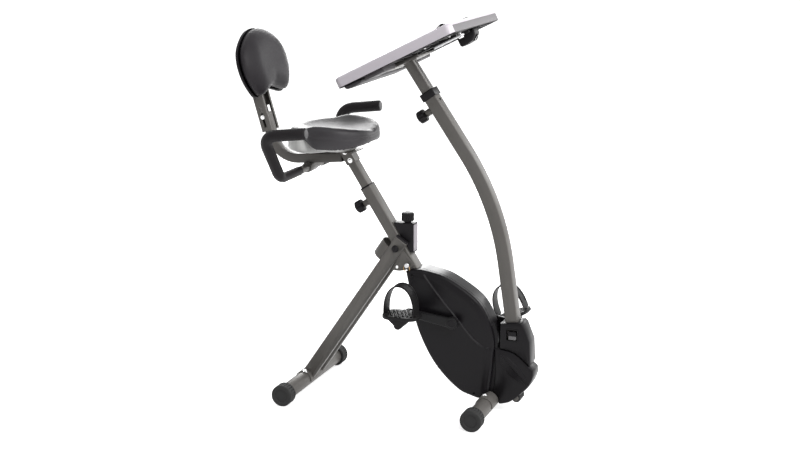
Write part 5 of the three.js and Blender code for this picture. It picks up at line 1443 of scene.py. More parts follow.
@dataclass
class Desk:
    """The sloping desk top and what hangs under it."""

    tilt: float = 26.5
    centre_x: float = 0.0595
    centre_z: float = 1.1213
    depth: float = 0.404
    half_width: float = 0.228
    thickness: float = 0.033
    corner: float = 0.022
    top_round: float = 0.011
    wall: float = 0.004
    stop_forward: float = 0.135
    stop_across: float = 0.112
    pad_start: float = -0.194
    pad_depth: float = 0.071
    pad_half_width: float = 0.214
    pad_thickness: float = 0.012
    lever_forward: float = 0.172
    lever_across: float = -0.096
    monitor_forward: float = 0.128
    monitor_across: float = 0.10015
    shell_step: float = 0.0022
    strip: tuple[float, float, float] = (0.0006, 0.002, 0.0012)
    hollow_round: float = 0.004
    overrun: float = 0.01
    band_share: float = 1.7
    band_corner: float = 0.002
    band_drop: float = 0.0015
    band_levels: Pair = (-0.001, 0.0003)
    pad_margin: float = 0.005
    pad_corner: float = 0.010
    pad_inset: float = 0.0022
    pad_rise: float = 0.0052
    pad_rounds: Pair = (0.005, 0.003)
    pad_voxel: float = 0.0045
    pad_swell: float = 0.0018
    pad_seam: tuple[float, float, float] = (0.006, 0.0018, 0.0009)
    stop_half: float = 0.013
    stop_outline: tuple[Pair, ...] = (
        (-0.026, 0.0001), (0.017, 0.0001), (0.019, 0.0045), (0.008, 0.0125), (0.002, 0.0125), (-0.026, 0.003),
    )
    case_half: float = 0.0255
    case_front: tuple[Pair, ...] = (
        (-0.004, -0.0385), (0.012, -0.0345), (0.024, -0.0265), (0.0295, -0.018), (0.0305, -0.009),
        (0.0305, 0.0),
    )
    case_back: Pair = (-0.0305, -0.03)
    case_bend: tuple[float, float, float] = (-0.022, -0.0305, 0.0085)
    case_level: float = 0.0055
    case_edge: float = 0.006
    dial_place: Pair = (0.0185, -0.0292)
    dial_facing: Pair = (0.62, 0.78)
    dial: Levels = (0.0125, -0.003, 0.0042, 0.0016)
    dial_ring: tuple[Pair, ...] = ((0.0096, 0.0036), (0.0112, 0.0036), (0.0112, 0.0049), (0.0096, 0.0049))
    tray_level: float = 0.006
    bar_place: Pair = (-0.079, 0.155)
    bar_half: float = 0.052
    bar_levels: Pair = (0.002, -0.011)
    bar_bend: Pair = (0.044, 0.006)
    bar_span: Pair = (-0.036, 0.03)
    bar_edge: float = 0.004
    rib_place: Pair = (-0.02, 0.158)
    rib_size: tuple[float, float, float] = (0.003, 0.118, 0.001)
    rib_levels: Pair = (-0.0055, 0.0005)
    rib_edge: float = 0.0008
    rib_count: int = 7
    rib_pitch: float = 0.0308
    screw_forward: tuple[float, ...] = (-0.088, 0.05, 0.135)
    screw_across: float = 0.084
    screw_sink: float = 0.0002
    screw_head: Pair = (0.0045, 0.004)
    lever_drop: float = 0.011
    lever_boss: float = 0.012
    lever_tip: Pair = (-0.082, 0.010)
    lever_thickness: float = 0.006
    lever_edge: float = 0.0012
    lever_pin: tuple[float, float, float] = (0.003, 0.0057, 0.005)
    lever_hub: Levels = (0.0085, 0.0, 0.005, 0.0015)
    lever_rib_start: float = -0.089
    lever_rib_size: tuple[float, float, float] = (0.0022, 0.013, 0.001)
    lever_rib_levels: Pair = (-0.0012, 0.001)
    lever_rib_edge: float = 0.0006
    lever_rib_count: int = 6
    lever_rib_pitch: float = 0.005

    def axes(self) -> Axes:
        """The desk's place: up the slope, across and square to the top.

        Returns:
            The axes, with the third one square to the top.
        """
        turn = math.radians(self.tilt)
        along = Vector((math.cos(turn), 0.0, math.sin(turn)))
        return Axes(place(self.centre_x, 0.0, self.centre_z), along, ACROSS, ACROSS.cross(along) * -1)

    def build(self) -> None:
        """Makes the top, its edge strip, the stops, the pad and the parts of the underside."""
        axes = self.axes()
        half = self.thickness / 2
        plan = rounded_box(self.depth, self.half_width * 2, self.corner, 10)
        cover = prism(axes, plan, -half + self.shell_step, half, 0.0, self.top_round, 8)
        top = object_of("desk_cover", cover)
        inner_width = (self.half_width - self.wall) * 2
        hollow = rounded_box(self.depth - self.wall * 2, inner_width, self.corner - self.wall, 10)
        carved(top, [prism(axes, hollow, -half - self.overrun, half - self.wall, 0.0, self.hollow_round)])
        settle(top, DESK, "desk", ["desk_top"])
        inset, thick, edge = self.strip
        frame_form = prism(axes, drawn_in(plan, inset), -half, -half + thick, edge, 0.0)
        strip = object_of("desk_edge_strip", frame_form)
        carved(strip, [prism(axes, hollow, -half - self.overrun, half)])
        settle(strip, PLASTIC, "desk")
        front = Axes(axes.spot(self.depth / 2, 0.0, 0.0), axes.v, axes.w, axes.u)
        width = self.half_width * 2 - self.corner * self.band_share
        plate = rounded_box(width, self.thickness - self.top_round, self.band_corner)
        lowered = [(a, b - self.top_round / 2 + self.band_drop) for a, b in plate]
        band = prism(front, lowered, *self.band_levels, 0.0, self.band_levels[1])
        add_piece("desk_front_band", band, DESK_FRONT, "desk")
        self.build_stops(axes, half)
        self.build_pad(axes, half)
        self.build_underside(axes, half)
        self.build_lever(axes, half)
        self.build_monitor(axes, half)

    def build_stops(self, axes: Axes, half: float) -> None:
        """Makes the two black stops on the top, near its front.

        Args:
            axes: The desk's place.
            half: Half its thickness.
        """
        for side, across in (("right", -self.stop_across), ("left", self.stop_across)):
            here = Axes(axes.spot(self.stop_forward, across, half), axes.u, axes.w, axes.v)
            wedge = prism(here, self.stop_outline, -self.stop_half, self.stop_half, 0.001)
            add_piece(f"paper_stop_{side}", wedge, PLASTIC, "desk")

    def build_pad(self, axes: Axes, half: float) -> None:
        """Makes the padded strip under the desk's near edge.

        Args:
            axes: The desk's place.
            half: Half its thickness.
        """
        low, high = -half - CLEARANCE - self.pad_thickness, -half + self.pad_rise
        middle = self.pad_start + self.pad_depth / 2
        here = Axes(axes.spot(middle, 0.0, 0.0), axes.u, axes.v, axes.w)
        depth, width = self.pad_depth, self.pad_half_width * 2
        plan = rounded_box(depth - self.pad_margin, width - self.pad_margin, self.pad_corner, 5)
        form = prism(here, plan, low + self.pad_inset, high - self.pad_inset, *self.pad_rounds)
        piece = swollen(object_of("wrist_cushion", form), self.pad_voxel, self.pad_swell)
        inset, *seam = self.pad_seam
        rim = drawn_in(rounded_box(depth, width, self.pad_corner, 40), inset)
        line = [here.spot(a, b, low) for a, b in smooth_line(rim, 700, closed=True)]
        pressed_line(piece, line, *seam)
        settle(piece, LEATHER, "desk", ["wrist_pad"], 180)

    def build_underside(self, axes: Axes, half: float) -> None:
        """Makes the grey bars, ribs and screws of the desk's underside.

        Args:
            axes: The desk's place.
            half: Half its thickness.
        """
        tray = -half + self.tray_level
        rib = prism(ORIGIN, rounded_box(*self.rib_size, 2), *self.rib_levels, self.rib_edge)
        bend, radius = self.bar_bend
        top, foot = self.bar_levels
        lower_right = arc((-bend, foot), radius, -math.pi, -math.pi / 2, 4)[1:]
        lower_left = arc((bend, foot), radius, -math.pi / 2, 0.0, 4)[:-1]
        bar = [(-self.bar_half, top), (-self.bar_half, foot), *lower_right]
        bar += [*lower_left, (self.bar_half, foot), (self.bar_half, top)]
        ribs, screws = [], []
        for hand in (-1, 1):
            side = "left" if hand > 0 else "right"
            forward, across = self.bar_place
            here = Axes(axes.spot(forward, hand * across, tray), axes.v, axes.w, axes.u)
            grip = prism(here, bar, *self.bar_span, self.bar_edge)
            add_piece(f"desk_grip_bar_{side}", grip, GRIP_BAR, "desk")
            forward, across = self.rib_place
            start = Axes(axes.spot(forward, hand * across, tray), axes.u, axes.v, axes.w)
            step = (self.rib_pitch, 0.0, 0.0)
            ribs.append(row_of(f"desk_ribs_{side}", rib, PLASTIC, self.rib_count, start, step))
            across = hand * self.screw_across
            screws += [(axes.spot(a, across, tray - self.screw_sink), -axes.w) for a in self.screw_forward]
        for piece in ribs:
            settle(piece, PLASTIC, "desk")
        screws_at("desk_screws", bolt_head(*self.screw_head), CHROME, "desk", screws)

    def build_monitor(self, axes: Axes, half: float) -> None:
        """Makes the rounded box under the desk's front, with a dial at its end.

        Args:
            axes: The desk's place.
            half: Half its thickness.
        """
        seat = axes.spot(self.monitor_forward, self.monitor_across, -half + self.case_level)
        here = Axes(seat, axes.u, axes.w, axes.v)
        back, low, radius = self.case_bend
        bend = arc((back, low), radius, -math.pi, -math.pi / 2, 5)[1:]
        outline = [(self.case_back[0], 0.0), self.case_back, *bend, *self.case_front]
        case = prism(here, outline, -self.case_half, self.case_half, self.case_edge)
        add_piece("monitor_case", case, PLASTIC, "desk", ["monitor_box"])
        facing = here.u * self.dial_facing[0] - here.v * self.dial_facing[1]
        end = axes_about(here.spot(*self.dial_place), facing)
        dial = turned(end, soft_disc(*self.dial), 40)
        add_piece("monitor_dial", dial, PLASTIC, "desk")
        add_piece("monitor_dial_ring", turned(end, self.dial_ring, 40, looped=True), CHROME, "desk")

    def build_lever(self, axes: Axes, half: float) -> None:
        """Makes the flat lever with its ribbed tip and bright hub.

        Args:
            axes: The desk's place.
            half: Half its thickness.
        """
        low = -half - self.lever_drop
        here = Axes(axes.spot(self.lever_forward, self.lever_across, 0.0), axes.u, axes.v, axes.w)
        reach, radius = self.lever_tip
        facing = arc((0.0, 0.0), self.lever_boss, -math.pi / 2, math.pi / 2, 14)
        tip = arc((reach, 0.0), radius, math.pi / 2, math.pi * 3 / 2, 12)
        forms = [prism(here, facing + tip, low, low + self.lever_thickness, self.lever_edge)]
        rib = prism(ORIGIN, rounded_box(*self.lever_rib_size, 3), *self.lever_rib_levels, self.lever_rib_edge)
        start = Axes(here.spot(self.lever_rib_start, 0.0, low), axes.u, axes.v, axes.w)
        step = (self.lever_rib_pitch, 0.0, 0.0)
        ribs = row_of("clamp_lever_ribs", rib, LEVER, self.lever_rib_count, start, step)
        sunk, rise, radius = self.lever_pin
        forms.append(rod(here.spot(0.0, 0.0, low + sunk), here.spot(0.0, 0.0, -half + rise), radius, 0.0, 28))
        lever = gathered([object_of("clamp_lever", together(forms)), ribs])
        settle(lever, LEVER, "lock_lever", ["lock_lever"])
        hub = turned(axes_about(here.spot(0.0, 0.0, low), -axes.w), soft_disc(*self.lever_hub), 32)
        add_piece("clamp_lever_hub", hub, CHROME, "lock_lever")


# Handles, knobs and small parts of the frame


@dataclass
class Handles:
    """The swept handlebar with foam sleeves."""

    radius: float = 0.0125
    start_x: float = -0.307
    start_z: float = 0.733
    corner_y: float = 0.222
    shoulder: tuple[float, float, float] = (-0.325, 0.300, 0.875)
    end_x: float = -0.183
    end_z: float = 0.892
    bend: float = 0.046
    bend_steps: int = 12
    thin: float = 0.0148
    thick: float = 0.018
    sleeve_start: float = 0.086
    sleeve_steps: int = 10
    thin_steps: int = 12
    end_rounds: Pair = (0.0015, 0.004)
    plug_inset: float = 0.0045
    plug_levels: Pair = (-0.001, 0.0006)
    plug_edge: float = 0.0005
    bar_overlap: float = 0.002
    bar_short: float = 0.012

    def path(self, hand: int, start: float) -> Ring:
        """The bar's middle line on one side, from a distance off the middle.

        Args:
            hand: Which side it is on, -1 or 1.
            start: The distance off the middle.

        Returns:
            The line's points.
        """
        x, y, z = self.shoulder
        return rounded_path(
            [
                place(self.start_x, hand * start, self.start_z),
                place(self.start_x, hand * self.corner_y, self.start_z),
                place(x, hand * y, z),
                place(self.end_x, hand * y, self.end_z),
            ],
            self.bend,
            self.bend_steps,
        )

    def sleeve_radius(self, i: int, count: int) -> float:
        """The sleeve's radius: thin at first, thick past the bend and round at its end.

        Args:
            i: Which point of the sleeve's path it is.
            count: How many points the path has.

        Returns:
            The radius there.
        """
        if i >= count - 2:
            return self.thick - self.end_rounds[i - count + 2]
        swelling = self.sleeve_steps + self.bend_steps - self.thin_steps
        share = min(max((i - self.thin_steps) / swelling, 0.0), 1.0)
        return self.thin + (self.thick - self.thin) * share * share * (3 - 2 * share)

    def build(self) -> None:
        """Makes the bar, its two sleeves and the plugs in their ends."""
        bars = []
        for hand, side in ((-1, "right"), (1, "left")):
            path = self.path(hand, self.sleeve_start)
            path = [path[0].lerp(path[1], i / self.sleeve_steps) for i in range(self.sleeve_steps)] + path[1:]
            end, last = path[-1], path[-1] - path[-2]
            tip = last.normalized()
            small, large = self.end_rounds
            path = path[:-1] + [end - last * 0.5, end - tip * large, end - tip * small, end]
            sleeve = swept(path, lambda i: round_section(self.sleeve_radius(i, len(path)), 40))
            add_piece(f"foam_grip_{side}", sleeve, FOAM, "seat", [f"grip_{side}"], 50)
            plug = axes_about(end, path[-1] - path[-2])
            disc = soft_disc(self.thick - self.plug_inset, *self.plug_levels, self.plug_edge, 2)
            add_piece(f"grip_plug_{side}", turned(plug, disc, 32), GRIP_END, "seat")
            inner = self.path(hand, 0.0)
            inner_tip = (inner[-1] - inner[-2]).normalized()
            inner[0] = inner[0] - ACROSS * hand * self.bar_overlap
            inner[-1] = inner[-1] - inner_tip * self.bar_short
            bars.append(swept(inner, lambda i: round_section(self.radius, 32)))
        add_piece("seat_handle_bar", together(bars), PAINT, "seat", ["handlebar"], 50)


PIN_CHAMFER = 0.0006
NECK_TOP = 0.0038
KNOB_BASE = ((0.0052, 0.004, 0.3), (0.0016, 0.0052, 0.8), (0.0, 0.0082, 1.0))
KNOB_TOP = ((0.0, 0.0062, 1.0), (0.0014, 0.0024, 0.8), (0.0048, 0.0004, 0.35), (0.0085, 0.0, 0.0))
KNOB_DISH = ((0.42, 0.0), (0.36, 0.0012))
FLUTE_POWER = 1.5


def ribbed_knob(
    axes: Axes,
    radius: float,
    length: float,
    stem: tuple[float, float, float],
    lobes: int = 8,
    dent: float = 0.0034,
) -> Surface:
    """A knob with lobes round it, on its stem.

    Args:
        axes: Its seat and axis.
        radius: The knob's radius.
        length: How far it reaches from its seat.
        stem: The pin's radius and depth, and the neck's radius.
        lobes: How many lobes it has.
        dent: How deep the flutes between them are.

    Returns:
        The closed form.
    """
    pin, depth, neck = stem
    sides = 144
    profile = [(CORE, -depth, 0.0), (pin - PIN_CHAMFER, -depth, 0.0), (pin, -depth + PIN_CHAMFER, 0.0)]
    profile += [(pin, 0.0, 0.0), (neck, 0.0, 0.0), (neck, NECK_TOP, 0.0)]
    profile += [(radius - inset, height, flute) for inset, height, flute in KNOB_BASE]
    profile += [(radius - inset, length - below, flute) for inset, below, flute in KNOB_TOP]
    profile += [(radius * share, length - below, 0.0) for share, below in KNOB_DISH]
    profile.append((CORE, length - KNOB_DISH[-1][1], 0.0))
    rings = []
    for r, h, flute in profile:
        ring = []
        for i in range(sides):
            turn = i / sides * math.tau
            dip = dent * flute * max(math.cos(turn * lobes), 0.0) ** FLUTE_POWER
            ring.append(axes.spot((r - dip) * math.cos(turn), (r - dip) * math.sin(turn), h))
        rings.append(ring)
    return ringed(rings)


@dataclass
class Knobs:
    """The two pull knobs and the tension knob with its box."""

    tube_datum: Pair = (0.006, 0.499)
    tube_lean: float = 32.4
    tube_half_depth: float = 0.0175
    tube_above: float = 0.216
    seat_knob_below: float = 0.042
    collar: Pair = (0.096, 0.985)
    post_lean: float = 34.2
    post_half_depth: float = 0.020
    desk_knob_below: float = 0.046
    boss: float = 0.022
    radius: float = 0.0205
    length: float = 0.030
    pin: float = 0.004
    neck: float = 0.008
    tension_x: float = 0.025
    box_top: float = 0.577
    dial_radius: float = 0.0203
    dial_length: float = 0.032
    dial_stem: tuple[float, float, float] = (0.005, 0.009, 0.011)
    dial_ribs: int = 18
    dial_dent: float = 0.0016
    mark_level: float = 0.0318
    mark_size: tuple[float, float, float] = (0.009, 0.0016, 0.0007)
    plate_levels: Levels = (0.0, 0.0011, 0.0, 0.0008)
    plate_overrun: float = 0.005
    plate_place: Pair = (0.0511, 0.531)
    plate_size: tuple[float, float, float] = (0.036, 0.084, 0.003)
    plate_hole: Pair = (-0.033, 0.0024)

    def pull_knob(self, name: str, node: str, body: str, start: Pair, lean: float, half: float) -> None:
        """Makes one pull knob behind its tube.

        Args:
            name: The piece's name.
            node: The node that it replaces.
            body: The body that it rides on.
            start: The place on the tube's middle line.
            lean: The tube's angle in degrees.
            half: Half the tube's depth.
        """
        up_x, up_z = leaning(lean)
        back = Vector((-up_z, 0.0, up_x))
        seat = place(start[0], 0.0, start[1]) + back * (half + self.boss + CLEARANCE)
        stem = (self.pin, self.boss + CLEARANCE, self.neck)
        form = ribbed_knob(axes_about(seat, back), self.radius, self.length, stem)
        add_piece(name, form, PLASTIC, body, [node], 40)

    def build(self) -> None:
        """Makes the three knobs and the box's front plate."""
        up_x, up_z = leaning(self.tube_lean)
        run = self.tube_above - self.seat_knob_below
        seat = (self.tube_datum[0] + up_x * run, self.tube_datum[1] + up_z * run)
        self.pull_knob("seat_pull_knob", "seat_knob", "seat_knob", seat, self.tube_lean, self.tube_half_depth)
        back_x, back_z = leaning(self.post_lean)
        below = self.desk_knob_below
        desk = (self.collar[0] - back_x * below, self.collar[1] - back_z * below)
        self.pull_knob("desk_pull_knob", "desk_knob", "desk_knob", desk, self.post_lean, self.post_half_depth)
        top = axes_about(place(self.tension_x, 0.0, self.box_top + CLEARANCE), UP)
        form = ribbed_knob(
            top, self.dial_radius, self.dial_length, self.dial_stem, self.dial_ribs, self.dial_dent
        )
        add_piece("tension_dial", form, PLASTIC, "tension_knob", ["tension_knob"], 40)
        face = axes_about(top.spot(0.0, 0.0, self.mark_level), UP)
        mark = prism(face, rounded_box(*self.mark_size, 3), 0.0, self.mark_size[2])
        add_piece("tension_dial_mark", mark, SEAT_SHELL, "tension_knob")
        x, z = self.plate_place
        plate = Axes(place(x, 0.0, z), ACROSS, UP, FORWARD)
        slab = prism(plate, rounded_box(*self.plate_size), *self.plate_levels)
        low, radius = self.plate_hole
        reach = self.plate_overrun
        hole = rod(plate.spot(0.0, low, -reach), plate.spot(0.0, low, reach), radius)
        settle(carved(object_of("tension_front_plate", slab), [hole]), TENSION_FACE, "base")


@dataclass
class Feet:
    """The four end caps with their fluted rims."""

    radius: float = 0.0345
    depth: float = 0.038
    face: float = 0.007
    bore: float = 0.026
    half_span: float = 0.232
    flutes: int = 24
    flute_depth: float = 0.0024
    flute_levels: Pair = (0.0065, 0.0072)
    recess: tuple[Pair, ...] = (
        (0.0004, 0.003), (0.0205, 0.003), (0.0215, 0.0022), (0.022, 0.0006), (0.0226, 0.0),
    )
    edge: float = 0.004
    chamfer: float = 0.002
    sides: int = 240

    def build(self) -> None:
        """Makes the caps on both stabilizers."""
        for end, body in (("front", "base"), ("rear", "rear_leg")):
            for side, hand in (("right", -1), ("left", 1)):
                low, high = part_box(f"{end}_cap_{side}")
                centre = Vector(((low.x + high.x) / 2, hand * self.half_span, self.radius))
                axes = axes_about(centre, ACROSS * -hand)
                rings = [self.ring(axes, *stop) for stop in self.profile()]
                name = f"{end}_end_cap_{side}"
                add_piece(name, ringed(rings), RUBBER, body, [f"{end}_cap_{side}"], 38)

    def ring(self, axes: Axes, radius: float, height: float, flute: float) -> Ring:
        """One ring of the cap, with a share of the flutes' depth.

        Args:
            axes: The cap's place.
            radius: The ring's radius.
            height: How deep it lies.
            flute: The share of the flutes' depth.

        Returns:
            The ring.
        """
        ring = []
        for i in range(self.sides):
            turn = i / self.sides * math.tau
            dip = self.flute_depth * flute * min(max(math.cos(turn * self.flutes) * 2.5, 0.0), 1.0)
            ring.append(axes.spot((radius - dip) * math.cos(turn), (radius - dip) * math.sin(turn), height))
        return ring

    def profile(self) -> list[tuple[float, float, float]]:
        """Radius, height and share of the flutes, from the recessed face round to the bore.

        Returns:
            The stops of the cap's profile.
        """
        outer, edge, (plain, fluted) = self.radius, self.edge, self.flute_levels
        stops = [(radius, height, 0.0) for radius, height in self.recess]
        for turn in np.linspace(0, math.pi / 2, 6):
            stops.append((outer - edge * (1 - math.sin(turn)), edge * (1 - math.cos(turn)), 0.0))
        stops += [(outer, plain, 0.0), (outer, fluted, 1.0), (outer, self.depth - fluted, 1.0)]
        stops += [(outer, self.depth - plain, 0.0), (outer, self.depth - self.chamfer, 0.0)]
        stops += [(outer - self.chamfer, self.depth, 0.0), (self.bore, self.depth, 0.0)]
        return stops + [(self.bore, self.face, 0.0), (self.recess[0][0], self.face, 0.0)]


# Drive


@dataclass
class Pedal:
    """One pedal: a treaded platform over a keel, with its strap."""

    side: str
    hand: int
    tilt: float
    crank: Pair = (0.196, 0.284)
    span: Pair = (-0.141, 0.020)
    inside: float = 0.083
    width: float = 0.092
    length: float = 0.118
    thickness: float = 0.011
    corner_share: float = 0.36
    platform_edges: Pair = (0.0027, 0.0018)
    rise: float = 0.002
    keel_inset: float = 0.0025
    keel_edge: float = 0.002
    bore_overrun: float = 0.01
    bore_stop: float = 0.0055
    keel_depth: float = 0.027
    keel_top: float = 0.038
    keel_foot: float = 0.013
    spindle: float = 0.006
    strap_width: float = 0.052
    strap_half: float = 0.050
    strap_height: float = 0.096
    strap_wall: float = 0.003
    strap_from_outside: float = 0.036
    strap_inset: float = 0.0004
    strap_edge: float = 0.0008
    ridge: tuple[float, float, float] = (0.0012, 0.003, 0.0007)
    ridge_from_edge: float = 0.007
    strap_power: float = 0.75
    strap_round: float = 0.0016
    stud: float = 0.0054
    stud_levels: tuple[Pair, ...] = ((1.0, -0.0004), (0.9, 0.0016), (0.62, 0.0026))
    stud_columns: int = 9
    stud_rows: int = 7
    stud_pitch: float = 0.0125
    stud_margin: float = 0.008

    def axes(self) -> Axes:
        """The pedal's place: forward, up and across, turned about its spindle.

        Returns:
            The axes, with the third one across the bike.
        """
        x, z = (self.crank[i] - self.hand * self.span[i] for i in range(2))
        turn = math.radians(self.tilt)
        forward = Vector((math.cos(turn), 0.0, math.sin(turn)))
        return Axes(place(x, 0.0, z), forward, Vector((-math.sin(turn), 0.0, math.cos(turn))), ACROSS)

    def middle(self) -> float:
        """The middle of the platform across the bike."""
        return self.hand * (self.inside + self.width / 2)

    def build(self) -> None:
        """Makes the platform, keel, tread and strap."""
        axes = self.axes()
        flat = Axes(axes.spot(0.0, self.rise, self.middle()), axes.u, axes.w, axes.v)
        plan = rounded_box(self.length, self.width, self.width * self.corner_share, 12)
        forms = [prism(flat, plan, 0.0, self.thickness, *self.platform_edges)]
        under = self.rise + self.thickness / 2
        foot = arc((0.0, self.keel_foot - self.keel_depth), self.keel_foot, -math.pi, 0.0, 18)
        sole = [(-self.keel_top, under), *foot, (self.keel_top, under)]
        half = self.width / 2 - self.keel_inset
        below = Axes(axes.spot(0, 0, self.middle()), axes.u, axes.v, axes.w)
        forms.append(prism(below, sole, -half, half, self.keel_edge))
        inner = self.hand * (self.inside - self.bore_overrun)
        tip = self.hand * (self.inside + self.width - self.bore_stop)
        bore = rod(axes.spot(0, 0, inner), axes.spot(0, 0, tip), self.spindle + CLEARANCE)
        piece = carved(object_of(f"pedal_platform_{self.side}", together(forms)), [bore], meeting=True)
        settle(piece, TREAD, f"pedal_{self.side}", [f"pedal_{self.side}"])
        self.build_tread(flat)
        self.build_strap(axes)

    def build_tread(self, flat: Axes) -> None:
        """Makes diamond studs over the platform's top.

        Args:
            flat: The platform's place.
        """
        diamond = [(self.stud, 0.0), (0.0, self.stud), (-self.stud, 0.0), (0.0, -self.stud)]
        stud = ringed([[ORIGIN.spot(x * k, y * k, h) for x, y in diamond] for k, h in self.stud_levels])
        top = Axes(flat.spot(0.0, 0.0, self.thickness), flat.u, flat.w.cross(flat.u), flat.w)
        values = {
            "Columns": self.stud_columns, "Rows": self.stud_rows, "Pitch": self.stud_pitch,
            "Half Length": self.length / 2 - self.stud_margin,
            "Half Width": self.width / 2 - self.stud_margin,
            "Place": tuple(top.origin), "Turn": turn_of(top),
        }
        name = f"pedal_tread_{self.side}"
        settle(laid_out(name, Layout.FIELD, stud, TREAD, values), TREAD, f"pedal_{self.side}")

    def arch(self, extra: float) -> list[Pair]:
        """The strap's line over the shoe.

        Args:
            extra: How far outside the strap's own line it lies.

        Returns:
            Points forward and up.
        """
        seat = self.rise + self.thickness + CLEARANCE + self.strap_round
        reach, top = self.strap_half + extra, self.strap_height - self.strap_round + extra
        turns = [i / 48 * math.pi for i in range(49)]
        return [(math.cos(t) * reach, seat + max(math.sin(t), 0.0) ** self.strap_power * top) for t in turns]

    def build_strap(self, axes: Axes) -> None:
        """Makes the arched strap with two raised ridges.

        Args:
            axes: The pedal's place.
        """
        outside = self.hand * (self.inside + self.width)
        middle = outside - self.hand * self.strap_from_outside
        here = Axes(axes.spot(0, 0, middle), axes.u, axes.v, axes.w)
        half = self.strap_width / 2
        form = self.arch(-self.strap_inset) + self.arch(-self.strap_wall)[::-1]
        band = prism(here, form, -half, half, self.strap_edge)
        high, wide, edge = self.ridge
        ridges = []
        for across in (-half + self.ridge_from_edge, half - self.ridge_from_edge):
            ridge = Axes(here.spot(0, 0, across), axes.u, axes.v, axes.w)
            line = self.arch(high)[2:-2] + self.arch(-high)[2:-2][::-1]
            ridges.append(prism(ridge, line, -wide, wide, edge))
        node = f"pedal_strap_{self.side}"
        add_piece(f"toe_strap_{self.side}", together([band, *ridges]), TREAD, f"pedal_{self.side}", [node])


@dataclass
class Drive:
    """The crank arms with their bosses, and the roller."""

    crank: Pair = (0.196, 0.284)
    span: Pair = (-0.141, 0.020)
    inner: float = 0.062
    thickness: float = 0.014
    boss: float = 0.019
    tip: float = 0.014
    axle: float = 0.0085
    spindle: float = 0.006
    spindle_end: float = 0.1688
    roller_half: float = 0.024
    roller_radius: float = 0.0145
    roller_bore: float = 0.0043
    roller: Pair = (0.394, 0.049)
    roller_grooves: tuple[float, ...] = (-0.012, 0.0, 0.012)
    groove_depth: float = 0.0016
    groove_halves: Pair = (0.002, 0.0008)
    roller_edge: Pair = (0.003, 0.0008)
    arm_shares: Pair = (0.84, 0.9)
    arm_inset: float = 0.001
    arm_edge: float = 0.004
    boss_edge: float = 0.002
    boss_turn: float = math.tau * 0.98
    spindle_edge: float = 0.0008
    overrun: float = 0.01
    cap_sink: float = 0.0004
    cap_profile: tuple[Pair, ...] = (
        (CORE, 0.0), (0.0125, 0.0), (0.0125, 0.0012), (0.0105, 0.0024), (0.0085, 0.0024), (0.008, 0.0012),
        (CORE, 0.0012),
    )

    def build(self) -> None:
        """Makes both crank arms and the transport roller."""
        for hand, side in ((-1, "right"), (1, "left")):
            self.build_arm(hand, side)
        axes = Axes(place(self.roller[0], 0.0, self.roller[1]), FORWARD, UP, ACROSS)
        r, h = self.roller_radius, self.roller_half
        edge, corner = self.roller_edge
        profile = [(self.roller_bore, -h), (r - edge, -h), (r - corner, -h + corner), (r, -h + edge)]
        floor = r - self.groove_depth
        wide, narrow = self.groove_halves
        for middle in self.roller_grooves:
            profile += [(r, middle - wide), (floor, middle - narrow)]
            profile += [(floor, middle + narrow), (r, middle + wide)]
        profile += [(r, h - edge), (r - corner, h - corner), (r - edge, h), (self.roller_bore, h)]
        wheel = turned(axes, profile, 48, looped=True)
        add_piece("roller_wheel", wheel, RUBBER, "transport_roller", ["transport_roller"])

    def build_arm(self, hand: int, side: str) -> None:
        """Makes one tapered crank arm with its boss, spindle and cap.

        Args:
            hand: Which side it is on, -1 or 1.
            side: That side's name.
        """
        far = (self.crank[0] - hand * self.span[0], self.crank[1] - hand * self.span[1])
        facing = math.atan2(far[1] - self.crank[1], far[0] - self.crank[0])
        wide, narrow = self.arm_shares
        outline = arc(self.crank, self.boss * wide, facing + math.pi / 2, facing + math.pi * 3 / 2, 16)
        outline += arc(far, self.tip * narrow, facing - math.pi / 2, facing + math.pi / 2, 14)
        low, high = sorted((hand * self.inner, hand * (self.inner + self.thickness)))
        here = Axes(place(0.0, 0.0, 0.0), FORWARD, UP, ACROSS)
        bar = prism(here, outline, low + self.arm_inset, high - self.arm_inset, self.arm_edge)
        boss = prism(here, arc(self.crank, self.boss, 0, self.boss_turn, 48), low, high, self.boss_edge)
        end = prism(here, arc(far, self.tip, 0, self.boss_turn, 40), low, high, self.boss_edge)
        start = place(far[0], hand * (self.inner + self.thickness / 2), far[1])
        outer = place(far[0], hand * self.spindle_end, far[1])
        spindle = rod(start, outer, self.spindle, self.spindle_edge)
        arm = object_of(f"crank_lever_{side}", together([bar, boss, end]))
        before, after = low - self.overrun, high + self.overrun
        bore = rod(here.spot(*self.crank, before), here.spot(*self.crank, after), self.axle + CLEARANCE)
        settle(carved(arm, [bore], meeting=True), BLACK_PAINT, "crank", [f"crank_arm_{side}"])
        add_piece(f"pedal_spindle_{side}", spindle, CHROME, "crank")
        face = here.spot(*self.crank, hand * (self.inner + self.thickness - self.cap_sink))
        cap = turned(axes_about(face, ACROSS * hand), self.cap_profile, 40)
        add_piece(f"crank_cap_{side}", cap, PLASTIC, "crank")


# Housing


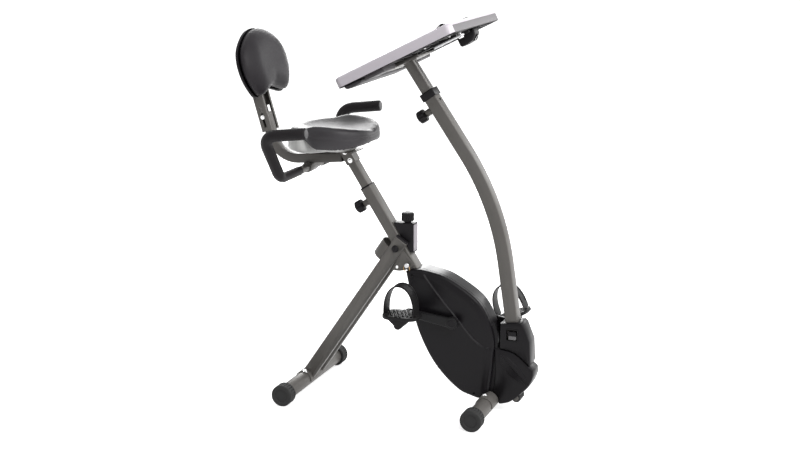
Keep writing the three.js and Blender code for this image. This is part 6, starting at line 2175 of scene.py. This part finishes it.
@dataclass
class Housing:
    """The two shells, the front cover and the cover at the post's foot."""

    top: Pair = (0.034, 0.428)
    width: float = 0.291
    height: float = 0.388
    half: float = 0.048
    seam: float = -0.020
    edge: float = 0.010
    wall: float = 0.0025
    crank: Pair = (0.196, 0.284)
    shares: tuple[Pair, ...] = (
        (0.058, 0.02), (0.175, 0.024), (0.42, -0.016), (0.64, -0.1), (0.805, -0.19), (0.9, -0.29),
        (0.969, -0.41), (1, -0.52), (0.993, -0.61), (0.976, -0.77), (0.947, -0.925), (0.915, -0.985),
        (0.845, -1), (0.75, -0.985), (0.62, -0.95), (0.46, -0.853), (0.32, -0.732), (0.206, -0.585),
        (0.12, -0.427), (0.075, -0.27), (0.035, -0.12), (0, 0),
    )
    crease: tuple[Pair, ...] = (
        (0.052, 0.480), (0.0802, 0.4419), (0.1201, 0.391), (0.1599, 0.3433), (0.1997, 0.2989),
        (0.2328, 0.2603), (0.2592, 0.2318), (0.289, 0.2125), (0.3212, 0.2055), (0.350, 0.203),
    )
    crease_step: float = 0.0036
    crease_width: float = 0.0034
    crease_lip: float = 0.0011
    shoulder_depth: float = 0.0075
    shoulder_width: float = 0.026
    shoulder_power: float = 1.4
    shoulder_facing: tuple[float, float, float] = (0.75, 0.66, 0.05)
    facing_range: float = 0.5
    facing_reach: float = 0.006
    seam_gap: float = 0.00015
    seam_round: float = 0.0008
    seam_lap: float = 0.004
    overrun: float = 0.1
    screw_seat: float = 0.006
    collar_stand: float = 0.0015
    axle_bore: float = 0.0098
    screw_places: tuple[Pair, ...] = ((0.0564, 0.4196), (0.2643, 0.0566))
    screw_radius: float = 0.0032
    net_step: float = 0.0042
    net_room: float = 0.0026
    crease_rows: tuple[float, ...] = (-0.8, -0.5, -0.25, 0.0, 0.25, 0.5, 0.8)
    collar_profile: tuple[Pair, ...] = (
        (0.0098, 0.0), (0.0172, 0.0), (0.0178, 0.003), (0.0162, 0.0052), (0.0115, 0.0058), (0.0098, 0.005),
    )

    def outline(self) -> list[Pair]:
        """The housing's outline from the side, anticlockwise."""
        first, *rest = [(self.top[0] + a * self.width, self.top[1] + b * self.height) for a, b in self.shares]
        return [first, *smooth_line(rest, 110)][::-1]

    def crease_side(self, points: np.ndarray) -> np.ndarray:
        """How far each place lies beyond the crease, towards the upper front.

        Args:
            points: Places on the face.

        Returns:
            The distances, less than nothing on the near side.
        """
        line = np.array(smooth_line(self.crease, 240))
        offset = points[:, None, :] - line[None, :, :]
        nearest = np.argmin(np.linalg.norm(offset, axis=2), axis=1)
        ahead = np.gradient(line, axis=0)
        ahead /= np.linalg.norm(ahead, axis=1)[:, None]
        away = offset[np.arange(len(points)), nearest]
        return ahead[nearest, 0] * away[:, 1] - ahead[nearest, 1] * away[:, 0]

    def relief(self, points: np.ndarray, ring: np.ndarray, creased: float) -> np.ndarray:
        """How far the face stands back at each place: its shoulder and the step at the crease.

        Args:
            points: Places on the face.
            ring: The housing's outline.
            creased: How strong the crease is, from 0 to 1.

        Returns:
            The depth below the face's level, in metres.
        """
        ahead = np.roll(ring, -1, axis=0) - np.roll(ring, 1, axis=0)
        ahead /= np.linalg.norm(ahead, axis=1)[:, None]
        rising, running, start = self.shoulder_facing
        facing = (ahead[:, 1] * rising - ahead[:, 0] * running + start) / self.facing_range
        facing = np.clip(facing, 0, 1)
        facing = facing * facing * (3 - 2 * facing)
        distance = np.linalg.norm(points[:, None, :] - ring[None, :, :], axis=2)
        weight = np.exp(-(((distance - distance.min(axis=1)[:, None]) / self.facing_reach) ** 2))
        weight = np.sum(weight * facing[None, :], axis=1) / np.sum(weight, axis=1)
        near = np.clip(1 - distance.min(axis=1) / self.shoulder_width, 0, 1)
        shoulder = weight * self.shoulder_depth * (near**self.shoulder_power)
        side = self.crease_side(points) / self.crease_width
        share = np.clip(side + 0.5, 0, 1)
        lip = self.crease_lip * np.exp(-((side * 2) ** 2))
        return shoulder + creased * (self.crease_step * share * share * (3 - 2 * share) - lip)

    def face_points(self, ring: np.ndarray) -> np.ndarray:
        """A net of places inside the ring, finer along the crease.

        Args:
            ring: The edge of the flat face.

        Returns:
            The places.
        """
        low, high = ring.min(axis=0), ring.max(axis=0)
        step = self.net_step
        nx, nz = (np.ceil((high - low) / step)).astype(int)
        cells = [(i, j) for j in range(nz + 1) for i in range(nx + 1)]
        net = np.array([(low[0] + (i + (j % 2) / 2) * step, low[1] + j * step) for i, j in cells])
        net = net[np.abs(self.crease_side(net)) > self.crease_width]
        line = np.array(smooth_line(self.crease, 190))
        ahead = np.gradient(line, axis=0)
        ahead /= np.linalg.norm(ahead, axis=1)[:, None]
        square = np.stack([-ahead[:, 1], ahead[:, 0]], axis=1)
        net = np.vstack([net, *(line + square * self.crease_width * share for share in self.crease_rows)])
        after = np.roll(ring, -1, axis=0)
        spans = (ring[None, :, 1] > net[:, None, 1]) != (after[None, :, 1] > net[:, None, 1])
        climb = after[:, 1] - ring[:, 1]
        rise = np.where(np.abs(climb) < 1e-9, 1e-9, climb)
        slope = (net[:, None, 1] - ring[None, :, 1]) / rise[None, :]
        left = net[:, None, 0] < ring[None, :, 0] + slope * (after[None, :, 0] - ring[None, :, 0])
        inside = np.sum(spans & left, axis=1) % 2 == 1
        room = np.min(np.linalg.norm(net[:, None, :] - ring[None, :, :], axis=2), axis=1)
        return net[inside & (room > self.net_room)]

    def face(
        self, outline: np.ndarray, ring: np.ndarray, level: float, outside: int, creased: float
    ) -> Surface:
        """The face of one shell, inside its rounded rim.

        Args:
            outline: The housing's outline.
            ring: The edge of the flat face.
            level: The face's level across the bike.
            outside: Which side faces out, -1 or 1.
            creased: How strong the crease is, from 0 to 1.

        Returns:
            The open face.
        """
        points = np.vstack([ring, self.face_points(ring)])
        count = len(ring)
        edges = [(i, (i + 1) % count) for i in range(count)]
        flat, _, faces, *_ = delaunay_2d_cdt([Vector(p) for p in points.tolist()], edges, [], 1, 1e-7)
        places = np.array([tuple(p) for p in flat])
        out = level - outside * self.relief(places, outline, creased)
        spots = [SIDE.spot(a, b, float(c)) for (a, b), c in zip(places, out)]
        return Surface(spots, [tuple(f) for f in faces])

    def shell(self, name: str, node: str, outside: int) -> None:
        """Makes one shell: rounded rim, creased face, hollow inside and its openings.

        Args:
            name: The piece's name.
            node: The node that it replaces.
            outside: Which side faces out, -1 or 1.
        """
        outline = self.outline()
        whole = np.array(outline)
        creased = 1.0 if outside < 0 else 0.0
        ring = np.array(drawn_in(outline, self.edge))
        back = self.relief(ring, whole, creased)
        level, seam = outside * self.half, self.seam + outside * self.seam_gap
        rings = [[SIDE.spot(a, b, seam) for a, b in drawn_in(outline, self.seam_round)]]
        rings.append([SIDE.spot(a, b, seam + outside * self.seam_round) for a, b in outline])
        for i in range(9):
            turn = i / 8 * math.pi / 2
            drop = self.edge * (1 - math.sin(turn))
            edge = drawn_in(outline, self.edge * (1 - math.cos(turn)))
            rings.append([SIDE.spot(a, b, level - outside * (drop + d)) for (a, b), d in zip(edge, back)])
        form = ringed(rings)
        form.faces.pop()
        form.add(self.face(whole, ring, level, outside, creased))
        thick = self.wall + self.shoulder_depth + self.crease_step
        low, high = sorted((seam - outside * self.seam_lap, level - outside * thick))
        inner = prism(SIDE, drawn_in(outline, self.wall), low, high)
        beyond = outside * self.overrun
        bore = rod(SIDE.spot(*self.crank, beyond), SIDE.spot(*self.crank, 0.0), self.axle_bore, 0.0, 48)
        cutters = [inner, bore]
        for spot in self.screw_places:
            seat = SIDE.spot(*spot, outside * (self.half - self.screw_seat))
            cutters.append(rod(SIDE.spot(*spot, beyond), seat, self.screw_radius, 0.0, 24))
        settle(carved(object_of(name, form), cutters), HOUSING, "base", [node], 40)

    def build(self) -> None:
        """Makes the shells, covers and the crank's collar."""
        self.shell("drive_shell_right", "housing_right", -1)
        self.shell("drive_shell_left", "housing_left", 1)
        for hand, side in ((-1, "right"), (1, "left")):
            middle = SIDE.spot(*self.crank, hand * (self.half + self.collar_stand))
            ring = axes_about(middle, ACROSS * hand)
            collar = turned(ring, self.collar_profile, 48, looped=True)
            add_piece(f"crank_collar_{side}", collar, PLASTIC, "base")
        Covers().build()


@dataclass
class Covers:
    """The front cover and the cover round the post's foot."""

    half: float = 0.034
    window: tuple[float, float, float] = (0.380, 0.255, 0.019)
    window_stand: float = 0.0002
    rim_growth: Pair = (0.004, -0.003)
    rim_corners: Pair = (0.005, 0.003)
    rim_levels: Levels = (-0.0016, 0.001, 0.0, 0.0008)
    rim_overrun: float = 0.01
    lining_place: Pair = (0.001, -0.0085)
    lining_size: tuple[float, float, float] = (0.024, 0.013, 0.003)
    lining_levels: Levels = (-0.0034, 0.0002, 0.0, 0.0005)
    latch_place: Pair = (0.01, 0.004)
    latch_size: tuple[float, float, float] = (0.026, 0.014, 0.003)
    latch_levels: Levels = (-0.001, 0.0112, 0.0, 0.0015)
    panel_inset: float = 0.002
    panel_levels: Levels = (-0.0006, 0.0014, 0.0, 0.0012)
    edge: float = 0.0008
    # Black strips that close the gaps between the shells and the covers; their black is painted shade of the
    # gaps.
    gap_shade_across: float = 0.0285
    gap_shade_half: float = 0.001
    gap_shade_outline: tuple[Pair, ...] = (
        (0.306, 0.062), (0.331, 0.062), (0.334, 0.255), (0.318, 0.29), (0.311, 0.27), (0.318, 0.19),
    )
    panel: tuple[Pair, ...] = (
        (0.3385, 0.1905), (0.343, 0.164), (0.357, 0.139), (0.381, 0.117), (0.409, 0.102), (0.434, 0.096),
        (0.4365, 0.1), (0.427, 0.126), (0.409, 0.151), (0.386, 0.172), (0.361, 0.187), (0.342, 0.1945),
    )

    def build(self) -> None:
        """Dresses the two covers and adds the black gap strips, the lens panels, the window and its latch."""
        dress("front_cover", HOUSING, self.edge)
        dress("foot_cover", HOUSING, self.edge)
        # Black strips closing the gaps beside the covers: painted shade of the gaps.
        for hand, side in ((-1, "right"), (1, "left")):
            wall = Axes(place(0.0, hand * self.gap_shade_across, 0.0), FORWARD, UP, ACROSS * hand)
            strip = prism(wall, self.gap_shade_outline, -self.gap_shade_half, self.gap_shade_half)
            add_piece(f"cover_flange_{side}", strip, HOUSING, "base")
        self.build_patch()
        x, z, half = self.window
        here = Axes(place(x, -(self.half + self.window_stand), z), FORWARD, UP, -ACROSS)
        outer, opening = (
            rounded_box(half * 2 + growth, half * 2 + growth, corner)
            for growth, corner in zip(self.rim_growth, self.rim_corners)
        )
        rim = object_of("window_rim", prism(here, outer, *self.rim_levels))
        settle(carved(rim, [prism(here, opening, -self.rim_overrun, self.rim_overrun)]), HOUSING, "base")
        below = Axes(here.spot(*self.lining_place), here.u, here.v, here.w)
        lining = prism(below, rounded_box(*self.lining_size), *self.lining_levels)
        add_piece("window_lining", lining, WINDOW, "base")
        sunk, rise = self.latch_place
        inner = Axes(place(x, -(self.half - sunk), z + rise), FORWARD, UP, -ACROSS)
        tab = prism(inner, rounded_box(*self.latch_size), *self.latch_levels)
        add_piece("window_latch", tab, PLASTIC, "base")

    def build_patch(self) -> None:
        """Makes the lens-shaped panel on each side of the front cover."""
        lens = smooth_line(self.panel, 90, closed=True)
        for hand, side in ((-1, "right"), (1, "left")):
            here = Axes(place(0.0, hand * self.half, 0.0), FORWARD, UP, ACROSS * hand)
            panel = prism(here, drawn_in(lens, self.panel_inset), *self.panel_levels)
            add_piece(f"cover_panel_{side}", panel, HOUSING, "base")


# Frame details


@dataclass
class FrameDetails:
    """Bolts, caps, pins and the slot on the inner post."""

    pivot_z: float = 0.499
    leg_face: float = 0.0464
    lock_hole: Pair = (0.03579, 0.44594)
    bolt: Pair = (0.047, 0.005)
    cap_radius: float = 0.011
    cap_rim: Pair = (0.0112, 0.0015)
    cap_dome: Pair = (0.002, 0.0045)
    pin_radius: float = 0.004
    pin_chamfer: float = 0.0008
    head_back: float = 0.0025
    head_profile: tuple[Pair, ...] = (
        (CORE, 0.0), (0.0066, 0.0), (0.008, 0.0014), (0.008, 0.0038), (0.0072, 0.005),
    )
    ring_hang_share: float = 0.9
    pin_tip: float = -0.0237
    pin_head: float = -0.0394
    ring_radius: float = 0.010
    ring_wire: float = 0.0012
    collar: Pair = (0.096, 0.985)
    post_lean: float = 34.2
    inner_half: float = 0.0165
    bracket_bolts: tuple[Pair, ...] = ((-0.1785, 0.7899), (-0.1604, 0.7643))
    bracket_half: float = 0.0217
    front_bolt: tuple[float, float, float] = (0.3055, 0.066, 0.0615)
    front_bolt_lean: float = -0.2
    rear_bolt: tuple[float, float, float] = (-0.3085, 0.058, 0.0622)
    rear_bolt_lean: float = 0.25
    bracket_head: Pair = (0.0058, 0.0055)
    foot_head: Pair = (0.0065, 0.007)
    slot_rise: float = 0.062
    slot_size: tuple[float, float, float] = (0.007, 0.096, 0.0034)
    slot_thickness: float = 0.0002
    tooth_size: tuple[float, float, float] = (0.0036, 0.0018, 0.0005)
    tooth_half: float = 0.0001
    tooth_start: float = -0.0425
    screw_place: Pair = (-0.030, 0.0200)
    screw_head: Pair = (0.0034, 0.0024)
    tooth_count: int = 18
    tooth_pitch: float = 0.005

    def build(self) -> None:
        """Makes the details."""
        self.build_pivot()
        self.build_pin()
        self.build_bolts()
        self.build_slot()

    def build_pivot(self) -> None:
        """Makes the pivot bolt with a domed cap each side."""
        reach, radius = self.bolt
        forms = [rod(place(0, -reach, self.pivot_z), place(0, reach, self.pivot_z), radius)]
        base, rise = self.cap_dome
        arch = [(self.cap_radius * math.cos(t), base + rise * math.sin(t)) for t in np.linspace(0.1, 1.52, 9)]
        dome = [(CORE, 0.0), (self.cap_radius, 0.0), self.cap_rim, *arch]
        for hand in (-1, 1):
            axes = axes_about(place(0, hand * (self.leg_face + CLEARANCE), self.pivot_z), ACROSS * hand)
            forms.append(turned(axes, dome, 40))
        add_piece("pivot_cap_bolt", together(forms), PLASTIC, "base", ["pivot_bolt"])

    def build_pin(self) -> None:
        """Makes the lock pin with its head and pull ring."""
        x, z = self.lock_hole
        axes = axes_about(place(x, self.pin_head - self.head_back, z), ACROSS)
        length, radius = self.pin_tip - self.pin_head + self.head_back, self.pin_radius
        profile = [*self.head_profile, (radius, self.head_profile[-1][1])]
        profile += [(radius, length - self.pin_chamfer), (radius - self.pin_chamfer, length), (CORE, length)]
        add_piece("leg_lock_pin", turned(axes, profile, 36), LEVER, "lock_pin", ["lock_pin"])
        centre = place(x, self.pin_head, z) - UP * (self.ring_radius * self.ring_hang_share)
        turns = [i / 48 * math.tau for i in range(48)]
        ring = [centre + (FORWARD * math.cos(t) + UP * math.sin(t)) * self.ring_radius for t in turns]
        rings = []
        for t, point in zip(turns, ring):
            out = FORWARD * math.cos(t) + UP * math.sin(t)
            rings.append([point + out * a + ACROSS * b for a, b in round_section(self.ring_wire, 10)])
        add_piece("lock_pin_ring", ringed(rings, looped=True), BRONZE, "lock_pin")

    def build_bolts(self) -> None:
        """Makes the bolt heads of the frame."""
        seat = [
            (place(x, hand * self.bracket_half, z), ACROSS * hand)
            for x, z in self.bracket_bolts for hand in (-1, 1)
        ]
        screws_at("seat_bracket_bolts", bolt_head(*self.bracket_head), CHROME, "seat", seat)
        foot_head = bolt_head(*self.foot_head)
        x, y, z = self.front_bolt
        lean = Vector((self.front_bolt_lean, 0.0, 1.0)).normalized()
        front = [(place(x, hand * y, z), lean) for hand in (-1, 1)]
        screws_at("front_foot_bolts", foot_head, CHROME, "base", front)
        x, y, z = self.rear_bolt
        lean = Vector((self.rear_bolt_lean, 0.0, 1.0)).normalized()
        rear = [(place(x, hand * y, z), lean) for hand in (-1, 1)]
        screws_at("rear_foot_bolts", foot_head, CHROME, "rear_leg", rear)

    def build_slot(self) -> None:
        """Makes the dark slotted strip on the inner post's face and the screw below the collar."""
        up_x, up_z = leaning(self.post_lean)
        up = Vector((up_x, 0.0, up_z))
        forward = Vector((up_z, 0.0, -up_x))
        base = place(self.collar[0], 0.0, self.collar[1])
        middle = base + up * self.slot_rise + forward * (self.inner_half - self.tooth_half)
        strip = Axes(middle, ACROSS, up, forward)
        slot = prism(strip, rounded_box(*self.slot_size, 8), 0.0, self.slot_thickness)
        add_piece("post_slot", slot, PLASTIC, "desk_mast")
        tooth = prism(ORIGIN, rounded_box(*self.tooth_size, 2), -self.tooth_half, self.tooth_half)
        first = strip.spot(0.0, self.tooth_start, self.slot_thickness)
        start = Axes(first, strip.u, strip.v, strip.w)
        step = (0.0, self.tooth_pitch, 0.0)
        teeth = row_of("post_slot_teeth", tooth, PAINT, self.tooth_count, start, step)
        settle(teeth, PAINT, "desk_mast")
        below, ahead = self.screw_place
        screw = [(base + up * below + forward * ahead, forward)]
        screws_at("post_screw", bolt_head(*self.screw_head), PLASTIC, "base", screw)


class Dressing:
    """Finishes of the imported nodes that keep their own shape."""

    kept: dict[str, Finish] = {
        "main_tube": PAINT, "front_stabilizer": PAINT, "rear_stabilizer": PAINT, "leg_right": PAINT,
        "leg_left": PAINT, "leg_yoke": PAINT, "rear_saddle": PAINT, "seat_post": PAINT, "seat_rail": PAINT,
        "handlebar_clamp": PAINT, "backrest_bracket": PAINT, "desk_post": PAINT, "inner_post": PAINT,
        "base_arm": PAINT, "backrest_bolt": CHROME, "crank_axle": CHROME, "crank_bearing_right": CHROME,
        "crank_bearing_left": CHROME, "tension_box": PLASTIC, "leg_plug_right": PLASTIC,
        "leg_plug_left": PLASTIC, "seat_sleeve": PLASTIC, "post_collar": PLASTIC, "desk_tray": PLASTIC,
        "drive_pulley": PLASTIC, "drive_belt": RUBBER, "brake_cable": RUBBER,
        "flywheel": IRON, "magnet_arm": IRON,
    }

    def build(self) -> None:
        """Dresses them all."""
        for node, finish in self.kept.items():
            dress(node, finish)


# Stage


@dataclass(frozen=True)
class Lamp:
    """One soft area light."""

    name: str
    place: tuple[float, float, float]
    aim: tuple[float, float, float]
    size: float
    power: float


def seen_rays(tree: Tree) -> Socket:
    """A mask of the rays that see the backdrop: the camera's, and those off metal or through glass.

    Args:
        tree: The material's or the world's tree.

    Returns:
        The socket with the mask, 0 or 1.
    """
    path = tree.nodes.new("ShaderNodeLightPath")
    shiny = calculation(tree, "MAXIMUM", path.outputs["Is Glossy Ray"], path.outputs["Is Transmission Ray"])
    return calculation(tree, "MAXIMUM", path.outputs["Is Camera Ray"], shiny)


@dataclass
class Studio:
    """The camera, the floor and the lights."""

    camera_place: tuple[float, float, float] = (1.5862, -4.0967, 1.6015)
    camera_turn: tuple[float, float, float] = (76.687, 0.0, 20.693)
    lens: float = 64.42
    sensor: float = 36.0
    lamps: tuple[Lamp, ...] = (
        Lamp("front", (2.7, 0.1, 2.1), (0.1, 0.0, 0.9), 1.5, 22.0),
        Lamp("near", (1.95, -1.75, 2.55), (0.2, 0.0, 0.4), 1.0, 26.0),
        Lamp("back left", (-1.5, 3.6, 1.9), (-0.2, 0.0, 0.8), 2.2, 115.0),
        Lamp("back right", (1.5, 3.2, 1.35), (0.2, 0.0, 0.4), 1.0, 14.0),
    )
    sun_from: tuple[float, float, float] = (0.55, -0.5, 0.85)
    sun_power: float = 0.9
    sun_width: float = 40.0
    floor_reach: float = 60.0
    floor_color: float = 0.9
    floor_glow: float = 0.72
    floor_bounce: float = 0.3
    wall_toward: tuple[float, float, float] = (0.35, 0.85, 0.25)
    wall_dim: float = 0.2
    wall_bright: float = 1.1
    wall_from: float = -0.4
    wall_full: float = 0.8

    def build(self) -> None:
        """Sets the stage."""
        self.build_camera()
        self.build_floor()
        self.build_air()
        for lamp in self.lamps:
            self.build_lamp(lamp)
        self.build_sun()
        bpy.context.scene.view_settings.view_transform = "Standard"

    def build_camera(self) -> None:
        """Makes the camera at the photograph's view."""
        data = bpy.data.cameras.new("view")
        data.lens = self.lens
        data.sensor_width = self.sensor
        camera = bpy.data.objects.new("view", data)
        camera.location = self.camera_place
        camera.rotation_euler = [math.radians(turn) for turn in self.camera_turn]
        bpy.context.scene.collection.objects.link(camera)
        bpy.context.scene.camera = camera

    def build_floor(self) -> None:
        """Makes the pale floor, white to the camera and dimmer to the model."""
        mesh = bpy.data.meshes.new("floor")
        reach = self.floor_reach
        corners = [(-reach, -reach, 0), (reach, -reach, 0), (reach, reach, 0), (-reach, reach, 0)]
        mesh.from_pydata(corners, [], [(0, 1, 2, 3)])
        floor = bpy.data.objects.new("floor", mesh)
        bpy.context.scene.collection.objects.link(floor)
        material = bpy.data.materials.new("pale floor")
        material.use_nodes = True
        tree = material.node_tree
        tree.nodes.clear()
        seen, dim = tree.nodes.new("ShaderNodeBsdfDiffuse"), tree.nodes.new("ShaderNodeBsdfDiffuse")
        seen.inputs["Color"].default_value = (*[self.floor_color] * 3, 1.0)
        dim.inputs["Color"].default_value = (*[self.floor_bounce] * 3, 1.0)
        glow = tree.nodes.new("ShaderNodeEmission")
        glow.inputs["Strength"].default_value = self.floor_glow
        white, pick = tree.nodes.new("ShaderNodeAddShader"), tree.nodes.new("ShaderNodeMixShader")
        out = tree.nodes.new("ShaderNodeOutputMaterial")
        tree.links.new(seen.outputs["BSDF"], white.inputs[0])
        tree.links.new(glow.outputs["Emission"], white.inputs[1])
        tree.links.new(seen_rays(tree), pick.inputs["Fac"])
        tree.links.new(dim.outputs["BSDF"], pick.inputs[1])
        tree.links.new(white.outputs["Shader"], pick.inputs[2])
        tree.links.new(pick.outputs["Shader"], out.inputs["Surface"])
        mesh.materials.append(material)

    def build_air(self) -> None:
        """Makes the surroundings: white to the camera, and a bright wall behind the model."""
        world = bpy.data.worlds.new("studio")
        bpy.context.scene.world = world
        world.use_nodes = True
        tree = world.node_tree
        tree.nodes.clear()
        seen, lit = tree.nodes.new("ShaderNodeBackground"), tree.nodes.new("ShaderNodeBackground")
        seen.inputs["Color"].default_value = (1.0, 1.0, 1.0, 1.0)
        seen.inputs["Strength"].default_value = 1.0
        aim = tree.nodes.new("ShaderNodeVectorMath")
        aim.operation = "DOT_PRODUCT"
        aim.inputs[1].default_value = Vector(self.wall_toward).normalized()
        around = tree.nodes.new("ShaderNodeTexCoord")
        tree.links.new(around.outputs["Generated"], aim.inputs[0])
        ramp = tree.nodes.new("ShaderNodeMapRange")
        ramp.interpolation_type = "SMOOTHSTEP"
        ramp.inputs["From Min"].default_value = self.wall_from
        ramp.inputs["From Max"].default_value = self.wall_full
        ramp.inputs["To Min"].default_value = self.wall_dim
        ramp.inputs["To Max"].default_value = self.wall_bright
        tree.links.new(aim.outputs["Value"], ramp.inputs["Value"])
        tree.links.new(ramp.outputs["Result"], lit.inputs["Strength"])
        mix, out = tree.nodes.new("ShaderNodeMixShader"), tree.nodes.new("ShaderNodeOutputWorld")
        tree.links.new(seen_rays(tree), mix.inputs["Fac"])
        tree.links.new(lit.outputs["Background"], mix.inputs[1])
        tree.links.new(seen.outputs["Background"], mix.inputs[2])
        tree.links.new(mix.outputs["Shader"], out.inputs["Surface"])

    def build_lamp(self, lamp: Lamp) -> None:
        """Makes one area light that faces its aim.

        Args:
            lamp: The lamp.
        """
        data = bpy.data.lights.new(lamp.name, "AREA")
        data.size = lamp.size
        data.energy = lamp.power
        light = bpy.data.objects.new(lamp.name, data)
        light.location = lamp.place
        facing = Vector(lamp.aim) - Vector(lamp.place)
        light.rotation_euler = facing.to_track_quat("-Z", "Y").to_euler()
        bpy.context.scene.collection.objects.link(light)

    def build_sun(self) -> None:
        """Makes the wide, even key light."""
        data = bpy.data.lights.new("key", "SUN")
        data.energy = self.sun_power
        data.angle = math.radians(self.sun_width)
        light = bpy.data.objects.new("key", data)
        light.rotation_euler = (-Vector(self.sun_from)).to_track_quat("-Z", "Y").to_euler()
        bpy.context.scene.collection.objects.link(light)


def main() -> None:
    """Builds everything."""
    Studio().build()
    Dressing().build()
    Seat().build()
    Backrest().build()
    Desk().build()
    Handles().build()
    Knobs().build()
    Feet().build()
    for side, hand, tilt in (("right", -1, 0.0), ("left", 1, 22.0)):
        Pedal(side, hand, tilt).build()
    Drive().build()
    Housing().build()
    FrameDetails().build()


if __name__ == "__main__":
    main()
